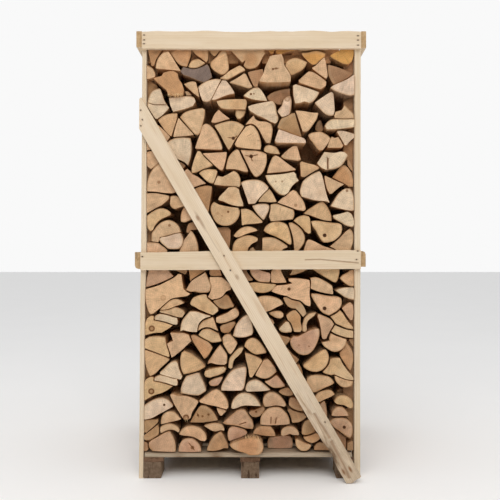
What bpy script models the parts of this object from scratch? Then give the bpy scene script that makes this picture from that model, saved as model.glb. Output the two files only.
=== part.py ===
"""Crate pallet of split oak firewood.

A wooden pallet carries a tall open crate of posts, rails and diagonal braces.
The crate is filled with four ranks of split oak logs whose cut ends face the
front and the back.  Metres, +Z up, front of the crate towards -Y.
"""
import math

import bpy
from mathutils import Vector
from mathutils.geometry import delaunay_2d_cdt

CM = 0.01
MM = 0.001
GAP = 0.0003

# Crate: the posts' outer faces on the front and the back stand on y = -HALF and y = +HALF.
HALF = 0.5
POST_WIDTH = 0.088
MIDDLE_POST_WIDTH = 0.090

# Pallet stack, from the floor up.
BLOCK_HEIGHT = 0.078
STRINGER_TOP = 0.100
DECK_TOP = 0.122
BLOCK_LENGTH = 0.120
BLOCK_X = ((-0.5090, -0.4260), (-0.0450, 0.0410), (0.4080, 0.4905))
STRINGER_X = ((-0.5090, -0.4140), (-0.0490, 0.0460), (0.3960, 0.4910))
DECK_ENDS = (-0.5040, 0.4830)
# Each deck board: its lowest and highest y.
DECK_BOARDS = (
    (-0.4997, -0.3890),
    (-0.3480, -0.2380),
    (-0.2010, -0.0960),
    (-0.0560, 0.0560),
    (0.0940, 0.2020),
    (0.2370, 0.3490),
    (0.3880, 0.4997),
)

# Post faces across x in cm at heights in cm: (height, outer face, inner face).
FRONT_LEFT_POST = (
    (0.0, -53.2, -51.15),
    (85.0, -52.6, -50.3),
    (109.0, -52.2, -49.6),
    (212.3, -51.5, -49.6),
)
FRONT_RIGHT_POST = (
    (0.0, 52.3, 49.4),
    (52.0, 52.3, 49.6),
    (104.0, 52.4, 49.55),
    (212.0, 52.6, 49.6),
)
MIDDLE_LEFT_POST = (
    (0.0, -53.1, -51.15),
    (104.0, -52.25, -49.6),
    (211.0, -51.65, -49.6),
)
MIDDLE_RIGHT_POST = (
    (0.0, 52.2, 49.6),
    (104.0, 52.35, 49.6),
    (211.0, 52.5, 49.6),
)

# Rails across the front: thickness, then outline corners in cm (x, z), lower edge first.
RAIL_THICKNESS = 0.0217
FRONT_TOP_RAIL = (
    (-51.4, 204.0), (0.0, 203.8), (52.3, 204.1), (52.3, 212.3),
    (34.0, 212.6), (12.0, 212.1), (-16.0, 212.6), (-38.0, 212.3), (-51.4, 212.6),
)
FRONT_MID_RAIL = (
    (-52.1, 99.2), (0.0, 99.5), (52.2, 99.8), (52.2, 108.8),
    (18.0, 108.5), (-20.0, 108.3), (-52.1, 107.8),
)

# Side rails, nailed outside the posts: (lowest x, highest x, bottom z, top z) in cm.
SIDE_RAILS = (
    ("rail_top_left", -54.4, -51.75, 205.4, 213.0),
    ("rail_top_right", 52.7, 55.1, 204.9, 213.0),
    ("rail_mid_left", -55.1, -52.45, 99.7, 107.8),
    ("rail_mid_right", 52.5, 54.9, 100.7, 108.3),
)

# Front brace: its lower left and upper right edge in cm (x, z), from the top end to the bottom end.
BRACE_THICKNESS = 0.0217
BRACE_LEFT_EDGE = ((-52.6, 165.95), (-15.8, 103.2), (44.6, 0.2))
BRACE_RIGHT_EDGE = ((-51.6, 181.05), (-6.1, 102.8), (50.0, 6.2))
BRACE_TOP_CORNER = (-52.6, 180.25)
BRACE_FOOT = ((47.0, 0.25), (51.45, 3.25), (51.45, 4.4))
# How far the back of the brace stands in front of the posts, in mm, at heights in cm.
BRACE_STAND_OFF = ((181.0, 0.3), (108.0, 22.7), (0.0, 48.0))

# Logs.
LOG_LENGTH = 0.25
CORE_SET_BACK = 0.045
CORE_HALF_WIDTH = 0.4895
CORE_TOP = ((0.4895, 2.042), (0.400, 2.052), (0.230, 2.052), (-0.180, 2.044), (-0.4895, 2.044))
STACK_BOTTOM = 0.1223
SIDE_LIMIT = 0.4945
DEEPEST_CAP = 0.040
INNER_HALF_WIDTH = 0.488
INNER_TOP = (
    (0.488, 2.035), (0.400, 2.035), (0.340, 2.060), (0.240, 2.060), (0.160, 2.035),
    (0.060, 2.060), (-0.010, 1.990), (-0.080, 2.045), (-0.200, 2.060), (-0.350, 2.055),
    (-0.420, 2.040), (-0.488, 2.055),
)

# The eye that the log ends were drawn from: its distance in front of the posts and its height.
EYE_DISTANCE = 3.0
EYE_HEIGHT = 1.09
# Neighbouring ends lie at different depths; this share of the depth is taken out of each outline.
DEPTH_SHARE = 0.5

# Every log end of the front rank: how far it stands out in mm (minus is set back), then the corners
# of its outline in cm, x from the centre line and z from the floor.
LOG_ENDS = (
    (-10, -49, 204.8, -48.6, 207, -42.6, 207, -42, 204.8, -43.7, 202, -45.2, 199.5, -46, 196.6,
     -47.2, 196.7, -48, 200.5),
    (8, -45.1, 195.2, -44.6, 198, -43.4, 200.6, -41.5, 202.6, -39.2, 203.2, -37.6, 201, -35.2, 197,
     -33.3, 194),
    (6, -38, 202.8, -36, 204.2, -33, 206.2, -28.5, 206.5, -28.2, 203.5, -29.2, 199.5, -30.3, 196.3,
     -32.5, 196.6, -34.6, 197.9, -36.4, 200.2),
    (0, -27.8, 204, -26, 206.4, -21.5, 206.6, -20.3, 203, -20.3, 199.5, -21, 198.2, -23.5, 200.2, -26, 202),
    (6, -29.5, 195.8, -28.6, 197.8, -27.2, 199.1, -24.8, 199.6, -21.6, 197.7, -24.4, 196, -27, 195.4),
    (4, -33.2, 193.8, -32, 195.8, -30, 195.3, -26.8, 194.8, -23.8, 195.5, -20.6, 197, -19.9, 196,
     -18.4, 191, -20.4, 189.5, -22.2, 188.6, -24.8, 189.5, -28.6, 191.1, -32.2, 192.4),
    (0, -49.3, 196.6, -48.4, 196.3, -46.5, 195, -45.3, 192.4, -45.7, 191.2, -47.5, 190.6, -49.3, 190.2),
    (22, -45.9, 190.2, -42, 191.3, -41.3, 192.7, -39, 193.4, -36.5, 193.6, -34.6, 192.4, -34.2, 190,
     -32.6, 187.6, -31.8, 184.6, -32.2, 182.6, -35.5, 182.1, -39, 182.6, -39.8, 184.6, -42, 186.6,
     -44.2, 188.6),
    (10, -48.9, 180, -48.2, 182.2, -47, 184.3, -45, 185.5, -43.2, 185.8, -42.3, 183.4, -41.2, 180,
     -39, 176.6, -42, 173.4, -44.6, 171.5, -45.4, 171.5, -47.5, 174.7, -49.2, 177.6),
    (6, -38.7, 181.2, -33, 181.7, -28.6, 181.8, -26.9, 181.2, -26.2, 179.4, -27.4, 177.4, -31, 176.1,
     -36.8, 174.7, -38.2, 178),
    (-6, -31.7, 187.8, -29.6, 188.7, -27.6, 189.1, -26.2, 188.8, -25.2, 185.6, -24.5, 181.7, -27, 183.5,
     -29.5, 185.8),
    (-25, -31.3, 184.6, -29.8, 184.5, -28.2, 182.8, -30.6, 182.7),
    (8, -24.8, 186.3, -23.2, 187.7, -20.2, 189.2, -16.6, 190, -14.1, 189.8, -15.7, 186.6, -17.7, 182.6,
     -19.3, 179.7, -20.8, 179.3, -22.6, 179.6, -23.9, 182.6),
    (4, -13.5, 189.4, -11.7, 189.3, -10, 187.2, -8.4, 184.8, -7.6, 183.3, -10.4, 182.8, -13.5, 181.7,
     -16.5, 180.5, -18.5, 180.3, -17.2, 182.8, -15.2, 186.6),
    (-5, -19.6, 203.6, -19.2, 206.5, -14.8, 206.5, -14.6, 204.4, -15.8, 202.6, -17, 201.2, -18, 201.8),
    (5, -19, 198, -18, 199.3, -16, 201, -14.5, 203, -13, 203.8, -11.8, 203.5, -11, 201, -10.6, 198,
     -10.4, 195.4, -11.2, 193.8, -12.6, 192.6, -14, 192.5, -16, 193.5, -18, 195, -19, 196.6),
    (10, -9.5, 204.3, -8, 206.6, 5, 206.6, 6.8, 204, 7, 202.6, 5.8, 201, 4.2, 197.8, 2.4, 195.8, 0, 195.3,
     -2, 195.6, -3.2, 196.7, -2.2, 199.6, -3.9, 198.3, -6.4, 201),
    (8, -14.5, 190.4, -12.4, 191.8, -10.2, 193.7, -7.4, 195.3, -5.2, 196.4, -3.6, 195.5, -2.5, 194.2,
     -5.4, 192.8, -8.6, 191, -11.3, 189.9),
    (12, -9.9, 188.4, -6, 190.6, -3, 192.7, -2.2, 192.3, -0.7, 189, 0.9, 186.2, -1, 185.7, -5, 186.9),
    (4, -1.2, 193.3, 1, 193.9, 4, 194.5, 5.8, 194.8, 5.9, 193, 4.7, 190.4, 3.6, 188.2, 3.3, 186.6,
     1.7, 186.6, 0.2, 189.8),
    (8, -3.3, 182.2, -1, 184.2, 1.6, 185.8, 3.6, 186, 5, 184.8, 6.6, 182.4, 7.9, 179.8, 4.5, 180,
     0.8, 180.6, -1.6, 181.4),
    (35, 4.2, 188.8, 4.8, 190, 6.3, 192.8, 7.1, 195.6, 8.6, 198.8, 9.2, 200.4, 11, 200.9, 14.7, 201.4,
     15.6, 199, 16.1, 196, 18.8, 191.8, 18.9, 188.5, 12, 188.2, 7, 188.3),
    (-30, 7.9, 182, 10, 183.8, 13, 184.9, 16, 185.6, 18.7, 185.9, 18.8, 182.7, 16.8, 182.1, 15.2, 180.6,
     14.8, 178.4, 12.4, 178.8, 10.8, 179.9, 8.8, 180.3),
    (2, 15.7, 180.4, 17, 181.6, 18.8, 182.1, 19.5, 180, 19.3, 176.5, 18.8, 173.8, 17.5, 172.9, 15, 172.1,
     13.8, 173.6, 12.9, 174.8, 13.5, 175.8, 14.9, 177.4, 15.3, 179),
    (10, -1.1, 176.9, 1, 177.7, 4.5, 178.5, 8, 179.2, 10.7, 179.5, 11.8, 177.6, 12.4, 174, 13.2, 171.6,
     12.8, 169.8, 11.8, 169, 9.6, 169.9, 6.4, 171.6, 2.6, 173.3, -0.4, 175.2),
    (12, -16, 179.4, -13, 180, -7, 180.4, -2.2, 180.3, -1.7, 179, -2.4, 175.7, -6.5, 175.8, -11.8, 175.9,
     -14, 176.4, -15.2, 177.8),
    (-2, -7, 175.3, -2.5, 175.1, -3.2, 172.8, -4.6, 171.5, -6.2, 171.4, -7, 172.6),
    (0, 8.2, 204.6, 8.7, 206.5, 11, 206.6, 11.5, 204, 10.6, 202.3, 9.6, 202.5),
    (20, 12.3, 206.5, 21, 207, 20.9, 204.1, 17.5, 203.6, 14.6, 202.5, 12.2, 202.8),
    (0, 16.6, 196.6, 17.3, 198.4, 19, 199.6, 21.5, 200.2, 24, 199.5, 26.8, 198.2, 26.4, 196.8, 25, 195,
     22.5, 193.4, 19.5, 192.1),
    (2, 24.3, 202.6, 27.5, 202.9, 30.6, 203.7, 33.2, 203.3, 35.8, 202.3, 35.4, 201, 33, 199.2,
     31.2, 197.4, 29.8, 197.1, 27.6, 198.7, 25.4, 201),
    (5, 22.6, 204.6, 23, 207, 30, 208, 37.4, 206.8, 37, 204.3, 34, 204.5, 31, 204.8, 27.4, 204.1, 24, 204),
    (-4, 29.3, 195.4, 31.5, 196.9, 33.4, 198.9, 35.2, 200.6, 35.8, 198.4, 36.5, 194, 36.7, 191.5,
     36.1, 190.5, 33, 192.5),
    (6, 23, 189.4, 25, 191.3, 27.8, 193.7, 30, 193.1, 33, 191.2, 36, 188.8, 35.8, 187, 33.5, 185.4,
     30.5, 186.1, 26.5, 187.4, 23.4, 188.5),
    (2, 20.3, 187.2, 21.6, 187.6, 25, 186.5, 30, 184.8, 32.7, 183.7, 31.4, 181.4, 29.4, 179.2,
     28.2, 178.8, 25.6, 179.6, 23.4, 178.8, 21.4, 178.7, 20.6, 182),
    (12, 37.9, 201.3, 40.2, 202.9, 43.2, 204.5, 45, 206.6, 49, 206.6, 49.2, 202, 48.3, 198.8, 46.6, 197.4,
     44.8, 197.6, 42.4, 198.7, 39.6, 200.2),
    (-22, 37, 197.2, 39, 196.8, 43, 195.5, 46.8, 193.9, 49, 193.1, 47.6, 191.9, 44.6, 190.1, 41, 188.5,
     39.7, 188, 38.3, 190.2, 37.2, 193),
    (14, 38, 185.8, 40, 187.2, 43.6, 188.7, 46.6, 190.2, 49.3, 192.2, 49.3, 182.6, 47, 182.2, 43, 183.3,
     39.7, 184.6),
    (0, 30.6, 178.8, 33, 180.5, 36.4, 182.8, 38.6, 184, 39.4, 183.2, 39.8, 179, 40, 175, 39.4, 172.9,
     37.6, 172.8, 35.2, 173.9, 32.8, 176.3),
    (6, 39.9, 172.6, 40.6, 174.5, 43.4, 175.2, 44.9, 177.6, 46.6, 175.8, 48.8, 173.6, 49.3, 171.5,
     46.6, 171.4, 43, 171.4, 40.2, 171.6),
    (2, -18.6, 169.7, -17.3, 172.9, -15.2, 175.5, -12.7, 173.3, -10, 171.3, -11.7, 170.9, -14.5, 170,
     -17, 169.4),
    (-6, -44.1, 170.7, -42, 172.3, -39.8, 173.3, -37.2, 173.8, -34.9, 173.9, -35.3, 171, -36.7, 166.5,
     -37.8, 163, -38.8, 163.7, -41.2, 166.4),
    (-4, -44.6, 168.6, -41.4, 165.8, -38.4, 162.7, -39.6, 161, -42.5, 158.2, -45, 158.4, -45.8, 163),
    (0, -49.3, 170, -47.6, 168.6, -46.6, 163, -45.6, 157.6, -47.2, 156.9, -49.3, 156.4),
    (-6, -49.3, 155.4, -47, 156, -44, 155.2, -42.3, 152.6, -43.6, 150.2, -46.4, 148, -47.4, 147.3,
     -49.2, 148.8),
    (4, -49.3, 136.8, -49.1, 140.4, -48.2, 144, -46.6, 147, -44, 149.5, -41.5, 150.6, -39.5, 146,
     -37, 141, -35.6, 136.4, -37.2, 135.9, -40.5, 136, -45, 136.6),
    (0, -37.9, 134.3, -35.8, 134.6, -33.5, 133.5, -31.6, 129.7, -33, 129.4, -36.2, 128.3, -37.4, 129,
     -38.3, 130.4),
    (3, -33.5, 172, -31.6, 174, -29, 175.1, -26, 175.8, -23, 176.2, -21.7, 175.4, -22, 172, -22.9, 168.5,
     -24, 164.6, -25, 163.5, -26.4, 163.9, -30.1, 168),
    (-6, -34.3, 171.6, -30.6, 167.6, -27.1, 163.8, -30, 163.3, -33, 163, -36.7, 162.7, -36.3, 165,
     -35.5, 168),
    (10, -40.8, 158, -39.3, 160.2, -36.8, 161.7, -33, 162.3, -28.7, 162.1, -28.1, 158, -28.7, 152.4,
     -29.8, 149.2, -31.4, 150.7, -34.2, 152, -36.6, 153, -39, 155),
    (6, -26.3, 157.2, -25.3, 160.4, -23.9, 164, -22.8, 167.8, -21.4, 168.8, -19.6, 168.2, -16.8, 165.2,
     -14.7, 161, -13.4, 157.6, -13.8, 156.6, -18, 156.7),
    (2, -25.1, 155.9, -24.1, 155.7, -22, 153, -18, 149.2, -19.7, 148.2, -22.4, 147.4, -25, 146.1,
     -26.4, 145.6, -27.9, 145.5, -27.8, 148, -26.7, 152),
    (8, -22.7, 154.7, -18, 154.9, -14, 155.1, -11.4, 155.3, -11.7, 152.6, -12.5, 149, -13.3, 146.9,
     -14.3, 146.9, -15.6, 147.9, -17.2, 149.2, -20, 152),
    (2, -24.4, 145.3, -22.4, 146.7, -19.4, 147.2, -16.3, 146.9, -15.9, 146, -16.6, 143.6, -17.7, 140.6,
     -19.4, 140.8, -21.8, 142.5),
    (-8, -32.5, 144.2, -31.1, 146.7, -30.2, 147.4, -28.8, 146.2, -27.5, 144.8, -25.3, 143.7, -21.3, 140.5,
     -24.4, 139.7, -27.6, 138.6, -30, 138.8),
    (-12, -35.4, 151.2, -33.3, 150.7, -31.2, 149.1, -31.7, 148.3, -32.7, 147, -34.4, 148.4),
    (6, -27.3, 137, -25.4, 138.3, -21.4, 139.3, -18.5, 139, -18.8, 135.6, -19.6, 130.4, -20.2, 126.4,
     -22, 127.2, -25, 131.5),
    (3, -17.1, 168, -14, 169.2, -10, 170.1, -7.2, 169.9, -4.6, 168.8, -3.1, 167.7, -5.3, 164.2,
     -7.7, 160.8, -9.3, 157.8, -10.4, 156.6, -12, 159.2, -14.5, 164),
    (6, -7.4, 159, -6.2, 161.6, -4.2, 164.6, -2.1, 167.4, 0, 168.1, 1.6, 167.6, 3.3, 165.2, 4.5, 162,
     5, 158.6, 4.7, 156.7, 0, 157, -4, 157.5, -6.6, 158),
    (-3, -2.3, 168.5, -0.6, 170.6, 1.4, 172.7, 2.3, 171, 4, 170.1, 7.5, 169.8, 9.8, 168.8, 10.5, 166.5,
     10.1, 163, 9.4, 159.9, 7.7, 159.9, 6.1, 162.4, 4.3, 165.8, 2.5, 168.1, 0.6, 169.1, -1.2, 168.9),
    (5, -4.6, 156.3, -1, 156.1, 3, 155.9, 6, 155.2, 7.6, 154.3, 7.7, 151.4, 7.1, 148.6, 5.5, 145.4,
     3.2, 143.7, 2.1, 143.9, 0.3, 146.3, -1.5, 149.9, -3.3, 153.6),
    (0, -6.6, 156.7, -5.6, 156.2, -4.4, 153.3, -2.3, 149.1, -1.2, 146.2, -3, 146.2, -7, 147.3,
     -11.8, 147.5, -11.1, 150.8, -10.2, 153.3, -8.4, 155.5),
    (-5, -17.3, 140.1, -16.4, 142.6, -15.6, 144, -13.2, 143.5, -10.4, 145, -7.9, 146.4, -6.2, 145.3,
     -5, 143, -4.8, 139.9, -5.5, 138.9, -8, 139.3, -12, 139.5),
    (6, -10.4, 138.6, -7.6, 138.8, -5.7, 137.8, -4.9, 134.6, -3.6, 131, -3.5, 129.8, -6, 129.7,
     -9.6, 130.5, -13, 132, -15.3, 132.6, -14.6, 134.2, -12.4, 136.4),
    (3, -4.4, 140.8, -3, 141.6, 0, 142.1, 3.2, 142.1, 6, 141.1, 8.5, 138.9, 8.2, 137.8, 5.5, 135.1,
     3.3, 132.5, 2.2, 131, -0.9, 130.8, -1.9, 134, -3.5, 138.4),
    (-3, 9, 137.7, 10.5, 135.6, 11.9, 132.8, 12.4, 131.8, 10, 131.6, 6, 131.8, 3.8, 131.8, 4.3, 132.8,
     6.4, 135.3),
    (0, 7.2, 158.2, 8.5, 158.7, 10.5, 158.4, 12.3, 157.6, 13.4, 155.9, 14, 154.6, 11.5, 154.7, 9, 155,
     6.5, 155.9, 6.5, 157),
    (6, 7.9, 145.4, 8.5, 147.8, 9.5, 150.6, 10.5, 152.8, 11.6, 153.7, 13.4, 153.1, 15.4, 151.5, 18, 149.5,
     20.6, 147.7, 21.6, 147, 19.4, 146.6, 14, 145.9),
    (12, 7.1, 144.2, 11, 144.4, 16, 144.9, 20.7, 145.8, 21.6, 144.8, 21.7, 143.4, 22.9, 141.8,
     20.8, 140.4, 19, 138.2, 17.8, 136, 16, 134.9, 14, 135.2, 11.9, 136.9, 9.9, 139.3, 8.1, 141.7),
    (30, 11.6, 160.6, 12.4, 163, 13.4, 165.8, 15.8, 165.1, 19, 163.8, 22.4, 162.7, 25.3, 161.7,
     26.1, 160.6, 26.1, 159.5, 20, 159.6, 12.2, 159.7),
    (8, 12.9, 167.2, 13.9, 169.8, 15, 171.3, 17.6, 172.4, 19.6, 173.7, 21, 173.9, 21.9, 170.6,
     23.1, 166.6, 24.2, 162.7, 22.4, 163.2, 19, 164.4, 15.8, 165.7, 13.6, 166.4),
    (4, 21.5, 175, 25, 174.8, 29, 174.1, 32.3, 174, 31.5, 171.2, 30, 168.9, 27.6, 165.7, 25.8, 165,
     24.8, 165.4, 23.7, 168.8, 22.4, 172.6),
    (-60, 31.4, 168.4, 32.5, 170.6, 33.5, 171.2, 34.5, 168.6, 34.7, 166, 32.8, 165.8, 31.2, 166.4),
    (-6, 27.5, 163.5, 29, 164.5, 31, 164.9, 33.5, 165.1, 35, 164.4, 37, 163.2, 37.9, 162.2, 37.3, 160.5,
     36, 158.4, 34.5, 156.6, 33, 156.2, 31.8, 157.1, 30.5, 159, 29.6, 160.3, 28.5, 161.5),
    (16, 35.3, 167.8, 36.5, 169.5, 38.7, 170.8, 42, 170.9, 46, 170.9, 49.3, 171, 49.3, 167.3, 44, 166.6,
     40, 166.2, 36.3, 166.1),
    (4, 41.2, 165.3, 43.4, 165.5, 46.4, 164.8, 49.3, 163.9, 49.3, 162.4, 47.4, 160.7, 45.6, 158.6,
     44.8, 158.9, 43.5, 161.4, 42, 163.8),
    (-8, 38.2, 161.9, 38.8, 162.7, 40.2, 162.1, 41.8, 162.6, 43, 160.8, 44.2, 158.4, 43.6, 157.6,
     36.7, 157.6, 37.4, 159.8),
    (8, 35.2, 155.3, 40, 154.9, 43, 155.5, 45, 155.1, 46.3, 153.7, 45.5, 152.4, 44.1, 149.9, 42, 148.1,
     39, 147.3, 36, 146.9, 33.7, 148.1, 31.8, 150, 33, 151.9),
    (-10, 23.6, 150.6, 24.4, 150.9, 27.4, 150, 30.4, 149.3, 32.7, 148.2, 32.7, 147.7, 30.4, 146.4,
     27.4, 144.6, 25.8, 143.6, 24.1, 144, 24, 146.6),
    (10, 14.6, 153.2, 15.7, 154.4, 18, 156.5, 20.2, 158.1, 22.1, 158, 22.8, 155.6, 23.9, 151.6,
     22.6, 151.3, 18.6, 151.8, 15.8, 152.3),
    (12, 32.6, 146.2, 29.8, 145, 27, 143.2, 25.1, 141.5, 24.1, 139, 23.6, 136.4, 24.1, 134.5, 27, 133.5,
     31.4, 132.4, 36, 132, 37.5, 131.3, 36.5, 133.7, 35.5, 137.4, 34.8, 141, 33.7, 144.7),
    (0, 35.4, 144.1, 38.2, 142.8, 41.4, 141.3, 44.5, 140, 42.5, 138.9, 40.3, 137.1, 38.6, 135.6,
     37.6, 135.7, 36.4, 138.2, 35.6, 141.4),
    (-15, 39.2, 143.5, 40.9, 145.6, 43, 148.5, 44.8, 149.2, 46.5, 147.9, 48.1, 145.4, 49, 141.4,
     48.8, 138.9, 46.8, 139.1, 45.4, 140.3, 42.1, 141.9),
    (-12, 46.3, 152.3, 47.2, 151.4, 48.4, 149, 48.7, 146.4, 47.7, 147.4, 46.4, 149.4),
    (8, 38.2, 129.8, 39.7, 132.2, 41.3, 134.8, 42.9, 136.5, 44.8, 137.8, 47.3, 138, 48.6, 135.9,
     49.2, 132, 49.2, 127.6, 46, 127.8, 42, 128.7),
    (2, 13, 131.4, 15.1, 133.4, 17.2, 134.7, 18.8, 136.3, 20.4, 137.3, 21.7, 136.7, 22.9, 135.1,
     24.7, 132.8, 25.7, 130.6, 26.3, 128.1, 25.3, 127.5, 22, 128.1, 18.6, 129.4, 15, 130.7),
    (2, -49.3, 135.6, -45.5, 135.7, -41.8, 135.1, -38.8, 134.5, -38.9, 133.2, -40.8, 131.5, -42.6, 130.1,
     -44.8, 129, -47, 127.8, -49.3, 126.5),
    (6, -49.2, 125, -47.6, 126.2, -45.6, 127.5, -43.4, 128.4, -41.4, 128.5, -39.4, 127.7, -38, 126.5,
     -38.2, 125.5, -40, 124.7, -42.4, 123.6, -44.4, 122, -45.7, 120.2, -46.5, 118.4, -47.6, 117.8,
     -48.6, 118.7, -49.2, 121),
    (0, -47.1, 113, -46.9, 116.6, -45.7, 118.4, -44.2, 120.4, -42, 122.1, -39.6, 122.9, -37.4, 122.6,
     -35.4, 121.4, -34, 119.6, -33.3, 117.3, -36.4, 116.7, -40, 115.6, -43.2, 115, -43.9, 112.6),
    (6, -43.5, 113.7, -42.4, 114.8, -39.8, 115.1, -36.4, 116.2, -33.2, 116.8, -32.4, 115.2, -32, 113,
     -33, 110.4, -34.3, 109.3, -38.5, 109.3, -39.9, 110, -41.3, 111.2, -42.7, 112.5),
    (-2, -49.2, 112.3, -46.5, 112.3, -44, 112, -42.6, 111, -40.9, 109.8, -39.8, 108.8, -40, 106,
     -49.2, 106),
    (2, -28.4, 118, -27, 116.3, -25.7, 113.2, -25, 110, -24.9, 106.6, -34, 106.6, -33.5, 109.2,
     -32.5, 110.8, -31.6, 113.4, -30, 115.5),
    (-6, -30.4, 117.2, -30.3, 119, -29.4, 121.3, -27.6, 122, -25, 121, -25.2, 118.8, -27.2, 118.5,
     -28.4, 118.5, -29.6, 116.9),
    (0, -33, 122.3, -33.2, 124.6, -32.7, 127, -31.8, 128.9, -29.6, 128.6, -27.4, 126, -27.2, 124,
     -28.8, 123, -31.6, 122),
    (-4, -49.2, 91.2, -48.9, 95, -48.2, 99, -48, 102.4, -39.5, 102.4, -39.2, 99.2, -38, 97.5, -36.8, 96.3,
     -40, 94.6, -44, 92.9, -47, 91.8),
    (-10, -36.2, 102, -36.1, 99.6, -35, 98.8, -32.7, 97.8, -31.2, 97.2, -30.5, 98.2, -30.6, 102),
    (-12, -29.3, 102, -29.3, 99, -28.9, 96.2, -28.7, 94, -27.4, 95.3, -24.6, 97, -22, 98.7, -20.8, 99.7,
     -20.6, 102),
    (-10, -19.5, 97.5, -19.3, 99.4, -19.2, 102.2, -15.6, 102.2, -14.3, 98.2, -13.7, 96.5, -17, 96.5,
     -19, 96.6),
    (12, -18.8, 127.4, -18.5, 130.1, -17.4, 131.5, -14.8, 130.2, -11.4, 129.4, -8, 128.9, -5.8, 128.7,
     -5.2, 127.4, -5.4, 125.2, -6.5, 123.1, -8.3, 121.4, -10.4, 120.5, -13, 120.4, -15.4, 121.3,
     -17.3, 123.3),
    (3, -4.5, 128.2, -1.6, 128.2, 0.8, 127.1, 2.5, 125.5, 4.5, 123.6, 5.8, 122.3, 5.4, 121.8, 2, 121.4,
     -2, 121.1, -4, 120.6, -4.2, 124),
    (8, 0.9, 129.7, 3.6, 130.5, 7, 130.7, 8.7, 130.1, 8.9, 128.6, 8.1, 126.4, 6.9, 124.1, 6.4, 123.2,
     5.8, 123.4, 3.7, 125.5, 2.2, 127.4),
    (0, 9.7, 130.4, 12.4, 130.7, 15.6, 129.6, 20.3, 127.9, 20.8, 126.8, 20.7, 124.6, 20.1, 123.5,
     16, 123.1, 11, 122.6, 9.8, 122.6, 8.9, 124.6, 9.5, 127.6),
    (6, -8, 115.6, -6, 117.9, -4, 119.3, -1.5, 119.9, 1, 119.5, 3, 118.5, 3.2, 118, 1, 117.4, -2, 116.5,
     -5, 115.2, -6.8, 114.8),
    (0, -8.6, 106.8, -8.3, 110.8, -7, 113.3, -5, 114.7, -2.6, 115.5, -0.4, 115.7, 2, 115.1, 3.6, 114.2,
     3.1, 113, 0.6, 111.7, -1.2, 109.7, -1.6, 106.8),
    (-20, -0.9, 106.8, -0.1, 109.4, 1.1, 110.1, 2.3, 108.6, 2.6, 106.8),
    (4, 5.7, 106.8, 5.8, 114.5, 8.4, 114.8, 11.4, 114.4, 14.4, 112.9, 17.4, 110.9, 17.6, 110.1,
     15.4, 109.2, 14.4, 106.8),
    (10, 6.4, 118, 7.1, 119.7, 8.7, 121.1, 10.6, 121.9, 13.4, 122.2, 16, 121.5, 17.5, 120.3, 18.4, 118,
     19, 115.5, 19.4, 113.2, 19.2, 111.4, 18.3, 111.5, 15.4, 113.4, 12, 115.2, 9, 116.4, 7.3, 117.3),
    (2, 18.4, 121.7, 19.6, 121.8, 21.5, 120.9, 23.4, 119.4, 24.8, 117.6, 25.7, 115.5, 25.8, 113.5,
     25.1, 111.5, 23.9, 109.8, 22.8, 108.4, 22.6, 106.8, 21, 106.8, 20.9, 110.4, 20.4, 114, 19.6, 117.4,
     18.7, 120),
    (8, 20.6, 122.7, 22.2, 124.2, 25, 125.2, 27.7, 124.7, 28.3, 123, 28.5, 120, 28.6, 116.8, 27.7, 116.6,
     26.1, 117.7, 25.4, 118.6, 23.6, 120.4, 21.8, 121.8),
    (-2, 25.5, 126.2, 27.5, 128, 30, 129.6, 33, 131.5, 34.6, 131.7, 36.2, 129.9, 37.4, 127.8, 38.3, 125.5,
     38.6, 122.6, 35, 123, 31, 124.4, 28, 125.6, 26.2, 125.8),
    (10, 28.9, 122.3, 30.5, 122.6, 33, 122.5, 36, 122, 39, 121.6, 42, 121.4, 43.3, 120.5, 43.5, 118.5,
     42.9, 116.4, 41.4, 114.6, 39.5, 113.2, 37, 112.5, 35, 112.4, 34, 113.2, 32.7, 115.1, 31.1, 118.1,
     29.5, 120.4),
    (10, 39.4, 125.2, 43, 126, 46.2, 126.9, 47.9, 125.9, 48.9, 123.5, 49.2, 121, 48.5, 119.8, 47.6, 119.8,
     45, 120.7, 43.3, 121.8, 41.2, 122.9, 39.6, 123.9),
    (0, 38, 110.4, 40, 112.2, 42, 113.9, 44, 115.9, 46, 117.9, 47.4, 118.8, 48.5, 117.5, 49, 115,
     48.7, 112, 47.9, 109.6, 47.6, 106.8, 42, 106.8, 40.2, 109.3),
    (2, 25.2, 106.8, 25.8, 109.6, 26.7, 112.4, 27.6, 113.7, 29.4, 113.3, 32, 112, 34.6, 110.6,
     37.4, 109.7, 39.7, 108.9, 41, 106.8),
    (-12, -4.6, 98.4, -3.8, 99.3, -3.4, 102.2, -2, 102.2, -1.8, 98.7, -0.3, 96.3, 1.1, 94.5, 0.5, 94.1,
     -1.6, 94.1, -4, 94),
    (0, -0.4, 102.2, -0.1, 98.5, 0.9, 96.4, 2.7, 94.6, 4.6, 93.6, 8.9, 93.4, 9.5, 95.5, 9.3, 97.5,
     8.6, 97.9, 6, 98.5, 3, 99.7, 2.6, 102.2),
    (2, 10, 98.6, 10.9, 99.6, 11, 102.2, 14.2, 102.2, 14.3, 99.6, 15.3, 97, 16.5, 94.6, 17.1, 93.3,
     13, 93.1, 10, 93.4, 9.9, 95.4),
    (6, -1.2, 92.8, 2, 93.2, 4.6, 93, 8, 92.6, 12.1, 92.4, 11.3, 90.8, 9.5, 89.4, 7.2, 88.6, 5, 88.4,
     2.4, 88.9, 0.7, 89.7, -0.4, 90.8),
    (-15, 18.9, 96.8, 20, 99, 20.3, 102.2, 26.4, 102.2, 26.8, 99.5, 25.6, 98.7, 22.6, 97.5, 20.4, 97),
    (-6, 28.6, 102.2, 29.5, 99.7, 31, 98.7, 34, 96.8, 37, 95, 39.7, 93.5, 40.6, 93.4, 41.4, 94.3,
     42, 96.5, 42.4, 99.2, 42.6, 102.2),
    (0, 28.7, 95.5, 31.4, 95.7, 34, 94.7, 37, 93, 38.7, 91.8, 39.1, 90, 39.2, 87.8, 35.6, 88.3, 32, 89.2,
     28.7, 90.5, 29, 93),
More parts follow.
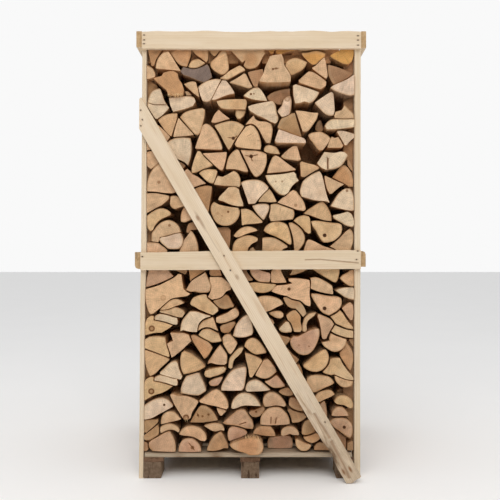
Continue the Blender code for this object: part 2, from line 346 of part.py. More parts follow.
    (-8, 42.7, 95.4, 44.1, 96.9, 46.4, 98.1, 47.6, 99.1, 49.2, 99.3, 49.2, 91.6, 47.6, 91.5, 45.6, 92.6,
     44, 93.9),
    (-14, -17, 119, -13, 119.6, -10.5, 119.4, -9.6, 118, -9.8, 113, -10.4, 109, -10.6, 106.8, -14, 106.8,
     -18.4, 112),
    (6, -49.3, 90, -44, 91.7, -40, 93.6, -36.4, 95.5, -34.5, 97.2, -33, 97.1, -32.6, 94, -32, 90.2,
     -30.7, 88.9, -28.8, 87.9, -30, 87, -33, 86.5, -36, 86.1, -38, 85.5, -40.6, 83.4, -43.6, 80.7,
     -46, 78.6, -47.2, 78.3, -48.3, 81, -49.1, 85),
    (2, -28.4, 93.4, -26, 95.3, -23, 97, -21.6, 98.2, -20.7, 96.4, -19.6, 93.6, -18.9, 92, -19.3, 89.4,
     -20.4, 88.6, -24, 88.5, -26.6, 89.1, -28.4, 88.9, -30.5, 89.8),
    (0, -19.3, 95.8, -14, 95.8, -11.5, 94, -9.5, 92, -9.4, 90, -11.7, 89, -13, 87.2, -15, 85.9,
     -18.2, 85.2, -20.2, 86.4, -19, 88.8, -18.6, 91.8, -19.4, 94),
    (6, -28.7, 83.4, -28, 84.9, -27, 86.1, -25, 87, -22, 87.7, -21, 87.3, -20.8, 86, -19.1, 84.3,
     -17.4, 82.8, -15.6, 81, -15.4, 79.8, -16.8, 78.6, -18, 77.9, -20.4, 78.8, -22.4, 79.7, -24.6, 80.6,
     -26.4, 81.8, -28.3, 82.6),
    (-4, -17.8, 84.4, -16, 85, -14.4, 85.4, -13, 86.4, -11.6, 87.4, -10.6, 86.8, -9.5, 85.1, -8.5, 83.2,
     -7.9, 82.2, -8.2, 81.6, -9.6, 81.4, -11.5, 80.8, -13, 80.8, -14.8, 81.4, -16.4, 82.8),
    (8, -16.3, 75, -16.2, 76.6, -14, 77.5, -11.5, 78.5, -10, 79.4, -8.5, 80.6, -7, 81, -6, 80, -5.5, 79,
     -5.6, 77.9, -6.8, 76.6, -9, 75.4, -12, 74.3, -14.8, 74, -16.1, 74.4),
    (-6, -14.4, 71.6, -14.3, 72.2, -13.4, 73.1, -11, 73.8, -8.5, 74.6, -7.5, 74.4, -7.2, 73.7, -7.9, 72.4,
     -9.1, 71, -9.7, 69.9, -10.6, 69.3, -13, 69.3, -13.9, 70),
    (10, -29.1, 79.3, -26, 79.4, -22.8, 78.4, -19, 77.3, -20.4, 76.9, -23.1, 75.6, -24.9, 73.2,
     -25.5, 69.8, -29, 70, -32.2, 70.8, -33.3, 70.2, -33.1, 72.6, -32.3, 75.3, -30.9, 77.2),
    (-2, -24.4, 72.7, -22.7, 74.8, -20, 76.1, -18, 76.7, -17.2, 74.8, -16.3, 72, -15.5, 70.3, -19.6, 72,
     -22.9, 71.7, -24.9, 70.4),
    (0, -24.7, 68.2, -24.2, 69.2, -22.6, 70.8, -19.7, 71.1, -15.4, 69, -14.5, 67, -13.8, 65.4, -15, 65.1,
     -18.3, 64.8, -20, 65.6, -22.4, 66.8),
    (-6, -28.5, 68, -26.8, 68.2, -25.3, 67.5, -22.5, 66.1, -20.1, 64.8, -19, 63.6, -18.1, 62.2, -19, 60.5,
     -20.6, 58, -22, 57, -24.1, 60.2, -26.1, 63.2, -27.4, 65.2),
    (4, -38.1, 69.3, -36, 69.1, -34, 69.1, -32, 69.2, -29.4, 68.3, -29.1, 67.3, -28.3, 65.4, -30, 63.9,
     -32, 61.9, -34, 60.2, -36, 58.6, -37.5, 57.6, -38.2, 59.9, -39.1, 62.4, -39.6, 64.1, -38.6, 64.7,
     -36.8, 65.3, -37.3, 67.2),
    (6, -49.3, 62.1, -49.3, 66.1, -47.6, 67.3, -43.6, 67.7, -40.7, 67.1, -40.4, 65, -39.9, 62.6,
     -38.9, 59.6, -38.7, 57.9, -41.4, 58.7, -45.6, 60.5),
    (3, -49.3, 61.1, -45.4, 59.6, -41.2, 57.9, -39, 57, -38.8, 56.4, -40.7, 54.6, -42.7, 52.8,
     -44.1, 51.1, -45.8, 49.5, -47.2, 48.8, -47.9, 50.6, -48.9, 54, -49.2, 58),
    (2, -43.1, 80.4, -41, 82.3, -39, 84.1, -37, 85.2, -35, 85.4, -33, 84.6, -31.7, 83.6, -33.4, 82.9,
     -36, 82, -38.4, 81, -41, 80.4),
    (0, -43.3, 79.3, -42.8, 79.9, -40.6, 80, -38, 80.6, -36, 81.4, -34, 81, -32, 80, -31.2, 78.8,
     -31.9, 77.8, -32.6, 76.8, -34.6, 76.9, -38, 77.9, -41, 78.7),
    (4, -44.8, 77.6, -43.3, 78.3, -40, 77.7, -37, 76.7, -35, 76.3, -34.8, 74.6, -34.9, 73.4, -36.6, 73.4,
     -39.5, 74.4, -43, 75.3, -45.3, 75.7, -45.3, 76.8),
    (2, -49.2, 68.3, -49.2, 73.5, -48.5, 76.2, -46.8, 77.4, -45.8, 77.2, -45.9, 75.2, -42.8, 74.5,
     -39.6, 73.6, -37.2, 72.8, -38.7, 71.6, -40.7, 70.5, -42.4, 69.5, -44.6, 69.5, -47, 69),
    (8, -43, 50.6, -41, 52.4, -39, 54.4, -37, 55.8, -35.5, 55.9, -34.6, 54.6, -34.2, 52.4, -33.2, 50,
     -32.5, 48.4, -33.2, 47.2, -36, 47.8, -40, 48.9, -43, 49.8),
    (6, -31.4, 60.7, -32.7, 60, -33.3, 57.4, -33.3, 54.4, -32.7, 51.6, -31.8, 49.7, -29, 50.2,
     -25.4, 51.2, -22.9, 52.4, -21.5, 53.4, -23, 55.4, -25.7, 57.6, -28.4, 59.5),
    (4, -21.9, 49.6, -21.7, 50.9, -19.6, 51.8, -16, 52.6, -12.9, 53, -11.6, 52.2, -12.3, 50.9,
     -14.4, 49.6, -17.6, 48.6, -19.6, 48.1, -21.4, 48.5),
    (2, -14.3, 63.5, -15.5, 62.4, -16.8, 60.7, -18.6, 57.8, -20.1, 55.6, -20.3, 54.6, -18.8, 55.1,
     -15.6, 54.3, -12.4, 54.2, -11.3, 54.9, -11.2, 57.4, -11.3, 59, -12.8, 61.4),
    (6, -13.3, 67, -12.4, 68.1, -11.2, 68.7, -9.6, 68.4, -8.1, 66.9, -6.6, 65, -6.4, 64.4, -7.2, 62.5,
     -8.5, 60.4, -9.6, 59.2, -10.4, 59.8, -11.6, 61.8, -12.9, 64, -13.1, 65.2),
    (-4, -3.4, 62.2, -5.4, 62, -7.1, 60.6, -8.8, 58.6, -10, 57, -10.3, 54.6, -10.5, 52.8, -9.4, 52.2,
     -8.7, 52.6, -8.5, 54.6, -7.7, 56.7, -6, 58.2, -4.2, 60.3),
    (5, -8.3, 67.9, -7.6, 70.6, -6.8, 73.1, -5.1, 75.4, -3.4, 77, -1.6, 78, -0.4, 77, 0.8, 73, 1.2, 70,
     0.6, 68.4, -2, 67.5, -5.6, 67.2),
    (2, -2.8, 62.8, -2.3, 64.7, -1, 66.2, 1, 66.9, 2.6, 66.4, 4.4, 65, 6, 62.9, 7.4, 60.6, 7.4, 59.8,
     4.4, 59.3, 2.6, 59.1, 0.4, 60.1, -1.1, 61.4),
    (0, -2.6, 59.8, -0.4, 59.2, 2.4, 58.1, 4.3, 57.2, 5.6, 56.1, 4.3, 53.8, 2.7, 51.2, 1.3, 49, 0.6, 48.1,
     -0.3, 48.2, -0.7, 50, -1, 52.4, -1.9, 56),
    (4, 6.3, 56.1, 8.4, 56.7, 10, 54.9, 11.6, 52.6, 12.3, 50.9, 11.2, 49.8, 9.4, 48.4, 7, 47.6, 4.6, 48,
     2.4, 49.1, 3.5, 51.4, 4.9, 53.8),
    (8, 2.3, 83.4, 2.6, 85.3, 4, 86.4, 6.5, 86.9, 9, 86.8, 12, 86.1, 14.5, 84.8, 15.5, 83.1, 13.4, 82.1,
     11, 80.9, 9.2, 80, 6.8, 79.3, 4.8, 79, 3, 80.6),
    (2, 8.8, 78.8, 10.6, 79.4, 12.6, 79.7, 14.6, 79.4, 15.6, 78.3, 15.5, 77.1, 14.4, 76.3, 12.6, 76.4,
     10.9, 77.2, 9.6, 78),
    (-6, 4.9, 77.6, 6.6, 78, 8.5, 76.7, 10.7, 75.2, 11.3, 74.1, 10.5, 72.9, 9.7, 71.5, 7.6, 73.5),
    (-10, 10.1, 70.7, 10.9, 71.7, 12.1, 70.8, 13.5, 68.8, 15.3, 67.6, 17.9, 67, 19.1, 66.5, 18.2, 64.9,
     16.5, 63.1, 15.5, 62.7, 12.7, 66.1),
    (10, 40.5, 89.4, 42.4, 90.2, 45.4, 90.8, 48.8, 90.8, 49.2, 90.3, 49.2, 85.1, 47.6, 85.4, 45.4, 86.1,
     43.5, 87.3, 41.8, 88.5),
    (8, 28.9, 87, 29.2, 87.9, 32, 87.8, 35.5, 87.1, 38.4, 86.7, 41.6, 86.5, 43, 85.7, 43.4, 84.2,
     43, 82.1, 41.6, 80.3, 39.7, 79, 37.4, 77.7, 35.1, 78.6, 33.6, 79.7, 31.8, 82.2, 30.1, 85),
    (0, 43.7, 81, 45.5, 82.6, 47.4, 83.9, 48.7, 82.5, 49, 79, 48.5, 75.4, 47.7, 75.3, 46.4, 77, 44.9, 79.2),
    (4, 38.2, 77, 40.7, 78.3, 42.6, 79.9, 43.7, 78.8, 45.2, 76.4, 47, 74, 48.7, 72.1, 48.8, 71.2,
     45.8, 71.6, 43, 72.8, 40.7, 73.8, 39.5, 75.5),
    (2, 32, 77.4, 32.5, 78.3, 34.6, 77.4, 37, 76.4, 38.6, 75.2, 39.7, 73.5, 38.1, 70.9, 36.7, 68.2,
     36, 66.6, 35, 66.3, 34.3, 66.7, 33.9, 68.4, 33.6, 71.2, 33, 74.2),
    (0, 38.6, 70, 40.4, 72.8, 43, 71.7, 45.6, 70.8, 48.8, 70.2, 48.8, 67, 46, 67.2, 43.6, 67.8, 40.9, 68.8),
    (8, 34, 64.6, 35.4, 64.9, 37.8, 65.5, 37.5, 66.8, 38.3, 69, 40.6, 67.8, 43.6, 66.8, 45.6, 66.1,
     45.4, 64.2, 44.2, 62.4, 42.5, 61, 40.2, 60.4, 38.1, 61, 36.1, 62.2, 34.7, 63.4),
    (6, 19.1, 66.1, 20.6, 67.5, 22.6, 67.4, 25, 68.7, 28, 70.2, 30.4, 71, 32.5, 71.2, 32.8, 69.6,
     32.5, 67.2, 31.7, 64.8, 30.6, 62.5, 29.2, 60.6, 27.5, 59.3, 25.4, 58.9, 23.1, 59.4, 21.2, 60.8,
     19.7, 62.5, 19, 64.6),
    (-4, 17.2, 77.6, 18.6, 79, 20.4, 80, 21.5, 80, 23.1, 78.2, 23.9, 76.8, 23.7, 74.6, 24.2, 72.8,
     24.4, 71, 23.8, 69.8, 20.9, 69.8, 20.2, 71.8, 19.2, 74.2, 17.8, 75.6),
    (2, 15.6, 85.9, 17.2, 86.1, 19.8, 84.8, 22, 84.3, 23.4, 84, 25, 82.2, 26, 80.2, 26.5, 78.7, 25.1, 77,
     23.8, 78.5, 22.6, 79.9, 21.5, 81, 19.6, 81.1, 17.8, 82.1, 16.6, 83.7),
    (0, 31.3, 79.1, 29, 78.7, 27.3, 78, 25.6, 76.2, 25.2, 74.8, 24.8, 72.8, 24.8, 70.1, 26.3, 69.9,
     26.8, 70.9, 26.6, 73, 27.2, 74.9, 28.6, 76.2, 30.4, 77.7),
    (-6, 13.6, 70.8, 14.5, 72.1, 15.7, 73.4, 17.2, 74.7, 18.3, 74.2, 19.2, 72.3, 19.7, 70.6, 19.5, 69.7,
     16.6, 69.4, 14.7, 69.8),
    (4, 10.1, 89.1, 10.9, 90.3, 12.6, 91.8, 17, 92.1, 20.2, 92.9, 18.2, 94.2, 18.2, 95, 20, 95.2, 24, 95,
     27.9, 94.4, 28.2, 92.6, 28.1, 90.2, 28.1, 87, 28.6, 83.4, 28.4, 82, 27.4, 82.2, 26.1, 82.8,
     24.1, 84.6, 22.1, 85.2, 19.5, 85.8, 17.5, 86.9, 15, 87.4, 12, 88.3),
    (8, 25.5, 54.4, 27.4, 56, 30, 58.2, 32.4, 60, 34.4, 61.2, 35.7, 61.4, 36.6, 60.1, 37.2, 58,
     36.8, 55.5, 35.6, 53.2, 33.7, 51.6, 31.4, 50.9, 28.7, 51.2, 26.5, 52.2, 25.1, 53.4),
    (2, 38.1, 56.6, 40, 57.2, 42.5, 57.2, 43.2, 55.7, 44.4, 53.6, 46.2, 51.2, 48.2, 48.9, 48.9, 47.8,
     48.8, 46.9, 45.8, 47.3, 43, 48.3, 41, 49.2, 39.8, 49.6, 38.8, 49.3, 36.4, 49.7, 34.5, 50.5, 35.8, 52,
     37.4, 54),
    (-8, 45.8, 64.6, 46.4, 63.8, 47.8, 61.8, 48.8, 59.6, 48.9, 56, 48.2, 52.8, 47.6, 51.4, 46.5, 52.4,
     45, 54.7, 43.6, 56.8, 42.8, 58.4, 42.7, 59.8, 43.8, 61, 44.9, 62.8),
    (-15, 47, 66.1, 49, 66.2, 49.1, 62.6, 48.4, 63.8, 47.6, 65),
    (-8, 15.7, 61.4, 16.8, 62, 17.9, 61.4, 19.7, 59.2, 21.7, 57.7, 23, 56.5, 22.2, 55.3, 21.2, 54,
     18.7, 56.3),
    (-10, 20.9, 53.2, 22, 54, 23.3, 53.9, 24.2, 52.3, 24.8, 50, 24.9, 47, 23.8, 47.7),
    (6, -44.8, 48.5, -43.3, 49.2, -40, 48.5, -37, 47.5, -35, 47.2, -34.8, 45.6, -34.9, 44.4, -36.6, 44.4,
     -39.5, 45.4, -43, 46.3, -45.3, 46.7, -45.3, 47.8),
    (2, -49.3, 37.2, -49.3, 45.4, -48.5, 47.3, -46.8, 48.3, -45.8, 48.1, -45.9, 46.2, -42.8, 45.5,
     -39.6, 44.6, -37.2, 43.8, -38.7, 42.8, -40.2, 41.8, -42.2, 40.8, -45.2, 39.8, -47.8, 38.3),
    (0, -49.3, 34.8, -47.4, 36.4, -44.6, 37.9, -42, 38.3, -39.7, 37.5, -38.3, 36.5, -37.1, 35,
     -37.1, 34.2, -39, 33.1, -41, 32, -43.6, 30.6, -45.6, 29.2, -47.6, 28.4, -49.3, 28.1),
    (10, -38.1, 39.9, -36.6, 40.2, -34.6, 39.3, -31, 39.3, -28, 38.4, -25.2, 37, -24.9, 36.4, -26.3, 34,
     -27.8, 31.6, -28.6, 28.9, -30.1, 28, -31.7, 28.3, -32.9, 30.1, -34.9, 33.3, -36.5, 36.1),
    (12, -33.1, 40.7, -33, 43, -32.3, 45.4, -31.3, 47.4, -30.5, 48.8, -29, 49.3, -25.4, 50.3, -24.4, 50.2,
     -23.2, 47.8, -22.2, 45.6, -21.2, 42.7, -21.2, 41.8, -23.7, 40.2, -25.3, 39.7, -28.6, 40, -31.4, 40.5),
    (0, -19.8, 45.7, -18.7, 46.8, -16.6, 47.6, -14, 48.3, -13.2, 48.1, -14.2, 46.2, -15.5, 44.4,
     -17.8, 44, -19.3, 44.4),
    (6, -24.4, 37, -22.6, 38.5, -20.4, 40.1, -18, 41.9, -16, 42.4, -13.9, 41.2, -12.1, 39, -10.8, 36.4,
     -10.5, 34, -11.4, 33.1, -14, 33.8, -16.8, 34.6, -19, 35, -21.6, 35.6, -24, 36.3),
    (4, -28.5, 26.9, -27.3, 29.2, -25.7, 32, -24.3, 34, -23.3, 34.7, -21, 34.3, -19.1, 33, -17.5, 31.3,
     -16.4, 29.4, -15.6, 27.8, -18, 27.4, -23, 26.8),
    (-6, -16.1, 33.5, -14.4, 33.1, -12.3, 32.5, -11.6, 32, -12.7, 30.9, -13.8, 29.8, -14.6, 30,
     -15.3, 31.3),
    (6, -9.2, 33.6, -8.9, 35.6, -8.1, 37.6, -6.7, 39.2, -5, 40.4, -2.8, 40.8, -1, 40.5, 1.3, 39.4,
     3.1, 37.7, 4.4, 35.6, 4.9, 34.6, 2, 34.7, -2, 34.9, -4.6, 34.5, -6.4, 33.7, -8.4, 33.3),
    (14, -13.9, 42.1, -13.7, 44.2, -12.7, 46.3, -11.2, 48.6, -10, 50.2, -8.5, 51.6, -5.4, 52.8, -3, 53.2,
     -2.1, 52.9, -2, 50.8, -2.5, 46.6, -3.2, 43.1, -4.1, 42.1, -9, 42),
    (0, -2.3, 42.2, -2.2, 43.8, -1.3, 45.6, 0.4, 46.6, 2.4, 47, 4.3, 46.4, 6.1, 45.1, 8.1, 43.4,
     9.4, 42.2, 7.6, 41.8, 3, 41.5, -1.8, 41.4),
    (3, 6.8, 46.1, 8.6, 46.6, 10.4, 47.7, 12.2, 49, 13.5, 48, 15.2, 45.8, 16.4, 44, 14.6, 43.4, 12, 43.2,
     10.3, 43.5, 8.5, 44.7),
    (-6, 13.5, 41.2, 14.5, 42.2, 16.6, 42.9, 18, 43.1, 19.8, 41.3, 20.3, 39.7, 18.4, 39.3, 16, 39.6,
     14.6, 40.3),
    (-4, 18.4, 34.9, 18.6, 37.2, 19.2, 38.4, 21.1, 38.2, 23.4, 35.9, 25.2, 33, 24.6, 32, 21.9, 32.6,
     19.6, 33.7),
    (8, 6.7, 34.4, 6, 36.4, 6.2, 38.4, 7.3, 40, 9, 41, 11, 40.9, 13.1, 40, 14.8, 38.5, 16.2, 36.6,
     17, 34.8, 16, 34.3, 14, 34.7, 12, 35, 9.6, 34.5, 7.3, 34.3),
    (-10, -0.7, 31.2, 0.2, 31.9, 2, 32.1, 4, 33.1, 6, 33.7, 6.8, 33.4, 6.6, 32.2, 5.5, 30.8, 4.3, 29.6,
     2.8, 29.1, 1.1, 29.2, 0, 30.1),
    (10, -13, 26.6, -11.7, 27.8, -10, 29.4, -8, 31.1, -6.8, 32.1, -5, 32.9, -3.1, 32.9, -2, 31.8,
     -1.2, 30.4, 0.1, 28.7, 1, 26.8, 1.4, 24.9, 1, 23.7, -0.6, 23.8, -2.6, 24.1, -5, 24.9, -8, 25.5,
     -10.4, 25.7, -12, 26),
    (4, 4.8, 25.7, 4.8, 28, 5.4, 30, 6.8, 31.8, 8.3, 33.2, 10, 33.8, 12.4, 34, 14.3, 33.6, 15.8, 32.3,
     17.3, 30.7, 18.3, 28.6, 18.6, 26.7, 18.5, 26, 16, 25.7, 12, 25.5, 8, 25.4),
    (-6, 17.7, 32.3, 18.7, 32.8, 20.8, 31.8, 23.6, 31.1, 25.4, 30.8, 26.6, 29, 26, 28.5, 24.3, 27.3,
     22.2, 26.6, 19.9, 26.5, 19.5, 28.4, 18.7, 30.8),
    (-4, -49.3, 27.4, -47, 27.7, -44, 27.8, -43.8, 27.2, -44.5, 26, -46.8, 23.6, -48.5, 21.8, -49.3, 21.8),
    (0, -43.9, 25.4, -43.6, 24, -43.5, 22, -43.8, 20.8, -45.3, 19.6, -47, 18.4, -48.7, 18.2, -49.3, 18.8,
     -49.3, 20.4, -48.1, 21.5, -46.2, 23.2),
    (6, -42.6, 26, -42.5, 28, -41.9, 29.9, -40.6, 31.2, -39, 31.9, -36.7, 31.8, -35.2, 30.8, -33.8, 29.1,
     -33.1, 28.3, -34.6, 27.8, -37, 27.2, -39.4, 26.7, -41.2, 26.2),
    (-2, -42.9, 22.9, -42.8, 24.4, -41, 25.6, -38.6, 26.1, -36.4, 25.6, -34.7, 24.5, -33.8, 23.2,
     -34, 22.2, -34.6, 21.9, -35.4, 22.6, -36.6, 23.1, -38.6, 23.2, -40.4, 22.7, -42.2, 21.8, -42.8, 21.7),
    (8, -47.4, 16, -47.3, 17.2, -46.1, 18.3, -44.3, 19.4, -42.7, 20.6, -40.7, 21.6, -38.8, 22.4,
     -38.1, 22, -37.1, 20.4, -36.2, 18.3, -35.7, 15.6, -35.7, 12.9, -38, 12.8, -42, 13, -45.8, 13.2,
     -46.8, 14.3),
    (-6, -49.3, 17.3, -48.2, 16.6, -47.9, 13.5, -48.3, 13, -49.3, 13),
    (4, -34.2, 12.8, -34.1, 14.6, -33.4, 16.7, -32.1, 18.3, -30.3, 19, -28, 19, -26.1, 18, -24.6, 16.5,
     -23.7, 14.6, -23.5, 13, -28, 12.7),
    (6, -33.8, 21.1, -33.7, 21.7, -32.5, 23.4, -30.7, 24.6, -28.6, 25.1, -26, 24.8, -23.7, 23.8,
     -22.1, 22.3, -21.1, 20.4, -21, 18.6, -21.7, 17.9, -23.6, 18.1, -25.4, 19.1, -27.6, 20, -29.8, 20.4,
     -32, 20.6),
    (2, -20.6, 13.3, -20.5, 14.4, -19.6, 16.7, -18.2, 19, -16.7, 20.8, -15.1, 21.8, -14.2, 22.1,
     -13.2, 20.8, -12.3, 19, -11.2, 16.8, -10.6, 14.8, -10.8, 14.3, -12.6, 14.5, -14.6, 13.7, -17.4, 13.2),
    (-4, -22.1, 25, -20.4, 25.8, -17.8, 26.3, -15, 26.1, -13.3, 25.2, -12.5, 23.8, -12.6, 22.7, -14.2, 23,
     -16.4, 22.4, -18.2, 22.7, -20.4, 23.9),
    (6, -10.2, 18, -10.8, 20, -10.7, 22.2, -10, 23.9, -8.9, 24.8, -6.6, 24.5, -4.4, 23.8, -2.6, 23.1,
     -1.6, 22, -1.9, 21.2, -3.1, 20.5, -5.1, 19.6, -7.4, 18.9, -9.4, 18.2),
    (40, -9.7, 16.5, -8.4, 17.5, -6, 18.4, -3.4, 19.2, -1, 19.7, 0.6, 20.2, 2.4, 20, 4.1, 19.4, 5.1, 18.3,
     5.9, 16.6, 6, 14.8, 5.3, 13.1, 3.9, 11.9, 2.4, 11.2, 1, 11.1, -0.4, 11.5, -1.6, 12.3, -3, 12.9,
     -5.6, 13.6, -8, 14.6, -9.1, 15.5),
    (-60, 8.4, 14.6, 8.3, 17.4, 9, 18.8, 13, 19.3, 17, 19.7, 19.1, 19.5, 20, 18.2, 20.2, 16, 19.8, 14.8,
     14, 14.5),
    (0, 1.2, 21, 1.7, 22.6, 3, 24, 4.7, 24.8, 7, 24.8, 9.5, 24.6, 10.6, 23.4, 11.5, 21.8, 11.8, 20.3,
     9, 20.2, 5.6, 20.6, 3.2, 21),
    (-4, 14.6, 20.6, 14.6, 22, 15.4, 23.6, 17.1, 24.6, 19.4, 24.7, 21.3, 24, 22.6, 22.5, 23.2, 21,
     22.6, 20.6, 20.4, 20.7, 18.8, 21.2, 17, 20.6, 15.3, 20.2),
    (2, 24.5, 21.2, 24.6, 23.6, 25.2, 25.7, 26.3, 27.3, 27.6, 27.9, 29.4, 26.5, 30.8, 23.6, 30.4, 22.2,
     28.4, 21.3, 26.2, 20.8),
    (-2, 25.3, 19.5, 27, 19.9, 29.4, 20.6, 31.2, 21.5, 32.8, 20.5, 33, 18.7, 31.5, 17.6, 29.4, 16.9,
     27.5, 17.4, 26.1, 18.3),
    (0, 21.5, 18.4, 22.4, 18.4, 24, 17.6, 26.4, 16.4, 28.5, 16, 28.8, 15.4, 28, 14.1, 26.5, 13.2,
     24.4, 13.2, 22.9, 14.1, 21.7, 15.7),
    (-10, 30.4, 13.4, 30.5, 14.8, 31.3, 16, 32.8, 17, 35, 16.6, 37, 15.3, 38, 13.3),
    (4, 26.7, 45.6, 27, 47.7, 28.5, 48.8, 31.4, 49.3, 35, 48.9, 37.7, 48.2, 39.2, 46.6, 39.7, 45.5,
     38.5, 44.6, 35.6, 43.4, 33, 42.1, 31.1, 41.2, 29.3, 41.1, 27.5, 43.2),
    (2, 40, 48.8, 41, 48.5, 43, 47.6, 45.8, 46.7, 48.8, 46.2, 48.7, 45.2, 47.9, 44, 45.2, 43.4,
     43.1, 43.9, 41.6, 45.2, 40.4, 46.9),
    (-4, 30.8, 38.5, 31.2, 39.7, 32.5, 40.9, 34.4, 41.6, 36.8, 42.1, 38.5, 41.8, 39.5, 40.9, 40, 40,
     38.3, 38.9, 36.4, 38.1, 34.7, 37.4, 33.2, 36.5, 32.3, 36.3),
    (-12, 33.2, 35, 34.3, 36, 35.2, 36.7, 35.8, 35.2, 36.3, 32.6, 36.5, 29.6, 36.4, 28.2, 35, 31),
    (6, 39.9, 36.7, 40.8, 38.4, 42.4, 39.4, 44.6, 39.6, 46.7, 38.8, 48.2, 37.3, 48.8, 35.4, 48.4, 33.7,
     47.8, 33.5, 46.3, 34.1, 44.7, 35, 42.4, 35.3, 40.8, 35.8),
    (-60, 41.6, 40.7, 43.1, 41.9, 45.4, 42, 47.2, 40.6, 46, 40.2, 43.6, 40.4),
    (8, 38.6, 30, 38.8, 31.4, 40, 33.2, 41.6, 34.1, 43.3, 34, 45, 32.9, 46.2, 31.2, 46.7, 30, 44, 29.9,
     41, 29.8),
    (4, 37.7, 27, 39.3, 28.4, 42, 28.8, 45, 28.6, 47, 27.4, 48.3, 25.5, 48.6, 23, 48.3, 20.8, 47.5, 19.4,
     46.1, 19.9, 44.1, 21.3, 41.8, 23, 39.6, 24.6),
    (-25, 39.9, 23.4, 41.7, 22, 43.8, 20.4, 45.5, 19.2, 45.6, 16.4, 45.5, 13.6, 44.3, 15.1, 41.2, 20.5),
    (-6, 46.3, 13.3, 46.4, 16.3, 47.4, 17, 48.8, 17.6, 48.8, 13.2),
    (-12, -39.7, 148.8, -38.5, 150.2, -36.9, 150, -35.8, 147.2, -34.3, 145.2, -34.2, 143, -32.3, 139.3,
     -35.9, 139, -37.6, 143),
    (-16, -34.6, 137.8, -31.5, 138, -28.3, 137, -27.3, 134.5, -25, 130, -26.8, 128.6, -29.2, 129.8,
     -31, 131.2, -33, 134.8),
    (-10, -26.6, 126.5, -24.6, 128, -22.6, 126.4, -20.5, 125.6, -18.8, 121.6, -18, 120.2, -20.5, 119.6,
     -23.8, 119.9, -24.6, 122, -26.7, 124),
    (-20, -23.2, 117.6, -18.4, 118.4, -18.1, 116, -19.5, 112.4, -19.4, 111.2, -20.2, 111.4),
    (-12, -12.9, 101.5, -10, 102.3, -6, 102.2, -5.2, 98.5, -5, 95, -4.2, 93.5, -5, 90.9, -8.2, 91,
     -8.7, 93.4, -11.2, 96),
    (-14, -7.2, 89.9, -3, 90.4, -0.3, 89.4, 1.6, 87.2, 1.5, 83, 2.7, 80.3, 0.8, 79.1, -1.9, 79.9,
     -3.6, 82.4, -6, 86.6),
    (-8, 1.6, 78.2, 4.4, 78.4, 5, 76.3, 7.3, 73, 9.2, 71.2, 10.2, 69.5, 9.8, 66.5, 6.5, 65.8, 5, 67.8,
     3, 71, 1.8, 74),
    (-18, 7.5, 64.4, 10.3, 64.9, 13.5, 64.2, 14.8, 61.7, 16.1, 59.2, 15.5, 57.4, 12.3, 57, 10.5, 58.8,
     8.8, 61.7),
    (-12, 12.6, 55.8, 16, 56.1, 18.4, 55.4, 20, 53.2, 20.6, 50.6, 18.4, 48.9, 16.2, 49.2, 14.5, 51.6),
    (-10, 17.1, 48, 20.4, 48.2, 22.8, 47.2, 24.2, 45.6, 25.9, 43.8, 27.2, 41.6, 25.8, 40.2, 22.2, 40.7,
     19.1, 44.6),
    (-15, 21.9, 39.3, 25.5, 39.3, 29.6, 39.8, 30.3, 38, 31.6, 36, 32.2, 34.2, 30.3, 32.6, 26.6, 32.8,
     25.4, 34.6, 24.2, 37),
    (-12, 27.4, 31.9, 30.5, 31.8, 33.2, 32.4, 34.6, 29.6, 35.6, 27.3, 34.4, 25.3, 31.7, 25.4, 29.6, 28.4,
     27.6, 30),
    (-9, 32, 24, 34.8, 24.2, 36.4, 25.8, 37.6, 24.2, 39.4, 22.2, 40.3, 20.4, 39, 18.5, 35.2, 18.6,
     33.8, 20.4),
    (-14, 37.2, 17.6, 41, 17.8, 42.3, 15.9, 43.3, 14.4, 42.9, 13.3, 39, 13.3, 38.3, 15),
)

# Corners closer than this to the straight line between their neighbours are left out of the solids.
FRONT_TOLERANCE = 0.0105
BACK_TOLERANCE = 0.0140

PINE_PALE = ("pine_board", (0.74, 0.58, 0.38, 1.0), 0.62)
PINE_GREY = ("weathered_pine", (0.38, 0.31, 0.23, 1.0), 0.78)
OAK = ("split_oak", (0.56, 0.38, 0.21, 1.0), 0.80)


def clear_scene():
    """Remove every object, mesh and material that is already in the file."""
    for item in list(bpy.data.objects):
        bpy.data.objects.remove(item, do_unlink=True)
    for mesh in list(bpy.data.meshes):
        bpy.data.meshes.remove(mesh)
    for material in list(bpy.data.materials):
        bpy.data.materials.remove(material)


def wood_material(name, kind):
    """A matt wood material of one of the three kinds, named after its part."""
    material = bpy.data.materials.new(name + "_" + kind[0])
    material.use_nodes = True
    shader = material.node_tree.nodes["Principled BSDF"]
    shader.inputs["Base Color"].default_value = kind[1]
    shader.inputs["Roughness"].default_value = kind[2]
    shader.inputs["Metallic"].default_value = 0.0
    material.diffuse_color = kind[1]
    return material


def add_part(name, verts, faces, kind, parent):
    """Make one named object from a closed mesh."""
    mesh = bpy.data.meshes.new(name)
    mesh.from_pydata(verts, [], faces)
    mesh.validate()
    mesh.materials.append(wood_material(name, kind))
    part = bpy.data.objects.new(name, mesh)
    bpy.context.scene.collection.objects.link(part)
    part.parent = parent
    return part


def turned_round(verts, faces):
    """The same mesh turned half way round the crate's vertical axis."""
    return [(-x, -y, z) for x, y, z in verts], faces


def mirrored_back(verts, faces):
    """The same mesh mirrored from the front to the back of the crate."""
    return [(x, -y, z) for x, y, z in verts], [tuple(reversed(face)) for face in faces]


def box_mesh(low, high):
    """Vertices and outward faces of a box."""
    xs, ys, zs = zip(low, high)
    verts = [(x, y, z) for z in zs for y in ys for x in xs]
    faces = [(0, 2, 3, 1), (4, 5, 7, 6), (0, 1, 5, 4), (1, 3, 7, 5), (3, 2, 6, 7), (2, 0, 4, 6)]
    return verts, faces


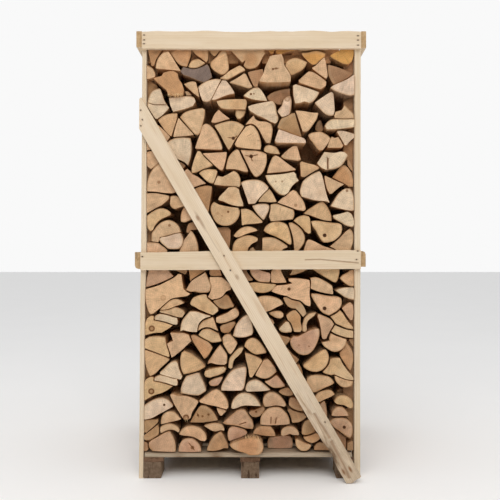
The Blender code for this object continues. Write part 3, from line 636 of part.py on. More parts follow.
def loft_mesh(rings):
    """Closed solid through rings of equal length; each ring turns clockwise seen from the first ring."""
    count = len(rings[0])
    verts = [point for ring in rings for point in ring]
    faces = [tuple(range(count))]
    for r in range(len(rings) - 1):
        for i in range(count):
            j = (i + 1) % count
            a = r * count
            b = a + count
            faces.append((a + j, a + i, b + i, b + j))
    faces.append(tuple(reversed(range((len(rings) - 1) * count, len(rings) * count))))
    return verts, faces


def turned_outward(verts, faces):
    """Reverse all faces where the mesh is inside out."""
    volume = 0.0
    for face in faces:
        a = Vector(verts[face[0]])
        for k in range(1, len(face) - 1):
            volume += a.dot(Vector(verts[face[k]]).cross(Vector(verts[face[k + 1]])))
    if volume < 0.0:
        faces = [tuple(reversed(face)) for face in faces]
    return verts, faces


def post_mesh(profile, y_low, y_high):
    """A post whose faces follow the profile up its height."""
    rings = []
    for height, outer, inner in profile:
        x_low = min(outer, inner) * CM
        x_high = max(outer, inner) * CM
        z = height * CM
        rings.append([(x_low, y_low, z), (x_low, y_high, z), (x_high, y_high, z), (x_high, y_low, z)])
    return turned_outward(*loft_mesh(rings))


def rail_mesh(outline, y_low, y_high):
    """A board lying across the crate, cut to an outline in cm."""
    rings = []
    for y in (y_low, y_high):
        rings.append([(x * CM, y, z * CM) for x, z in outline])
    return turned_outward(*loft_mesh(rings))


def brace_stand_off(z):
    """Distance in metres from the posts' front to the back of the brace at a height in metres."""
    height = z / CM
    upper = BRACE_STAND_OFF[0]
    for lower in BRACE_STAND_OFF[1:]:
        if height >= lower[0]:
            share = (upper[0] - height) / (upper[0] - lower[0])
            return (upper[1] + share * (lower[1] - upper[1])) * MM
        upper = lower
    return upper[1] * MM


def brace_mesh():
    """The diagonal board, slightly bowed over the middle rail, with its cut ends."""
    flat = []
    for left, right in zip(BRACE_LEFT_EDGE, BRACE_RIGHT_EDGE):
        flat.append(left)
        flat.append(right)
    flat.append(BRACE_TOP_CORNER)
    flat.extend(BRACE_FOOT)
    count = len(flat)
    verts = []
    for thickness in (BRACE_THICKNESS, 0.0):
        for x, z in flat:
            y = -HALF - brace_stand_off(z * CM) - thickness
            verts.append((x * CM, y, z * CM))
    last = 2 * (len(BRACE_LEFT_EDGE) - 1)
    corner = last + 2
    foot = [corner + 1, corner + 2, corner + 3]
    front = [(0, 1, corner)]
    for a in range(0, last, 2):
        front.append((a, a + 2, a + 3, a + 1))
    front.append((last, foot[0], foot[1], foot[2], last + 1))
    rim = [corner] + list(range(0, last + 1, 2)) + foot + list(range(last + 1, 0, -2))
    faces = list(front)
    for face in front:
        faces.append(tuple(v + count for v in reversed(face)))
    for i, a in enumerate(rim):
        b = rim[(i + 1) % len(rim)]
        faces.append((b, a, a + count, b + count))
    return turned_outward(verts, faces)


def log_outline(entry):
    """Depth and corner points in metres of one log end, with the view's perspective taken out."""
    depth = entry[0] * MM
    share = (EYE_DISTANCE - DEPTH_SHARE * depth) / EYE_DISTANCE
    points = []
    for x, z in zip(entry[1::2], entry[2::2]):
        x_real = x * CM * share
        z_real = EYE_HEIGHT + (z * CM - EYE_HEIGHT) * share
        x_real = max(-SIDE_LIMIT, min(SIDE_LIMIT, x_real))
        points.append((x_real, max(STACK_BOTTOM + GAP, z_real)))
    area = 0.0
    for (x0, z0), (x1, z1) in zip(points, points[1:] + points[:1]):
        area += x0 * z1 - x1 * z0
    if area < 0.0:
        points.reverse()
    return depth, points


def off_line(point, start, end):
    """Distance of a point from the line through start and end."""
    dx = end[0] - start[0]
    dz = end[1] - start[1]
    length = math.hypot(dx, dz)
    if length == 0.0:
        return math.hypot(point[0] - start[0], point[1] - start[1])
    return abs(dx * (point[1] - start[1]) - dz * (point[0] - start[0])) / length


def coarse(points, tolerance):
    """The outline with its least corners left out, one after another, down to three at the least."""
    kept = list(points)
    while len(kept) > 3:
        offs = []
        for i in range(len(kept)):
            offs.append(off_line(kept[i], kept[i - 1], kept[(i + 1) % len(kept)]))
        least = min(offs)
        if least > tolerance:
            break
        kept.pop(offs.index(least))
    return kept


def front_limit(points):
    """How far a log end may stand out where a rail or the brace passes in front of it."""
    limit = 1.0
    low_z = min(z for x, z in points)
    high_z = max(z for x, z in points)
    for rail in (FRONT_TOP_RAIL, FRONT_MID_RAIL):
        rail_low = min(z for x, z in rail) * CM
        rail_high = max(z for x, z in rail) * CM
        if high_z > rail_low and low_z < rail_high:
            limit = min(limit, -0.001)
    top_left, bottom_left = BRACE_LEFT_EDGE[0], BRACE_LEFT_EDGE[-1]
    top_right, bottom_right = BRACE_RIGHT_EDGE[0], BRACE_RIGHT_EDGE[-1]
    sides = set()
    for x, z in points:
        left = side_of(x / CM, z / CM, top_left, bottom_left)
        right = side_of(x / CM, z / CM, top_right, bottom_right)
        if left > 0.0 and right < 0.0:
            sides.add("behind")
            limit = min(limit, brace_stand_off(z) - 0.002)
        else:
            sides.add("left" if left <= 0.0 else "right")
    if "left" in sides and "right" in sides:
        limit = min(limit, brace_stand_off(high_z) - 0.002)
    return limit


def side_of(x, z, start, end):
    """Positive where the point lies to the right of the line that runs down from start to end."""
    return (end[1] - start[1]) * (start[0] - x) - (end[0] - start[0]) * (start[1] - z)


def rank_mesh(ends, tolerance):
    """The front rank as one solid: a core slab with every log end standing out of it.

    All y values are distances forward of the posts' front plane until the last lines.
    """
    outlines = [[(-CORE_HALF_WIDTH, STACK_BOTTOM), (CORE_HALF_WIDTH, STACK_BOTTOM)] + list(CORE_TOP)]
    forward = [-CORE_SET_BACK]
    for depth, points in ends:
        outlines.append(coarse(points, tolerance))
        forward.append(max(-DEEPEST_CAP, min(depth, front_limit(points))))
    flat = []
    loops = []
    for outline in outlines:
        loops.append(list(range(len(flat), len(flat) + len(outline))))
        flat.extend(Vector(point) for point in outline)
    flat, _, triangles, _, _, owners = delaunay_2d_cdt(flat, [], loops, 1, 1e-6)
    level = []
    for owner in owners:
        level.append(forward[max(owner)])
    back = -LOG_LENGTH + 0.0002
    edge_level = {}
    for triangle, height in zip(triangles, level):
        for a, b in zip(triangle, triangle[1:] + triangle[:1]):
            edge_level[(a, b)] = height
    steps = {}
    for (a, b), height in edge_level.items():
        other = edge_level.get((b, a), back)
        for corner in (a, b):
            steps.setdefault(corner, set()).update((height, other))
    index = {}
    verts = []

    def vertex(corner, height):
        key = (corner, round(height, 6))
        if key not in index:
            index[key] = len(verts)
            verts.append((flat[corner][0], height, flat[corner][1]))
        return index[key]

    faces = []
    for triangle, height in zip(triangles, level):
        faces.append(tuple(vertex(corner, height) for corner in triangle))
    for (a, b), height in edge_level.items():
        other = edge_level.get((b, a), back)
        if height - other < 1e-6:
            continue
        left = sorted((h for h in steps[a] if other <= h <= height), reverse=True)
        right = sorted((h for h in steps[b] if other <= h <= height), reverse=True)
        i = 0
        j = 0
        while i < len(left) - 1 or j < len(right) - 1:
            step_left = j == len(right) - 1 or (i < len(left) - 1 and left[i + 1] >= right[j + 1])
            if step_left:
                faces.append((vertex(b, right[j]), vertex(a, left[i]), vertex(a, left[i + 1])))
                i += 1
            else:
                faces.append((vertex(b, right[j]), vertex(a, left[i]), vertex(b, right[j + 1])))
                j += 1
    following = {a: b for a, b in edge_level if (b, a) not in edge_level}
    while following:
        corner, after = following.popitem()
        loop = [corner]
        while after != loop[0]:
            loop.append(after)
            after = following.pop(after)
        faces.append(tuple(vertex(corner, back) for corner in reversed(loop)))
    verts = [(x, -HALF - height, z) for x, height, z in verts]
    return turned_outward(verts, faces)


def upside_down(ends):
    """The same log ends turned over top to bottom, and set on the deck again."""
    lowest = min(z for depth, points in ends for x, z in points)
    highest = max(z for depth, points in ends for x, z in points)
    turned = []
    for depth, points in ends:
        turned.append((depth, [(x, lowest + highest - z) for x, z in reversed(points)]))
    return turned


def build_pallet(parent):
    """Blocks on the floor, stringers front to back over them, deck boards across."""
    rows = ("front", "middle", "back")
    columns = ("left", "centre", "right")
    row_y = ((-0.4995, -0.4995 + BLOCK_LENGTH), (-BLOCK_LENGTH / 2, BLOCK_LENGTH / 2),
             (0.4995 - BLOCK_LENGTH, 0.4995))
    for row, (y_low, y_high) in zip(rows, row_y):
        for column, (x_low, x_high) in zip(columns, BLOCK_X):
            verts, faces = box_mesh((x_low, y_low, 0.0), (x_high, y_high, BLOCK_HEIGHT))
            add_part("block_" + row + "_" + column, verts, faces, PINE_GREY, parent)
    for column, (x_low, x_high) in zip(columns, STRINGER_X):
        verts, faces = box_mesh((x_low, -0.4997, BLOCK_HEIGHT + GAP), (x_high, 0.4997, STRINGER_TOP))
        add_part("stringer_" + column, verts, faces, PINE_GREY, parent)
    for number, (y_low, y_high) in enumerate(DECK_BOARDS, start=1):
        low = (DECK_ENDS[0], y_low, STRINGER_TOP + GAP)
        high = (DECK_ENDS[1], y_high, DECK_TOP)
        verts, faces = box_mesh(low, high)
        add_part("deck_board_" + str(number), verts, faces, PINE_PALE, parent)


def build_crate(parent):
    """Posts, rails and braces; the back half is the front half mirrored or turned round."""
    front_y = (-HALF, -HALF + POST_WIDTH)
    middle_y = (-MIDDLE_POST_WIDTH / 2, MIDDLE_POST_WIDTH / 2)
    rail_y = (-HALF - GAP - RAIL_THICKNESS, -HALF - GAP)
    corner_posts = (("left", FRONT_LEFT_POST), ("right", FRONT_RIGHT_POST))
    for side, profile in corner_posts:
        verts, faces = post_mesh(profile, *front_y)
        add_part("post_front_" + side, verts, faces, PINE_PALE, parent)
        add_part("post_back_" + side, *mirrored_back(verts, faces), PINE_PALE, parent)
    add_part("post_middle_left", *post_mesh(MIDDLE_LEFT_POST, *middle_y), PINE_PALE, parent)
    add_part("post_middle_right", *post_mesh(MIDDLE_RIGHT_POST, *middle_y), PINE_PALE, parent)
    front_boards = (
        ("rail_top", rail_mesh(FRONT_TOP_RAIL, *rail_y)),
        ("rail_mid", rail_mesh(FRONT_MID_RAIL, *rail_y)),
        ("brace", brace_mesh()),
    )
    for name, (verts, faces) in front_boards:
        add_part(name + "_front", verts, faces, PINE_PALE, parent)
        add_part(name + "_back", *turned_round(verts, faces), PINE_PALE, parent)
    for name, x_low, x_high, z_low, z_high in SIDE_RAILS:
        low = (x_low * CM, -HALF, z_low * CM)
        high = (x_high * CM, HALF, z_high * CM)
        add_part(name, *box_mesh(low, high), PINE_PALE, parent)


def build_firewood(parent):
    """Four ranks of logs, front to back; the outer two show every log end."""
    ends = [log_outline(entry) for entry in LOG_ENDS]
    verts, faces = rank_mesh(ends, FRONT_TOLERANCE)
    add_part("firewood_rank_front", verts, faces, OAK, parent)
    outline = [(-INNER_HALF_WIDTH, STACK_BOTTOM), (INNER_HALF_WIDTH, STACK_BOTTOM)] + list(INNER_TOP)
    inner = (("firewood_rank_second", -LOG_LENGTH, 1.0), ("firewood_rank_third", 0.0, -1.0))
    for name, y, side in inner:
        rings = []
        for y_ring in (y + 0.0002, y + LOG_LENGTH - 0.0002):
            rings.append([(side * x, y_ring, z) for x, z in outline])
        verts, faces = turned_outward(*loft_mesh(rings))
        add_part(name, verts, faces, OAK, parent)
    verts, faces = rank_mesh(upside_down(ends), BACK_TOLERANCE)
    add_part("firewood_rank_back", *turned_round(verts, faces), OAK, parent)


def main():
    clear_scene()
    root = bpy.data.objects.new("firewood_pallet", None)
    bpy.context.scene.collection.objects.link(root)
    build_pallet(root)
    build_crate(root)
    build_firewood(root)


main()
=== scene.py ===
"""Crate pallet of split oak firewood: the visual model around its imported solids."""

import math

import bpy
import bmesh
import numpy as np
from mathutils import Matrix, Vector
from mathutils.geometry import delaunay_2d_cdt
from mathutils import noise as field


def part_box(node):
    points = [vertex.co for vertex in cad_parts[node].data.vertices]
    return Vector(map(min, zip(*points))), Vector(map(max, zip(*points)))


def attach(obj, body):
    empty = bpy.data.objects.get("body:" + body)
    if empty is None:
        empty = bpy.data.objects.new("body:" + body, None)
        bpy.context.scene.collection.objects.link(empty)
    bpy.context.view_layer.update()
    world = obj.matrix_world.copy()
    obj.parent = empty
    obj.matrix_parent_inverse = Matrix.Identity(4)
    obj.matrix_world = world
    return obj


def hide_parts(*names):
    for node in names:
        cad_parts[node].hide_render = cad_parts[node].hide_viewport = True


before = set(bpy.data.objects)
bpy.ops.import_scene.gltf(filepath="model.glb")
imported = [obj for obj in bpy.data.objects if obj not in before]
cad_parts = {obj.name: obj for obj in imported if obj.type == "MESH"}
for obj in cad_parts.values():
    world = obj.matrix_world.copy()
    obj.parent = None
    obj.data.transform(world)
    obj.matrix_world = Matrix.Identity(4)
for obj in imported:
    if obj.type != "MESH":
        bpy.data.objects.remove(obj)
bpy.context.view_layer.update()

MM = 0.001

# ---- The eye: where the photograph was taken from ----
EYE_DISTANCE = 3.0      # in front of the posts' faces
EYE_HEIGHT = 1.09
PICTURE_PX = 500
FOCAL_PX = 630.0
CENTRE_X_PX = 250.5
HORIZON_PX = 249.5
FRONT_Y = -0.5          # the posts' faces

# ---- Log ends of the front rank, traced ----
# One log to an entry: its tone, how far its end stands out of the posts' plane in mm, then x and z
# of its first corner in mm, as seen on that plane, and the step in x and z to each further corner.
# A line that starts with two spaces goes on with the entry above it.
# Tones: p pale, t tan, w warm, o orange, b brown (darker wood with painted shade, for logs seen
# lying in shadow), r reddish, g grey, h honey.
LOG_ENDS = """
o -10 -490 2048 4 22 60 0 6 -22 -17 -28 -15 -25 -8 -29 -12 1 -8 38
t 8 -451 1952 5 28 12 26 19 20 23 6 16 -22 24 -40 19 -30
o 6 -380 2028 20 14 30 20 45 3 3 -30 -10 -40 -11 -32 -22 3 -21 13 -18 23
o 0 -278 2040 18 24 45 2 12 -36 0 -35 -7 -13 -25 20 -25 18
w 6 -295 1958 9 20 14 13 24 5 32 -19 -28 -17 -26 -6
g 4 -332 1938 12 20 20 -5 32 -5 30 7 32 15 7 -10 15 -50 -20 -15 -18 -9 -26 9 -38 16 -36 13
t 0 -493 1966 9 -3 19 -13 12 -26 -4 -12 -18 -6 -18 -4
o 22 -459 1902 39 11 7 14 23 7 25 2 19 -12 4 -24 16 -24 8 -30 -4 -20 -33 -5 -35 5 -8 20 -22 20 -22 20
p 10 -489 1800 7 22 12 21 20 12 18 3 9 -24 11 -34 22 -34 -30 -32 -26 -19 -8 0 -21 32 -17 29
p 6 -387 1812 57 5 44 1 17 -6 7 -18 -12 -20 -36 -13 -58 -14 -14 33
t -6 -317 1878 21 9 20 4 14 -3 10 -32 7 -39 -25 18 -25 23
t -25 -313 1846 15 -1 16 -17 -24 -1
p 8 -248 1863 16 14 30 15 36 8 25 -2 -16 -32 -20 -40 -16 -29 -15 -4 -18 3 -13 30
p 4 -135 1894 18 -1 17 -21 16 -24 8 -15 -28 -5 -31 -11 -30 -12 -20 -2 13 25 20 38
o -5 -196 2036 4 29 44 0 2 -21 -12 -18 -12 -14 -10 6
w 5 -190 1980 10 13 20 17 15 20 15 8 12 -3 8 -25 4 -30 2 -26 -8 -16 -14 -12 -14 -1 -20 10 -20 15 -10 16
o 10 -95 2043 15 23 130 0 18 -26 2 -14 -12 -16 -16 -32 -18 -20 -24 -5 -20 3 -12 11 10 29 -17 -13 -25 27
t 8 -145 1904 21 14 22 19 28 16 22 11 16 -9 11 -13 -29 -14 -32 -18 -27 -11
t 12 -99 1884 39 22 30 21 8 -4 15 -33 16 -28 -19 -5 -40 12
b 4 -12 1933 22 6 30 6 18 3 1 -18 -12 -26 -11 -22 -3 -16 -16 0 -15 32
p 8 -33 1822 23 20 26 16 20 2 14 -12 16 -24 13 -26 -34 2 -37 6 -24 8
t 35 42 1888 6 12 15 28 8 28 15 32 6 16 18 5 37 5 9 -24 5 -30 27 -42 1 -33 -69 -3 -50 1
b -30 79 1820 21 18 30 11 30 7 27 3 1 -32 -20 -6 -16 -15 -4 -22 -24 4 -16 11 -20 4
p 2 157 1804 13 12 18 5 7 -21 -2 -35 -5 -27 -13 -9 -25 -8 -12 15 -9 12 6 10 14 16 4 16
p 10 -11 1769 21 8 35 8 35 7 27 3 11 -19 6 -36 8 -24 -4 -18 -10 -8 -22 9 -32 17 -38 17 -30 19
w 12 -160 1794 30 6 60 4 48 -1 5 -13 -7 -33 -41 1 -53 1 -22 5 -12 14
t -2 -70 1753 45 -2 -7 -23 -14 -13 -16 -1 -8 12
h 0 82 2046 5 19 23 1 5 -26 -9 -17 -10 2
h 20 123 2065 87 5 -1 -29 -34 -5 -29 -11 -24 3
w 0 166 1966 7 18 17 12 25 6 25 -7 28 -13 -4 -14 -14 -18 -25 -16 -30 -13
h 2 243 2026 32 3 31 8 26 -4 26 -10 -4 -13 -24 -18 -18 -18 -14 -3 -22 16 -22 23
w 5 226 2046 4 24 70 10 74 -12 -4 -25 -30 2 -30 3 -36 -7 -34 -1
t -4 293 1954 22 15 19 20 18 17 6 -22 7 -44 2 -25 -6 -10 -31 20
t 6 230 1894 20 19 28 24 22 -6 30 -19 30 -24 -2 -18 -23 -16 -30 7 -40 13 -31 11
p 2 203 1872 13 4 34 -11 50 -17 27 -11 -13 -23 -20 -22 -12 -4 -26 8 -22 -8 -20 -1 -8 33
h 12 379 2013 23 16 30 16 18 21 40 0 2 -46 -9 -32 -17 -14 -18 2 -24 11 -28 15
b -22 370 1972 20 -4 40 -13 38 -16 22 -8 -14 -12 -30 -18 -36 -16 -13 -5 -14 22 -11 28
p 14 380 1858 20 14 36 15 30 15 27 20 0 -96 -23 -4 -40 11 -33 13
p 0 306 1788 24 17 34 23 22 12 8 -8 4 -42 2 -40 -6 -21 -18 -1 -24 11 -24 24
t 6 399 1726 7 19 28 7 15 24 17 -18 22 -22 5 -21 -27 -1 -36 0 -28 2
t 2 -186 1697 13 32 21 26 25 -22 27 -20 -17 -4 -28 -9 -25 -6
w -6 -441 1707 21 16 22 10 26 5 23 1 -4 -29 -14 -45 -11 -35 -10 7 -24 27
t -4 -446 1686 32 -28 30 -31 -12 -17 -29 -28 -25 2 -8 46
t 0 -493 1700 17 -14 10 -56 10 -54 -16 -7 -21 -5
t -6 -493 1554 23 6 30 -8 17 -26 -13 -24 -28 -22 -10 -7 -18 15
t 4 -493 1368 2 36 9 36 16 30 26 25 25 11 20 -46 25 -50 14 -46 -16 -5 -33 1 -45 6
t 0 -379 1343 21 3 23 -11 19 -38 -14 -3 -32 -11 -12 7 -9 14
t 3 -335 1720 19 20 26 11 30 7 30 4 13 -8 -3 -34 -9 -35 -11 -39 -10 -11 -14 4 -37 41
t -6 -343 1716 37 -40 35 -38 -29 -5 -30 -3 -37 -3 4 23 8 30
p 10 -408 1580 15 22 25 15 38 6 43 -2 6 -41 -6 -56 -11 -32 -16 15 -28 13 -24 10 -24 20
t 6 -263 1572 10 32 14 36 11 38 14 10 18 -6 28 -30 21 -42 13 -34 -4 -10 -42 1
t 2 -251 1559 10 -2 21 -27 40 -38 -17 -10 -27 -8 -26 -13 -14 -5 -15 -1 1 25 11 40
t 8 -227 1547 47 2 40 2 26 2 -3 -27 -8 -36 -8 -21 -10 0 -13 10 -16 13 -28 28
t 2 -244 1453 20 14 30 5 31 -3 4 -9 -7 -24 -11 -30 -17 2 -24 17
t -8 -325 1442 14 25 9 7 14 -12 13 -14 22 -11 40 -32 -31 -8 -32 -11 -24 2
b -12 -354 1512 21 -5 21 -16 -5 -8 -10 -13 -17 14
b 6 -273 1370 19 13 40 10 29 -3 -3 -34 -8 -52 -6 -40 -18 8 -30 43
t 3 -171 1680 31 12 40 9 28 -2 26 -11 15 -11 -22 -35 -24 -34 -16 -30 -11 -12 -16 26 -25 48
t 6 -74 1590 12 26 20 30 21 28 21 7 16 -5 17 -24 12 -32 5 -34 -3 -19 -47 3 -40 5 -26 5
t -3 -23 1685 17 21 20 21 9 -17 17 -9 35 -3 23 -10 7 -23 -4 -35 -7 -31 -17 0 -16 25 -18 34 -18 23 -19 10 -18
  -2
t 5 -46 1563 36 -2 40 -2 30 -7 16 -9 1 -29 -6 -28 -16 -32 -23 -17 -11 2 -18 24 -18 36 -18 37
t 0 -66 1567 10 -5 12 -29 21 -42 11 -29 -18 0 -40 11 -48 2 7 33 9 25 18 22
t -5 -173 1401 9 25 8 14 24 -5 28 15 25 14 17 -11 12 -23 2 -31 -7 -10 -25 4 -40 2
t 6 -104 1386 28 2 19 -10 8 -32 13 -36 1 -12 -25 -1 -36 8 -34 15 -23 6 7 16 22 22
p 3 -44 1408 14 8 30 5 32 0 28 -10 25 -22 -3 -11 -27 -27 -22 -26 -11 -15 -31 -2 -10 32 -16 44
t -3 90 1377 15 -21 14 -28 5 -10 -24 -2 -40 2 -22 0 5 10 21 25
t 0 72 1582 13 5 20 -3 18 -8 11 -17 6 -13 -25 1 -25 3 -25 9 0 11
t 6 79 1454 6 24 10 28 10 22 11 9 18 -6 20 -16 26 -20 26 -18 10 -7 -22 -4 -54 -7
p 12 71 1442 39 2 50 5 47 9 9 -10 1 -14 12 -16 -21 -14 -18 -22 -12 -22 -18 -11 -20 3 -21 17 -20 24 -18 24
p 30 116 1606 8 24 10 28 24 -7 32 -13 34 -11 29 -10 8 -11 0 -11 -61 1 -78 1
b 8 129 1672 10 26 11 15 26 11 20 13 14 2 9 -33 12 -40 11 -39 -18 5 -34 12 -32 13 -22 7
t 4 215 1750 35 -2 40 -7 33 -1 -8 -28 -15 -23 -24 -32 -18 -7 -10 4 -11 34 -13 38
b -60 314 1684 11 22 10 6 10 -26 2 -26 -19 -2 -16 6
t -6 275 1635 15 10 20 4 25 2 15 -7 20 -12 9 -10 -6 -17 -13 -21 -15 -18 -15 -4 -12 9 -13 19 -9 13 -11 12
p 16 353 1678 12 17 22 13 33 1 40 0 33 1 0 -37 -53 -7 -40 -4 -37 -1
p 4 412 1653 22 2 30 -7 29 -9 0 -15 -19 -17 -18 -21 -8 3 -13 25 -15 24
t -8 382 1619 6 8 14 -6 16 5 12 -18 12 -24 -6 -8 -69 0 7 22
p 8 352 1553 48 -4 30 6 20 -4 13 -14 -8 -13 -14 -25 -21 -18 -30 -8 -30 -4 -23 12 -19 19 12 19
w -10 236 1506 8 3 30 -9 30 -7 23 -11 0 -5 -23 -13 -30 -18 -16 -10 -17 4 -1 26
t 10 146 1532 11 12 23 21 22 16 19 -1 7 -24 11 -40 -13 -3 -40 5 -28 5
p 12 326 1462 -28 -12 -28 -18 -19 -17 -10 -25 -5 -26 5 -19 29 -10 44 -11 46 -4 15 -7 -10 24 -10 37 -7 36 -11
  37
t 0 354 1441 28 -13 32 -15 31 -13 -20 -11 -22 -18 -17 -15 -10 1 -12 25 -8 32
o -15 392 1435 17 21 21 29 18 7 17 -13 16 -25 9 -40 -2 -25 -20 2 -14 12 -33 16
b -12 463 1523 9 -9 12 -24 3 -26 -10 10 -13 20
p 8 382 1298 15 24 16 26 16 17 19 13 25 2 13 -21 6 -39 0 -44 -32 2 -40 9
t 2 130 1314 21 20 21 13 16 16 16 10 13 -6 12 -16 18 -23 10 -22 6 -25 -10 -6 -33 6 -34 13 -36 13
t 2 -493 1356 38 1 37 -6 30 -6 -1 -13 -19 -17 -18 -14 -22 -11 -22 -12 -23 -13
w 6 -492 1250 16 12 20 13 22 9 20 1 20 -8 14 -12 -2 -10 -18 -8 -24 -11 -20 -16 -13 -18 -8 -18 -11 -6 -10 9
  -6 23
t 0 -471 1130 2 36 12 18 15 20 22 17 24 8 22 -3 20 -12 14 -18 7 -23 -31 -6 -36 -11 -32 -6 -7 -24
p 6 -435 1137 11 11 26 3 34 11 32 6 8 -16 4 -22 -10 -26 -13 -11 -42 0 -14 7 -14 12 -14 13
t -2 -492 1123 27 0 25 -3 14 -10 17 -12 11 -10 -2 -28 -92 0
t 2 -284 1180 14 -17 13 -31 7 -32 1 -34 -91 0 5 26 10 16 9 26 16 21
b -6 -304 1172 1 18 9 23 18 7 26 -10 -2 -22 -20 -3 -12 0 -12 -16
t 0 -330 1223 -2 23 5 24 9 19 22 -3 22 -26 2 -20 -16 -10 -28 -10
r -4 -492 912 3 38 7 40 2 34 85 0 3 -32 12 -17 12 -12 -32 -17 -40 -17 -30 -11
b -10 -362 1020 1 -24 11 -8 23 -10 15 -6 7 10 -1 38
o -12 -293 1020 0 -30 4 -28 2 -22 13 13 28 17 26 17 12 10 2 23
o -10 -195 975 2 19 1 28 36 0 13 -40 6 -17 -33 0 -20 1
w 12 -188 1274 3 27 11 14 26 -13 34 -8 34 -5 22 -2 6 -13 -2 -22 -11 -21 -18 -17 -21 -9 -26 -1 -24 9 -19 20
w 3 -45 1282 29 0 24 -11 17 -16 20 -19 13 -13 -4 -5 -34 -4 -40 -3 -20 -5 -2 34
p 8 9 1297 27 8 34 2 17 -6 2 -15 -8 -22 -12 -23 -5 -9 -6 2 -21 21 -15 19
t 0 97 1304 27 3 32 -11 47 -17 5 -11 -1 -22 -6 -11 -41 -4 -50 -5 -12 0 -9 20 6 30
w 6 -80 1156 20 23 20 14 25 6 25 -4 20 -10 2 -5 -22 -6 -30 -9 -30 -13 -18 -4
w 0 -86 1068 3 40 13 25 20 14 24 8 22 2 24 -6 16 -9 -5 -12 -25 -13 -18 -20 -4 -29
t -20 -9 1068 8 26 12 7 12 -15 3 -18
t 4 57 1068 1 77 26 3 30 -4 30 -15 30 -20 2 -8 -22 -9 -10 -24
w 10 64 1180 7 17 16 14 19 8 28 3 26 -7 15 -12 9 -23 6 -25 4 -23 -2 -18 -9 1 -29 19 -34 18 -30 12 -17 9
w 2 184 1217 12 1 19 -9 19 -15 14 -18 9 -21 1 -20 -7 -20 -12 -17 -11 -14 -2 -16 -16 0 -1 36 -5 36 -8 34 -9
  26
w 8 206 1227 16 15 28 10 27 -5 6 -17 2 -30 1 -32 -9 -2 -16 11 -7 9 -18 18 -18 14
w -2 255 1262 20 18 25 16 30 19 16 2 16 -18 12 -21 9 -23 3 -29 -36 4 -40 14 -30 12 -18 2
t 10 289 1223 16 3 25 -1 30 -5 30 -4 30 -2 13 -9 2 -20 -6 -21 -15 -18 -19 -14 -25 -7 -20 -1 -10 8 -13 19 -16
  30 -16 23
p 10 394 1252 36 8 32 9 17 -10 10 -24 3 -25 -7 -12 -9 0 -26 9 -17 11 -21 11 -16 10
t 0 380 1104 20 18 20 17 20 20 20 20 14 9 11 -13 5 -25 -3 -30 -8 -24 -3 -28 -56 0 -18 25
t 2 252 1068 6 28 9 28 9 13 18 -4 26 -13 26 -14 28 -9 23 -8 13 -21
b -12 -46 984 8 9 4 29 14 0 2 -35 15 -24 14 -18 -6 -4 -21 0 -24 -1
r 0 -4 1022 3 -37 10 -21 18 -18 19 -10 43 -2 6 21 -2 20 -7 4 -26 6 -30 12 -4 25
w 2 100 986 9 10 1 26 32 0 1 -26 10 -26 12 -24 6 -13 -41 -2 -30 3 -1 20
w 6 -12 928 32 4 26 -2 34 -4 41 -2 -8 -16 -18 -14 -23 -8 -22 -2 -26 5 -17 8 -11 11
w -15 189 968 11 22 3 32 61 0 4 -27 -12 -8 -30 -12 -22 -5
w -6 286 1022 9 -25 15 -10 30 -19 30 -18 27 -15 9 -1 8 9 6 22 4 27 2 30
t 0 287 955 27 2 26 -10 30 -17 17 -12 4 -18 1 -22 -36 5 -36 9 -33 13 3 25
w -8 427 954 14 15 23 12 12 10 16 2 0 -77 -16 -1 -20 11 -16 13
b -14 -170 1190 40 6 25 -2 9 -14 -2 -50 -6 -40 -2 -22 -34 0 -44 52
t 6 -493 900 53 17 40 19 36 19 19 17 15 -1 4 -31 6 -38 13 -13 19 -10 -12 -9 -30 -5 -30 -4 -20 -6 -26 -21 -30
  -27 -24 -21 -12 -3 -11 27 -8 40
t 2 -284 934 24 19 30 17 14 12 9 -18 11 -28 7 -16 -4 -26 -11 -8 -36 -1 -26 6 -18 -2 -21 9
t 0 -193 958 53 0 25 -18 20 -20 1 -20 -23 -10 -13 -18 -20 -13 -32 -7 -20 12 12 24 4 30 -8 22
w 6 -287 834 7 15 10 12 20 9 30 7 10 -4 2 -13 17 -17 17 -15 18 -18 2 -12 -14 -12 -12 -7 -24 9 -20 9 -22 9
  -18 12 -19 8
b -4 -178 844 18 6 16 4 14 10 14 10 10 -6 11 -17 10 -19 6 -10 -3 -6 -14 -2 -19 -6 -15 0 -18 6 -16 14
t 8 -163 750 1 16 22 9 25 10 15 9 15 12 15 4 10 -10 5 -10 -1 -11 -12 -13 -22 -12 -30 -11 -28 -3 -13 4
b -6 -144 716 1 6 9 9 24 7 25 8 10 -2 3 -7 -7 -13 -12 -14 -6 -11 -9 -6 -24 0 -9 7
p 10 -291 793 31 1 32 -10 38 -11 -14 -4 -27 -13 -18 -24 -6 -34 -35 2 -32 8 -11 -6 2 24 8 27 14 19
t -2 -244 727 17 21 27 13 20 6 8 -19 9 -28 8 -17 -41 17 -33 -3 -20 -13
t 0 -247 682 5 10 16 16 29 3 43 -21 9 -20 7 -16 -12 -3 -33 -3 -17 8 -24 12
o -6 -285 680 17 2 15 -7 28 -14 24 -13 11 -12 9 -14 -9 -17 -16 -25 -14 -10 -21 32 -20 30 -13 20
t 4 -381 693 21 -2 20 0 20 1 26 -9 3 -10 8 -19 -17 -15 -20 -20 -20 -17 -20 -16 -15 -10 -7 23 -9 25 -5 17 10
  6 18 6 -5 19
w 6 -493 621 0 40 17 12 40 4 29 -6 3 -21 5 -24 10 -30 2 -17 -27 8 -42 18
w 3 -493 611 39 -15 42 -17 22 -9 2 -6 -19 -18 -20 -18 -14 -17 -17 -16 -14 -7 -7 18 -10 34 -3 40
w 2 -431 804 21 19 20 18 20 11 20 2 20 -8 13 -10 -17 -7 -26 -9 -24 -10 -26 -6
t 0 -433 793 5 6 22 1 26 6 20 8 20 -4 20 -10 8 -12 -7 -10 -7 -10 -20 1 -34 10 -30 8
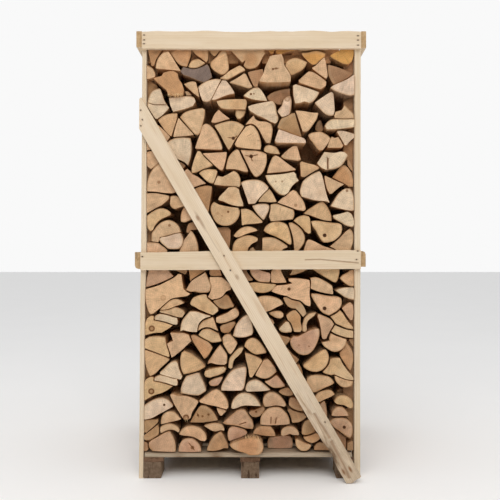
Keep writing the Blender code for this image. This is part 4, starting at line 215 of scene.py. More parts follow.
p 4 -448 776 15 7 33 -6 30 -10 20 -4 2 -17 -1 -12 -17 0 -29 10 -35 9 -23 4 0 11
w 2 -492 683 0 52 7 27 17 12 10 -2 -1 -20 31 -7 32 -9 24 -8 -15 -12 -20 -11 -17 -10 -22 0 -24 -5
p 8 -430 506 20 18 20 20 20 14 15 1 9 -13 4 -22 10 -24 7 -16 -7 -12 -28 6 -40 11 -30 9
w 6 -314 607 -13 -7 -6 -26 0 -30 6 -28 9 -19 28 5 36 10 25 12 14 10 -15 20 -27 22 -27 19
t 4 -219 496 2 13 21 9 36 8 31 4 13 -8 -7 -13 -21 -13 -32 -10 -20 -5 -18 4
t 2 -143 635 -12 -11 -13 -17 -18 -29 -15 -22 -2 -10 15 5 32 -8 32 -1 11 7 1 25 -1 16 -15 24
t 6 -133 670 9 11 12 6 16 -3 15 -15 15 -19 2 -6 -8 -19 -13 -21 -11 -12 -8 6 -12 20 -13 22 -2 12
t -4 -34 622 -20 -2 -17 -14 -17 -20 -12 -16 -3 -24 -2 -18 11 -6 7 4 2 20 8 21 17 15 18 21
p 5 -83 679 7 27 8 25 17 23 17 16 18 10 12 -10 12 -40 4 -30 -6 -16 -26 -9 -36 -3
w 2 -28 628 5 19 13 15 20 7 16 -5 18 -14 16 -21 14 -23 0 -8 -30 -5 -18 -2 -22 10 -15 13
w 0 -26 598 22 -6 28 -11 19 -9 13 -11 -13 -23 -16 -26 -14 -22 -7 -9 -9 1 -4 18 -3 24 -9 36
t 4 63 561 21 6 16 -18 16 -23 7 -17 -11 -11 -18 -14 -24 -8 -24 4 -22 11 11 23 14 24
t 8 23 834 3 19 14 11 25 5 25 -1 30 -7 25 -13 10 -17 -21 -10 -24 -12 -18 -9 -24 -7 -20 -3 -18 16
t 2 88 788 18 6 20 3 20 -3 10 -11 -1 -12 -11 -8 -18 1 -17 8 -13 8
r -6 49 776 17 4 19 -13 22 -15 6 -11 -8 -12 -8 -14 -21 20
b -10 101 707 8 10 12 -9 14 -20 18 -12 26 -6 12 -5 -9 -16 -17 -18 -10 -4 -28 34
p 10 405 894 19 8 30 6 34 0 4 -5 0 -52 -16 3 -22 7 -19 12 -17 12
t 8 289 870 3 9 28 -1 35 -7 29 -4 32 -2 14 -8 4 -15 -4 -21 -14 -18 -19 -13 -23 -13 -23 9 -15 11 -18 25 -17
  28
r 0 437 810 18 16 19 13 13 -14 3 -35 -5 -36 -8 -1 -13 17 -15 22
w 4 382 770 25 13 19 16 11 -11 15 -24 18 -24 17 -19 1 -9 -30 4 -28 12 -23 10 -12 17
r 2 320 774 5 9 21 -9 24 -10 16 -12 11 -17 -16 -26 -14 -27 -7 -16 -10 -3 -7 4 -4 17 -3 28 -6 30
t 0 386 700 18 28 26 -11 26 -9 32 -6 0 -32 -28 2 -24 6 -27 10
t 8 340 646 14 3 24 6 -3 13 8 22 23 -12 30 -10 20 -7 -2 -19 -12 -18 -17 -14 -23 -6 -21 6 -20 12 -14 12
r 6 191 661 15 14 20 -1 24 13 30 15 24 8 21 2 3 -16 -3 -24 -8 -24 -11 -23 -14 -19 -17 -13 -21 -4 -23 5 -19
  14 -15 17 -7 21
o -4 172 776 14 14 18 10 11 0 16 -18 8 -14 -2 -22 5 -18 2 -18 -6 -12 -29 0 -7 20 -10 24 -14 14
b 2 156 859 16 2 26 -13 22 -5 14 -3 16 -18 10 -20 5 -15 -14 -17 -13 15 -12 14 -11 11 -19 1 -18 10 -12 16
t 0 313 791 -23 -4 -17 -7 -17 -18 -4 -14 -4 -20 0 -27 15 -2 5 10 -2 21 6 19 14 13 18 15
p -6 136 708 9 13 12 13 15 13 11 -5 9 -19 5 -17 -2 -9 -29 -3 -19 4
t 4 101 891 8 12 17 15 44 3 32 8 -20 13 0 8 18 2 40 -2 39 -6 3 -18 -1 -24 0 -32 5 -36 -2 -14 -10 2 -13 6 -20
  18 -20 6 -26 6 -20 11 -25 5 -30 9
w 8 255 544 19 16 26 22 24 18 20 12 13 2 9 -13 6 -21 -4 -25 -12 -23 -19 -16 -23 -7 -27 3 -22 10 -14 12
w 2 381 566 19 6 25 0 7 -15 12 -21 18 -24 20 -23 7 -11 -1 -9 -30 4 -28 10 -20 9 -12 4 -10 -3 -24 4 -19 8 13
  15 16 20
o -8 458 646 6 -8 14 -20 10 -22 1 -36 -7 -32 -6 -14 -11 10 -15 23 -14 21 -8 16 -1 14 11 12 11 18
b -15 470 661 20 1 1 -36 -7 12 -8 12
b -8 157 614 11 6 11 -6 18 -22 20 -15 13 -12 -8 -12 -10 -13 -25 23
b -10 209 532 11 8 13 -1 9 -16 6 -23 1 -30 -11 7
p 6 -448 485 15 7 33 -7 30 -10 20 -3 2 -16 -1 -12 -17 0 -29 10 -35 9 -23 4 0 11
w 2 -493 372 0 82 8 19 17 10 10 -2 -1 -19 31 -7 32 -9 24 -8 -15 -10 -15 -10 -20 -10 -30 -10 -26 -15
p 0 -493 348 19 16 28 15 26 4 23 -8 14 -10 12 -15 0 -8 -19 -11 -20 -11 -26 -14 -20 -14 -20 -8 -17 -3
t 10 -381 399 15 3 20 -9 36 0 30 -9 28 -14 3 -6 -14 -24 -15 -24 -8 -27 -15 -9 -16 3 -12 18 -20 32 -16 28
p 12 -331 407 1 23 7 24 10 20 8 14 15 5 36 10 10 -1 12 -24 10 -22 10 -29 0 -9 -25 -16 -16 -5 -33 3 -28 5
r 0 -198 457 11 11 21 8 26 7 8 -2 -10 -19 -13 -18 -23 -4 -15 4
t 6 -244 370 18 15 22 16 24 18 20 5 21 -12 18 -22 13 -26 3 -24 -9 -9 -26 7 -28 8 -22 4 -26 6 -24 7
b 4 -285 269 12 23 16 28 14 20 10 7 23 -4 19 -13 16 -17 11 -19 8 -16 -24 -4 -50 -6
t -6 -161 335 17 -4 21 -6 7 -5 -11 -11 -11 -11 -8 2 -7 13
p 6 -92 336 3 20 8 20 14 16 17 12 22 4 18 -3 23 -11 18 -17 13 -21 5 -10 -29 1 -40 2 -26 -4 -18 -8 -20 -4
p 14 -139 421 2 21 10 21 15 23 12 16 15 14 31 12 24 4 9 -3 1 -21 -5 -42 -7 -35 -9 -10 -49 -1
p 0 -23 422 1 16 9 18 17 10 20 4 19 -6 18 -13 20 -17 13 -12 -18 -4 -46 -3 -48 -1
r 3 68 461 18 5 18 11 18 13 13 -10 17 -22 12 -18 -18 -6 -26 -2 -17 3 -18 12
b -6 135 412 10 10 21 7 14 2 18 -18 5 -16 -19 -4 -24 3 -14 7
b -4 184 349 2 23 6 12 19 -2 23 -23 18 -29 -6 -10 -27 6 -23 11
r 8 67 344 -7 20 2 20 11 16 17 10 20 -1 21 -9 17 -15 14 -19 8 -18 -10 -5 -20 4 -20 3 -24 -5 -23 -2
b -10 -7 312 9 7 18 2 20 10 20 6 8 -3 -2 -12 -11 -14 -12 -12 -15 -5 -17 1 -11 9
r 10 -130 266 13 12 17 16 20 17 12 10 18 8 19 0 11 -11 8 -14 13 -17 9 -19 4 -19 -4 -12 -16 1 -20 3 -24 8 -30
  6 -24 2 -16 3
r 4 48 257 0 23 6 20 14 18 15 14 17 6 24 2 19 -4 15 -13 15 -16 10 -21 3 -19 -1 -7 -25 -3 -40 -2 -40 -1
b -6 177 323 10 5 21 -10 28 -7 18 -3 12 -18 -6 -5 -17 -12 -21 -7 -23 -1 -4 19 -8 24
b -4 -493 274 23 3 30 1 2 -6 -7 -12 -23 -24 -17 -18 -8 0
b 0 -439 254 3 -14 1 -20 -3 -12 -15 -12 -17 -12 -17 -2 -6 6 0 16 12 11 19 17
t 6 -426 260 1 20 6 19 13 13 16 7 23 -1 15 -10 14 -17 7 -8 -15 -5 -24 -6 -24 -5 -18 -5
t -2 -429 229 1 15 18 12 24 5 22 -5 17 -11 9 -13 -2 -10 -6 -3 -8 7 -12 5 -20 1 -18 -5 -18 -9 -6 -1
r 8 -474 160 1 12 12 11 18 11 16 12 20 10 19 8 7 -4 10 -16 9 -21 5 -27 0 -27 -23 -1 -40 2 -38 2 -10 11
b -6 -493 173 11 -7 3 -31 -4 -5 -10 0
r 4 -342 128 1 18 7 21 13 16 18 7 23 0 19 -10 15 -15 9 -19 2 -16 -45 -3
w 6 -338 211 1 6 12 17 18 12 21 5 26 -3 23 -10 16 -15 10 -19 1 -18 -7 -7 -19 2 -18 10 -22 9 -22 4 -22 2
b 2 -206 133 1 11 9 23 14 23 15 18 16 10 9 3 10 -13 9 -18 11 -22 6 -20 -2 -5 -18 2 -20 -8 -28 -5
t -4 -221 250 17 8 26 5 28 -2 17 -9 8 -14 -1 -11 -16 3 -22 -6 -18 3 -22 12
r 6 -102 180 -6 20 1 22 7 17 11 9 23 -3 22 -7 18 -7 10 -11 -3 -8 -12 -7 -20 -9 -23 -7 -20 -7
o 40 -97 165 13 10 24 9 26 8 24 5 16 5 18 -2 17 -6 10 -11 8 -17 1 -18 -7 -17 -14 -12 -15 -7 -14 -1 -14 4 -12
  8 -14 6 -26 7 -24 10 -11 9
r -60 84 136 -1 34 7 16 40 4 40 4 21 -2 9 -14 2 -26 -4 -15 -58 -3
o 0 12 210 5 16 13 14 17 8 23 0 25 -2 11 -12 9 -16 3 -15 -28 -1 -34 4 -24 4
r -4 146 206 0 14 8 16 17 10 23 1 19 -7 13 -15 6 -15 -6 -4 -22 1 -16 5 -18 -6 -17 -4
b 2 245 212 1 24 6 21 11 16 13 6 18 -14 14 -29 -4 -14 -20 -9 -22 -5
o -2 253 195 17 4 24 7 18 9 16 -10 2 -18 -15 -11 -21 -7 -19 5 -14 9
w 0 215 184 9 0 16 -8 24 -12 21 -4 3 -6 -8 -13 -15 -9 -21 0 -15 9 -12 16
b -10 304 134 1 14 8 12 15 10 22 -4 20 -13 10 -20
t 4 267 456 3 21 15 11 29 5 36 -4 27 -7 15 -16 5 -11 -12 -9 -29 -12 -26 -13 -19 -9 -18 -1 -18 21
w 2 400 488 10 -3 20 -9 28 -9 30 -5 -1 -10 -8 -12 -27 -6 -21 5 -15 13 -12 17
w -4 308 385 4 12 13 12 19 7 24 5 17 -3 10 -9 5 -9 -17 -11 -19 -8 -17 -7 -15 -9 -9 -2
r -12 332 350 11 10 9 7 6 -15 5 -26 2 -30 -1 -14 -14 28
w 6 399 367 9 17 16 10 22 2 21 -8 15 -15 6 -19 -4 -17 -6 -2 -15 6 -16 9 -23 3 -16 5
b -60 416 407 15 12 23 1 18 -14 -12 -4 -24 2
r 8 386 300 2 14 12 18 16 9 17 -1 17 -11 12 -17 5 -12 -27 -1 -30 -1
r 4 377 270 16 14 27 4 30 -2 20 -12 13 -19 3 -25 -3 -22 -8 -14 -14 5 -20 14 -23 17 -22 16
b -25 399 234 18 -14 21 -16 17 -12 1 -28 -1 -28 -12 15 -31 54
b -6 463 133 1 30 10 7 14 6 0 -44
t -12 -397 1488 12 14 16 -2 11 -28 15 -20 1 -22 19 -37 -36 -3 -17 40
t -16 -346 1378 31 2 32 -10 10 -25 23 -45 -18 -14 -24 12 -18 14 -20 36
t -10 -266 1265 20 15 20 -16 21 -8 17 -40 8 -14 -25 -6 -33 3 -8 21 -21 20
t -20 -232 1176 48 8 3 -24 -14 -36 1 -12 -8 2
t -12 -129 1015 29 8 40 -1 8 -37 2 -35 8 -15 -8 -26 -32 1 -5 24 -25 26
t -14 -72 899 42 5 27 -10 19 -22 -1 -42 12 -27 -19 -12 -27 8 -17 25 -24 42
t -8 16 782 28 2 6 -21 23 -33 19 -18 10 -17 -4 -30 -33 -7 -15 20 -20 32 -12 30
t -18 75 644 28 5 32 -7 13 -25 13 -25 -6 -18 -32 -4 -18 18 -17 29
t -12 126 558 34 3 24 -7 16 -22 6 -26 -22 -17 -22 3 -17 24
t -10 171 480 33 2 24 -10 14 -16 17 -18 13 -22 -14 -14 -36 5 -31 39
t -15 219 393 36 0 41 5 7 -18 13 -20 6 -18 -19 -16 -37 2 -12 18 -12 24
t -12 274 319 31 -1 27 6 14 -28 10 -23 -12 -20 -27 1 -21 30 -20 16
t -9 320 240 28 2 16 16 12 -16 18 -20 9 -18 -13 -19 -38 1 -14 18
t -14 372 176 38 2 13 -19 10 -15 -4 -11 -39 0 -7 17
"""

DEPTH_SHARE = 0.5       # the share of its own depth that each outline is corrected for
SIDE_LIMIT = 0.4945     # the logs reach this far to either side
DECK_TOP = 0.1226
FAT = 0.0011            # the logs press together a little more than the tracing shows
INNER_RISE = 1.018      # the inner ranks are heaped a little higher
RANK_LENGTH = 0.25
RANK_GAP = 0.0004       # between the ranks and the planes where their solids meet


# ---------------------------------------------------------------------------
# Colours and nodes
# ---------------------------------------------------------------------------

def linear(hex_colour):
    """An sRGB hex colour as linear RGBA."""
    rgba = []
    for i in (1, 3, 5):
        c = int(hex_colour[i:i + 2], 16) / 255.0
        rgba.append(c / 12.92 if c <= 0.04045 else ((c + 0.055) / 1.055) ** 2.4)
    return (*rgba, 1.0)


def add_node(tree, kind, links=None, stops=None, **settings):
    """Add a node with its settings and feed its inputs.

    links maps an input's name or number to a value, to another node's output, or to a node, which
    gives its first live output.  stops are a colour ramp's positions with hex colours or greys.
    """
    node = tree.nodes.new(kind)
    for key, value in settings.items():
        setattr(node, key, value)
    for key, value in (links or {}).items():
        if isinstance(value, bpy.types.Node):
            value = next(output for output in value.outputs if output.enabled)
        if isinstance(value, bpy.types.NodeSocket):
            tree.links.new(value, node.inputs[key])
        else:
            node.inputs[key].default_value = value
    if stops:
        elements = node.color_ramp.elements
        while len(elements) < len(stops):
            elements.new(0.5)
        for element, (position, shade) in zip(elements, stops):
            element.position = position
            element.color = linear(shade) if isinstance(shade, str) else (shade, shade, shade, 1.0)
    return node


def new_material(name):
    """An empty material; returns it and its tree."""
    material = bpy.data.materials.new(name)
    material.use_nodes = True
    tree = material.node_tree
    tree.nodes.clear()
    return material, tree


def set_surface(tree, inputs, height=None, relief=0.0, strength=1.0):
    """End the tree in a Principled shader, with a bump whose relief is a real height in metres."""
    if height is not None:
        bump = add_node(tree, "ShaderNodeBump", {"Height": height, "Distance": relief, "Strength": strength})
        inputs = {**inputs, "Normal": bump}
    add_node(tree, "ShaderNodeOutputMaterial", {0: add_node(tree, "ShaderNodeBsdfPrincipled", inputs)})


def stretched_noises(tree, vector, *rows):
    """Noises over a vector; each row has its stretch, features per metre, detail, roughness and swirl."""
    made = []
    for stretch, per_metre, detail, roughness, swirl in rows:
        stretched = add_node(tree, "ShaderNodeVectorMath", {0: vector, 1: stretch}, operation="MULTIPLY")
        made.append(add_node(tree, "ShaderNodeTexNoise", {
            "Vector": stretched, "Scale": per_metre, "Detail": detail, "Roughness": roughness,
            "Distortion": swirl,
        }))
    return made


def weighted_sum(tree, start, *parts):
    """start plus every pattern times its weight."""
    total = start
    for pattern, weight in parts:
        total = add_node(tree, "ShaderNodeMath", {0: pattern, 1: weight, 2: total}, operation="MULTIPLY_ADD")
    return total


def ring_waves(tree, distance, spacing):
    """A sine wave over a distance, with its crests a real spacing apart."""
    turns = add_node(tree, "ShaderNodeMath", {0: distance, 1: 2.0 * math.pi / spacing}, operation="MULTIPLY")
    return add_node(tree, "ShaderNodeMath", {0: turns}, operation="SINE")


def stained(tree, colour, *stains):
    """A colour with stains laid over it; each has its mask, how strong it is and its own colour."""
    for mask, strength, stain in stains:
        share = add_node(tree, "ShaderNodeMath", {0: mask, 1: strength}, operation="MULTIPLY")
        stain = linear(stain) if isinstance(stain, str) else stain
        colour = add_node(tree, "ShaderNodeMix", {0: share, 6: colour, 7: stain}, data_type="RGBA")
    return colour


# ---------------------------------------------------------------------------
# Materials
# ---------------------------------------------------------------------------

EVEN = (1.0, 1.0, 1.0)
MULTIPLIED = {"data_type": "RGBA", "blend_type": "MULTIPLY"}
CLAMPED_LINE = {"operation": "MULTIPLY_ADD", "use_clamp": True}


def make_oak_end():
    """Dry oak cut across with a saw: matt, tan, faint growth rings, rays and checks."""
    material, tree = new_material("oak_sawn_across")
    place = add_node(tree, "ShaderNodeTexCoord").outputs["Object"]
    pith = add_node(tree, "ShaderNodeAttribute", attribute_name="pith").outputs["Vector"]
    tone = add_node(tree, "ShaderNodeAttribute", attribute_name="log_colour").outputs["Color"]
    rim = add_node(tree, "ShaderNodeAttribute", attribute_name="rim").outputs["Fac"]
    girth = add_node(tree, "ShaderNodeAttribute", attribute_name="girth").outputs["Fac"]
    mark = add_node(tree, "ShaderNodeAttribute", attribute_name="mark").outputs["Fac"]

    # Growth rings: 3 mm apart in oak, drawn 9 mm apart so that they show from three metres.
    flat = add_node(tree, "ShaderNodeVectorMath", {0: pith, 1: (1.0, 0.0, 1.0)}, operation="MULTIPLY")
    radius = add_node(tree, "ShaderNodeVectorMath", {0: flat}, operation="LENGTH")
    # The rings wander by a centimetre, and blotches are as wide as a thumb.
    wander, blotch = stretched_noises(tree, pith, (EVEN, 22.0, 2.0, 0.55, 0.0),
                                      (EVEN, 28.0, 3.0, 0.6, 0.0))
    wavy = weighted_sum(tree, radius, (wander, 0.012))
    rings = ring_waves(tree, wavy, 0.009)
    fine = ring_waves(tree, wavy, 0.0034)
    # Pores 2 mm across.
    pores, = stretched_noises(tree, place, (EVEN, 420.0, 2.0, 0.7, 0.0))

    # Rays and drying checks run out from the pith; each is about a millimetre wide.
    parts = add_node(tree, "ShaderNodeSeparateXYZ", {0: pith}).outputs
    angle = add_node(tree, "ShaderNodeMath", {0: parts["X"], 1: parts["Z"]}, operation="ARCTAN2")
    around = add_node(tree, "ShaderNodeMath", {0: angle, 1: 7.0}, operation="MULTIPLY")
    outward = add_node(tree, "ShaderNodeMath", {0: radius, 1: 6.0}, operation="MULTIPLY")
    spoke = add_node(tree, "ShaderNodeCombineXYZ", {0: around, 1: parts["Y"], 2: outward})
    rays, cracked = stretched_noises(tree, spoke, (EVEN, 2.2, 3.0, 0.65, 0.0), (EVEN, 4.5, 1.0, 0.5, 0.0))
    checks = add_node(tree, "ShaderNodeValToRGB", {0: cracked},
                      [(0.0, 0.0), (0.70, 0.0), (0.76, 1.0), (1.0, 1.0)])

    # Saw marks: straight scratches 5 mm apart, in another direction on every log.
    heading = add_node(tree, "ShaderNodeMath", {0: parts["Y"], 1: 47.0}, operation="MULTIPLY")
    turned = add_node(tree, "ShaderNodeVectorRotate", {"Vector": flat, "Angle": heading},
                      rotation_type="Y_AXIS")
    scratches, = stretched_noises(tree, turned, ((1.0, 1.0, 0.07), 190.0, 2.0, 0.6, 0.0))

    # The noises lie about a half, so half of their weights together is taken off again.
    factor = weighted_sum(tree, -0.01, (rings, 0.05), (fine, 0.025), (blotch, 0.85), (scratches, 0.30),
                          (rays, 0.65), (pores, 0.22))
    colour = add_node(tree, "ShaderNodeMix", {0: 1.0, 6: tone, 7: factor}, **MULTIPLIED)
    # Pale sapwood in the outer 18 mm under the bark, a darker heart within 45 mm of the pith.
    under_bark = add_node(tree, "ShaderNodeMath", {0: radius, 1: girth}, operation="SUBTRACT")
    sap = add_node(tree, "ShaderNodeMath", {0: under_bark, 1: 1.0 / 0.018, 2: 1.0}, **CLAMPED_LINE)
    near = add_node(tree, "ShaderNodeMath", {0: radius, 1: -1.0 / 0.045, 2: 1.0}, **CLAMPED_LINE)
    heart = add_node(tree, "ShaderNodeMath", {0: near, 1: near}, operation="MULTIPLY")
    # A stained rim under the bark, up to 9 mm wide and ragged.
    ragged = weighted_sum(tree, rim, (blotch, 0.0050))
    stain = add_node(tree, "ShaderNodeMath", {0: ragged, 1: -1.0 / 0.0070, 2: 9.0 / 7.0}, **CLAMPED_LINE)
    # Knots, piths, holes and the larger checks.
    knot = add_node(tree, "ShaderNodeValToRGB", {0: mark},
                    [(0.2, "#9A6B42"), (0.5, "#80532F"), (0.95, "#4C3220")])
    colour = stained(tree, colour, (sap, 0.30, "#DCC4A0"), (heart, 0.30, "#9A6A40"),
                     (checks, 0.5, "#7A5233"), (stain, 0.75, "#AC7B4C"), (mark, 1.5, knot))
    height = weighted_sum(tree, 0.0, (pores, 0.6), (scratches, 0.7))
    set_surface(tree, {"Base Color": colour, "Roughness": 0.86, "Specular IOR Level": 0.22},
                height, 0.0012, 0.7)
    return material


def make_oak_split():
    """Oak riven along the grain: warm brown, with ridges and long fibres."""
    material, tree = new_material("oak_split_along")
    place = add_node(tree, "ShaderNodeTexCoord").outputs["Object"]
    tone = add_node(tree, "ShaderNodeAttribute", attribute_name="log_colour").outputs["Color"]
    pith = add_node(tree, "ShaderNodeAttribute", attribute_name="pith").outputs["Vector"]
    # Fibres: bundles some 2 mm across and 60 mm long, in bands 14 mm wide.
    along = (1.0, 0.05, 1.0)
    fibres, bands = stretched_noises(tree, place, (along, 330.0, 4.0, 0.65, 0.0),
                                     (along, 70.0, 3.0, 0.6, 0.0))
    patches, = stretched_noises(tree, pith, (EVEN, 14.0, 2.0, 0.55, 0.0))
    warm = add_node(tree, "ShaderNodeMix", {0: 1.0, 6: tone, 7: linear("#F0D0AC")}, **MULTIPLIED)
    light = add_node(tree, "ShaderNodeValToRGB", {0: bands},
                     [(0.25, "#C6986C"), (0.5, "#E0B98C"), (0.8, "#F2D9B3")])
    shade = add_node(tree, "ShaderNodeValToRGB", {0: fibres}, [(0.2, 0.70), (0.5, 0.97), (0.8, 1.15)])
    dark = add_node(tree, "ShaderNodeValToRGB", {0: patches}, [(0.35, 0.0), (0.7, 1.0)])
    colour = add_node(tree, "ShaderNodeMix", {0: 0.5, 6: warm, 7: light}, data_type="RGBA")
    colour = add_node(tree, "ShaderNodeMix", {0: 1.0, 6: colour, 7: shade}, **MULTIPLIED)
    colour = stained(tree, colour, (dark, 0.35, "#8A5A34"))
    height = weighted_sum(tree, 0.0, (fibres, 1.0), (bands, 1.6))
    set_surface(tree, {"Base Color": colour, "Roughness": 0.82, "Specular IOR Level": 0.25},
                height, 0.0022, 0.8)
    return material


def make_oak_bark():
    """Thin oak bark: grey-brown ridges with dark furrows along the log."""
    material, tree = new_material("oak_bark")
    place = add_node(tree, "ShaderNodeTexCoord").outputs["Object"]
    tone = add_node(tree, "ShaderNodeAttribute", attribute_name="log_colour").outputs["Color"]
    # Ridges about 8 mm wide and 60 mm long, bent by a slow noise.
    ridges, rough, large = stretched_noises(
        tree, place,
        ((1.0, 0.13, 1.0), 120.0, 4.0, 0.6, 0.8),
        (EVEN, 230.0, 4.0, 0.7, 0.0),
        (EVEN, 17.0, 3.0, 0.55, 0.0),
    )
    colour = add_node(tree, "ShaderNodeValToRGB", {0: ridges},
                      [(0.30, "#5E4735"), (0.48, "#9C7B5A"), (0.75, "#C9AC8A")])
    rusty = add_node(tree, "ShaderNodeValToRGB", {0: large}, [(0.42, 0.0), (0.62, 0.55)])
    shade = add_node(tree, "ShaderNodeValToRGB", {0: rough}, [(0.2, 0.65), (0.8, 1.15)])
    colour = stained(tree, colour, (rusty, 1.0, "#8F6541"))
    colour = add_node(tree, "ShaderNodeMix", {0: 0.22, 6: colour, 7: tone}, data_type="RGBA")
    colour = add_node(tree, "ShaderNodeMix", {0: 1.0, 6: colour, 7: shade}, **MULTIPLIED)
    height = weighted_sum(tree, 0.0, (ridges, 1.0), (rough, 0.4))
    set_surface(tree, {"Base Color": colour, "Roughness": 0.93, "Specular IOR Level": 0.18},
                height, 0.005, 0.9)
    return material


def make_pine(name, pale, deep, streak, weather=0.0, streaked=0.3):
    """Rough-sawn pine: straight grain along the board, saw fuzz, stains and knots."""
    material, tree = new_material(name)
    grain = add_node(tree, "ShaderNodeAttribute", attribute_name="grain").outputs["Vector"]
    stain = add_node(tree, "ShaderNodeAttribute", attribute_name="stain").outputs["Fac"]
    dirt_and_shade = add_node(tree, "ShaderNodeAttribute", attribute_name="dirt_and_shade").outputs["Fac"]
    # Everything is stretched along the board: slow waves of the grain, fibres 2 mm across, broad
    # bands, saw fuzz across the grain, dark streaks, and long patches of dirt, which on a deck
    # board's top also carry painted shade.
    wander, fibre, broad, saw, streaks, patches = stretched_noises(
        tree, grain,
        ((0.035, 1.0, 1.0), 9.0, 2.0, 0.5, 0.0),
        ((0.03, 1.0, 1.0), 420.0, 3.0, 0.6, 0.0),
        ((0.12, 1.0, 1.0), 26.0, 3.0, 0.6, 0.0),
        ((1.0, 0.25, 0.25), 300.0, 2.0, 0.6, 0.0),
        ((0.06, 1.0, 1.0), 60.0, 2.0, 0.5, 0.0),
        ((0.35, 1.0, 1.0), 45.0, 4.0, 0.7, 0.0),
    )
    # Grain lines 3 to 4 mm apart across the board, drawn 7.5 mm apart so that they show.
    parts = add_node(tree, "ShaderNodeSeparateXYZ", {0: grain}).outputs
    across = weighted_sum(tree, parts["Y"], (parts["Z"], 0.6), (wander, 0.055))
    mix = weighted_sum(tree, 0.14, (ring_waves(tree, across, 0.0075), 0.14), (broad, 0.72))
    colour = add_node(tree, "ShaderNodeValToRGB", {0: mix}, [(0.25, pale), (0.75, deep)])
    dark_line = add_node(tree, "ShaderNodeValToRGB", {0: fibre}, [(0.0, 0.80), (0.40, 0.98), (1.0, 1.03)])
    streaks = add_node(tree, "ShaderNodeValToRGB", {0: streaks}, [(0.0, 0.0), (0.60, 0.0), (0.78, 1.0)])
    patches = add_node(tree, "ShaderNodeValToRGB", {0: patches}, [(0.3, 0.25), (0.7, 1.0)])
    # The dirt mask is real dirt and weathering, and on a deck board's top it is painted shade as well.
    dirt_and_shade_amount = add_node(tree, "ShaderNodeMath", {0: dirt_and_shade, 1: weather}, operation="ADD")
    dirt_and_shade_share = add_node(tree, "ShaderNodeMath", {0: patches, 1: dirt_and_shade_amount}, operation="MULTIPLY", use_clamp=True)
    colour = add_node(tree, "ShaderNodeMix", {0: 1.0, 6: colour, 7: dark_line}, **MULTIPLIED)
    colour = stained(tree, colour, (streaks, streaked, streak), (dirt_and_shade_share, 1.0, "#80674F"),
                     (stain, 1.0, "#855730"))
    height = weighted_sum(tree, 0.0, (fibre, 0.7), (saw, 0.5))
    set_surface(tree, {"Base Color": colour, "Roughness": 0.74, "Specular IOR Level": 0.28},
                height, 0.0008, 0.6)
    return material


def make_pine_end(name, pale, deep, cracked):
    """Pine sawn across: end grain, darker than the faces, with arcs of growth rings."""
    material, tree = new_material(name)
    grain = add_node(tree, "ShaderNodeAttribute", attribute_name="grain").outputs["Vector"]
    # Growth rings 4 mm apart, drawn 6 mm apart, about a heart that lies 60 mm outside the board.
    moved = add_node(tree, "ShaderNodeVectorMath", {0: grain, 1: (0.0, 1.0, 1.0), 2: (0.0, -0.03, 0.06)},
                     operation="MULTIPLY_ADD")
    radius = add_node(tree, "ShaderNodeVectorMath", {0: moved}, operation="LENGTH")
    # Upright drying cracks some 3 mm wide and 20 mm apart.
    blotch, upright, fuzz = stretched_noises(
        tree, grain,
        (EVEN, 60.0, 4.0, 0.75, 0.0),
        ((0.1, 0.16, 1.0), 75.0, 3.0, 0.6, 0.6),
        (EVEN, 500.0, 2.0, 0.6, 0.0),
    )
    mix = weighted_sum(tree, blotch, (ring_waves(tree, radius, 0.0062), 0.16))
    colour = add_node(tree, "ShaderNodeValToRGB", {0: mix}, [(0.2, pale), (0.8, deep)])
    cracks = add_node(tree, "ShaderNodeValToRGB", {0: upright},
                      [(0.0, 0.0), (0.56, 0.0), (0.64, 1.0), (1.0, 1.0)])
    colour = stained(tree, colour, (cracks, cracked, "#3D2B1E"))
    set_surface(tree, {"Base Color": colour, "Roughness": 0.88, "Specular IOR Level": 0.2},
                fuzz, 0.0008, 0.6)
    return material


def make_speckled(name, per_metre, first, second, surface):
    """A small part's material: two shades in specks, and the rest of its surface as given."""
    material, tree = new_material(name)
    place = add_node(tree, "ShaderNodeTexCoord").outputs["Object"]
    specks, = stretched_noises(tree, place, (EVEN, per_metre, 2.0, 0.6, 0.0))
    colour = add_node(tree, "ShaderNodeValToRGB", {0: specks}, [(0.3, first), (0.7, second)])
    set_surface(tree, {"Base Color": colour, **surface})
    return material


def make_floor_paint():
    """Matt white studio paint with a barely seen unevenness, most of a metre across."""
    material, tree = new_material("studio_floor_paint")
    place = add_node(tree, "ShaderNodeTexCoord").outputs["Object"]
    uneven, = stretched_noises(tree, place, (EVEN, 1.3, 2.0, 0.5, 0.0))
    factor = add_node(tree, "ShaderNodeValToRGB", {0: uneven}, [(0.3, 0.99), (0.7, 1.0)])
    colour = add_node(tree, "ShaderNodeMix", {0: 1.0, 6: linear("#FAFAFA"), 7: factor}, **MULTIPLIED)
    set_surface(tree, {"Base Color": colour, "Roughness": 0.9})
    return material


OAK_END = make_oak_end()
OAK_SPLIT = make_oak_split()
OAK_BARK = make_oak_bark()
PINE_BOARD = make_pine("pine_rough_sawn", "#EAD8BF", "#DCC5A3", "#C8A177")
PINE_BRACE = make_pine("pine_rough_sawn_brace", "#EDDBC3", "#DDC6A6", "#B98757", 0.0, 0.5)
PINE_DECK = make_pine("pine_rough_sawn_deck", "#C4B49E", "#A8957C", "#7C644C", 0.15)
PINE_GREY = make_pine("pine_weathered", "#A08A72", "#7A634D", "#4C3829", 0.5)
PINE_DARK = make_pine("pine_weathered_dark", "#9A7F66", "#74573F", "#4A3223", 0.5)
PINE_END = make_pine_end("pine_sawn_across", "#D8BC94", "#A9855B", 0.3)
PINE_GREY_END = make_pine_end("pine_weathered_across", "#937D67", "#533F30", 0.8)
PINE_DARK_END = make_pine_end("pine_weathered_dark_across", "#93735A", "#4A3326", 0.8)
# Fresh torn oak fibres: pale straw, streaked.
OAK_SPLINTER = make_speckled("oak_torn_fibre", 260.0, "#C2955F", "#E6CBA0",
                             {"Roughness": 0.85, "Specular IOR Level": 0.2})
# Bright wire nails, driven flush and gone dull: dark grey steel.
NAIL_STEEL = make_speckled("nail_wire_steel", 900.0, "#2E2A28", "#544E4A",
                           {"Metallic": 0.8, "Roughness": 0.5})


# ---------------------------------------------------------------------------
# Meshes
# ---------------------------------------------------------------------------

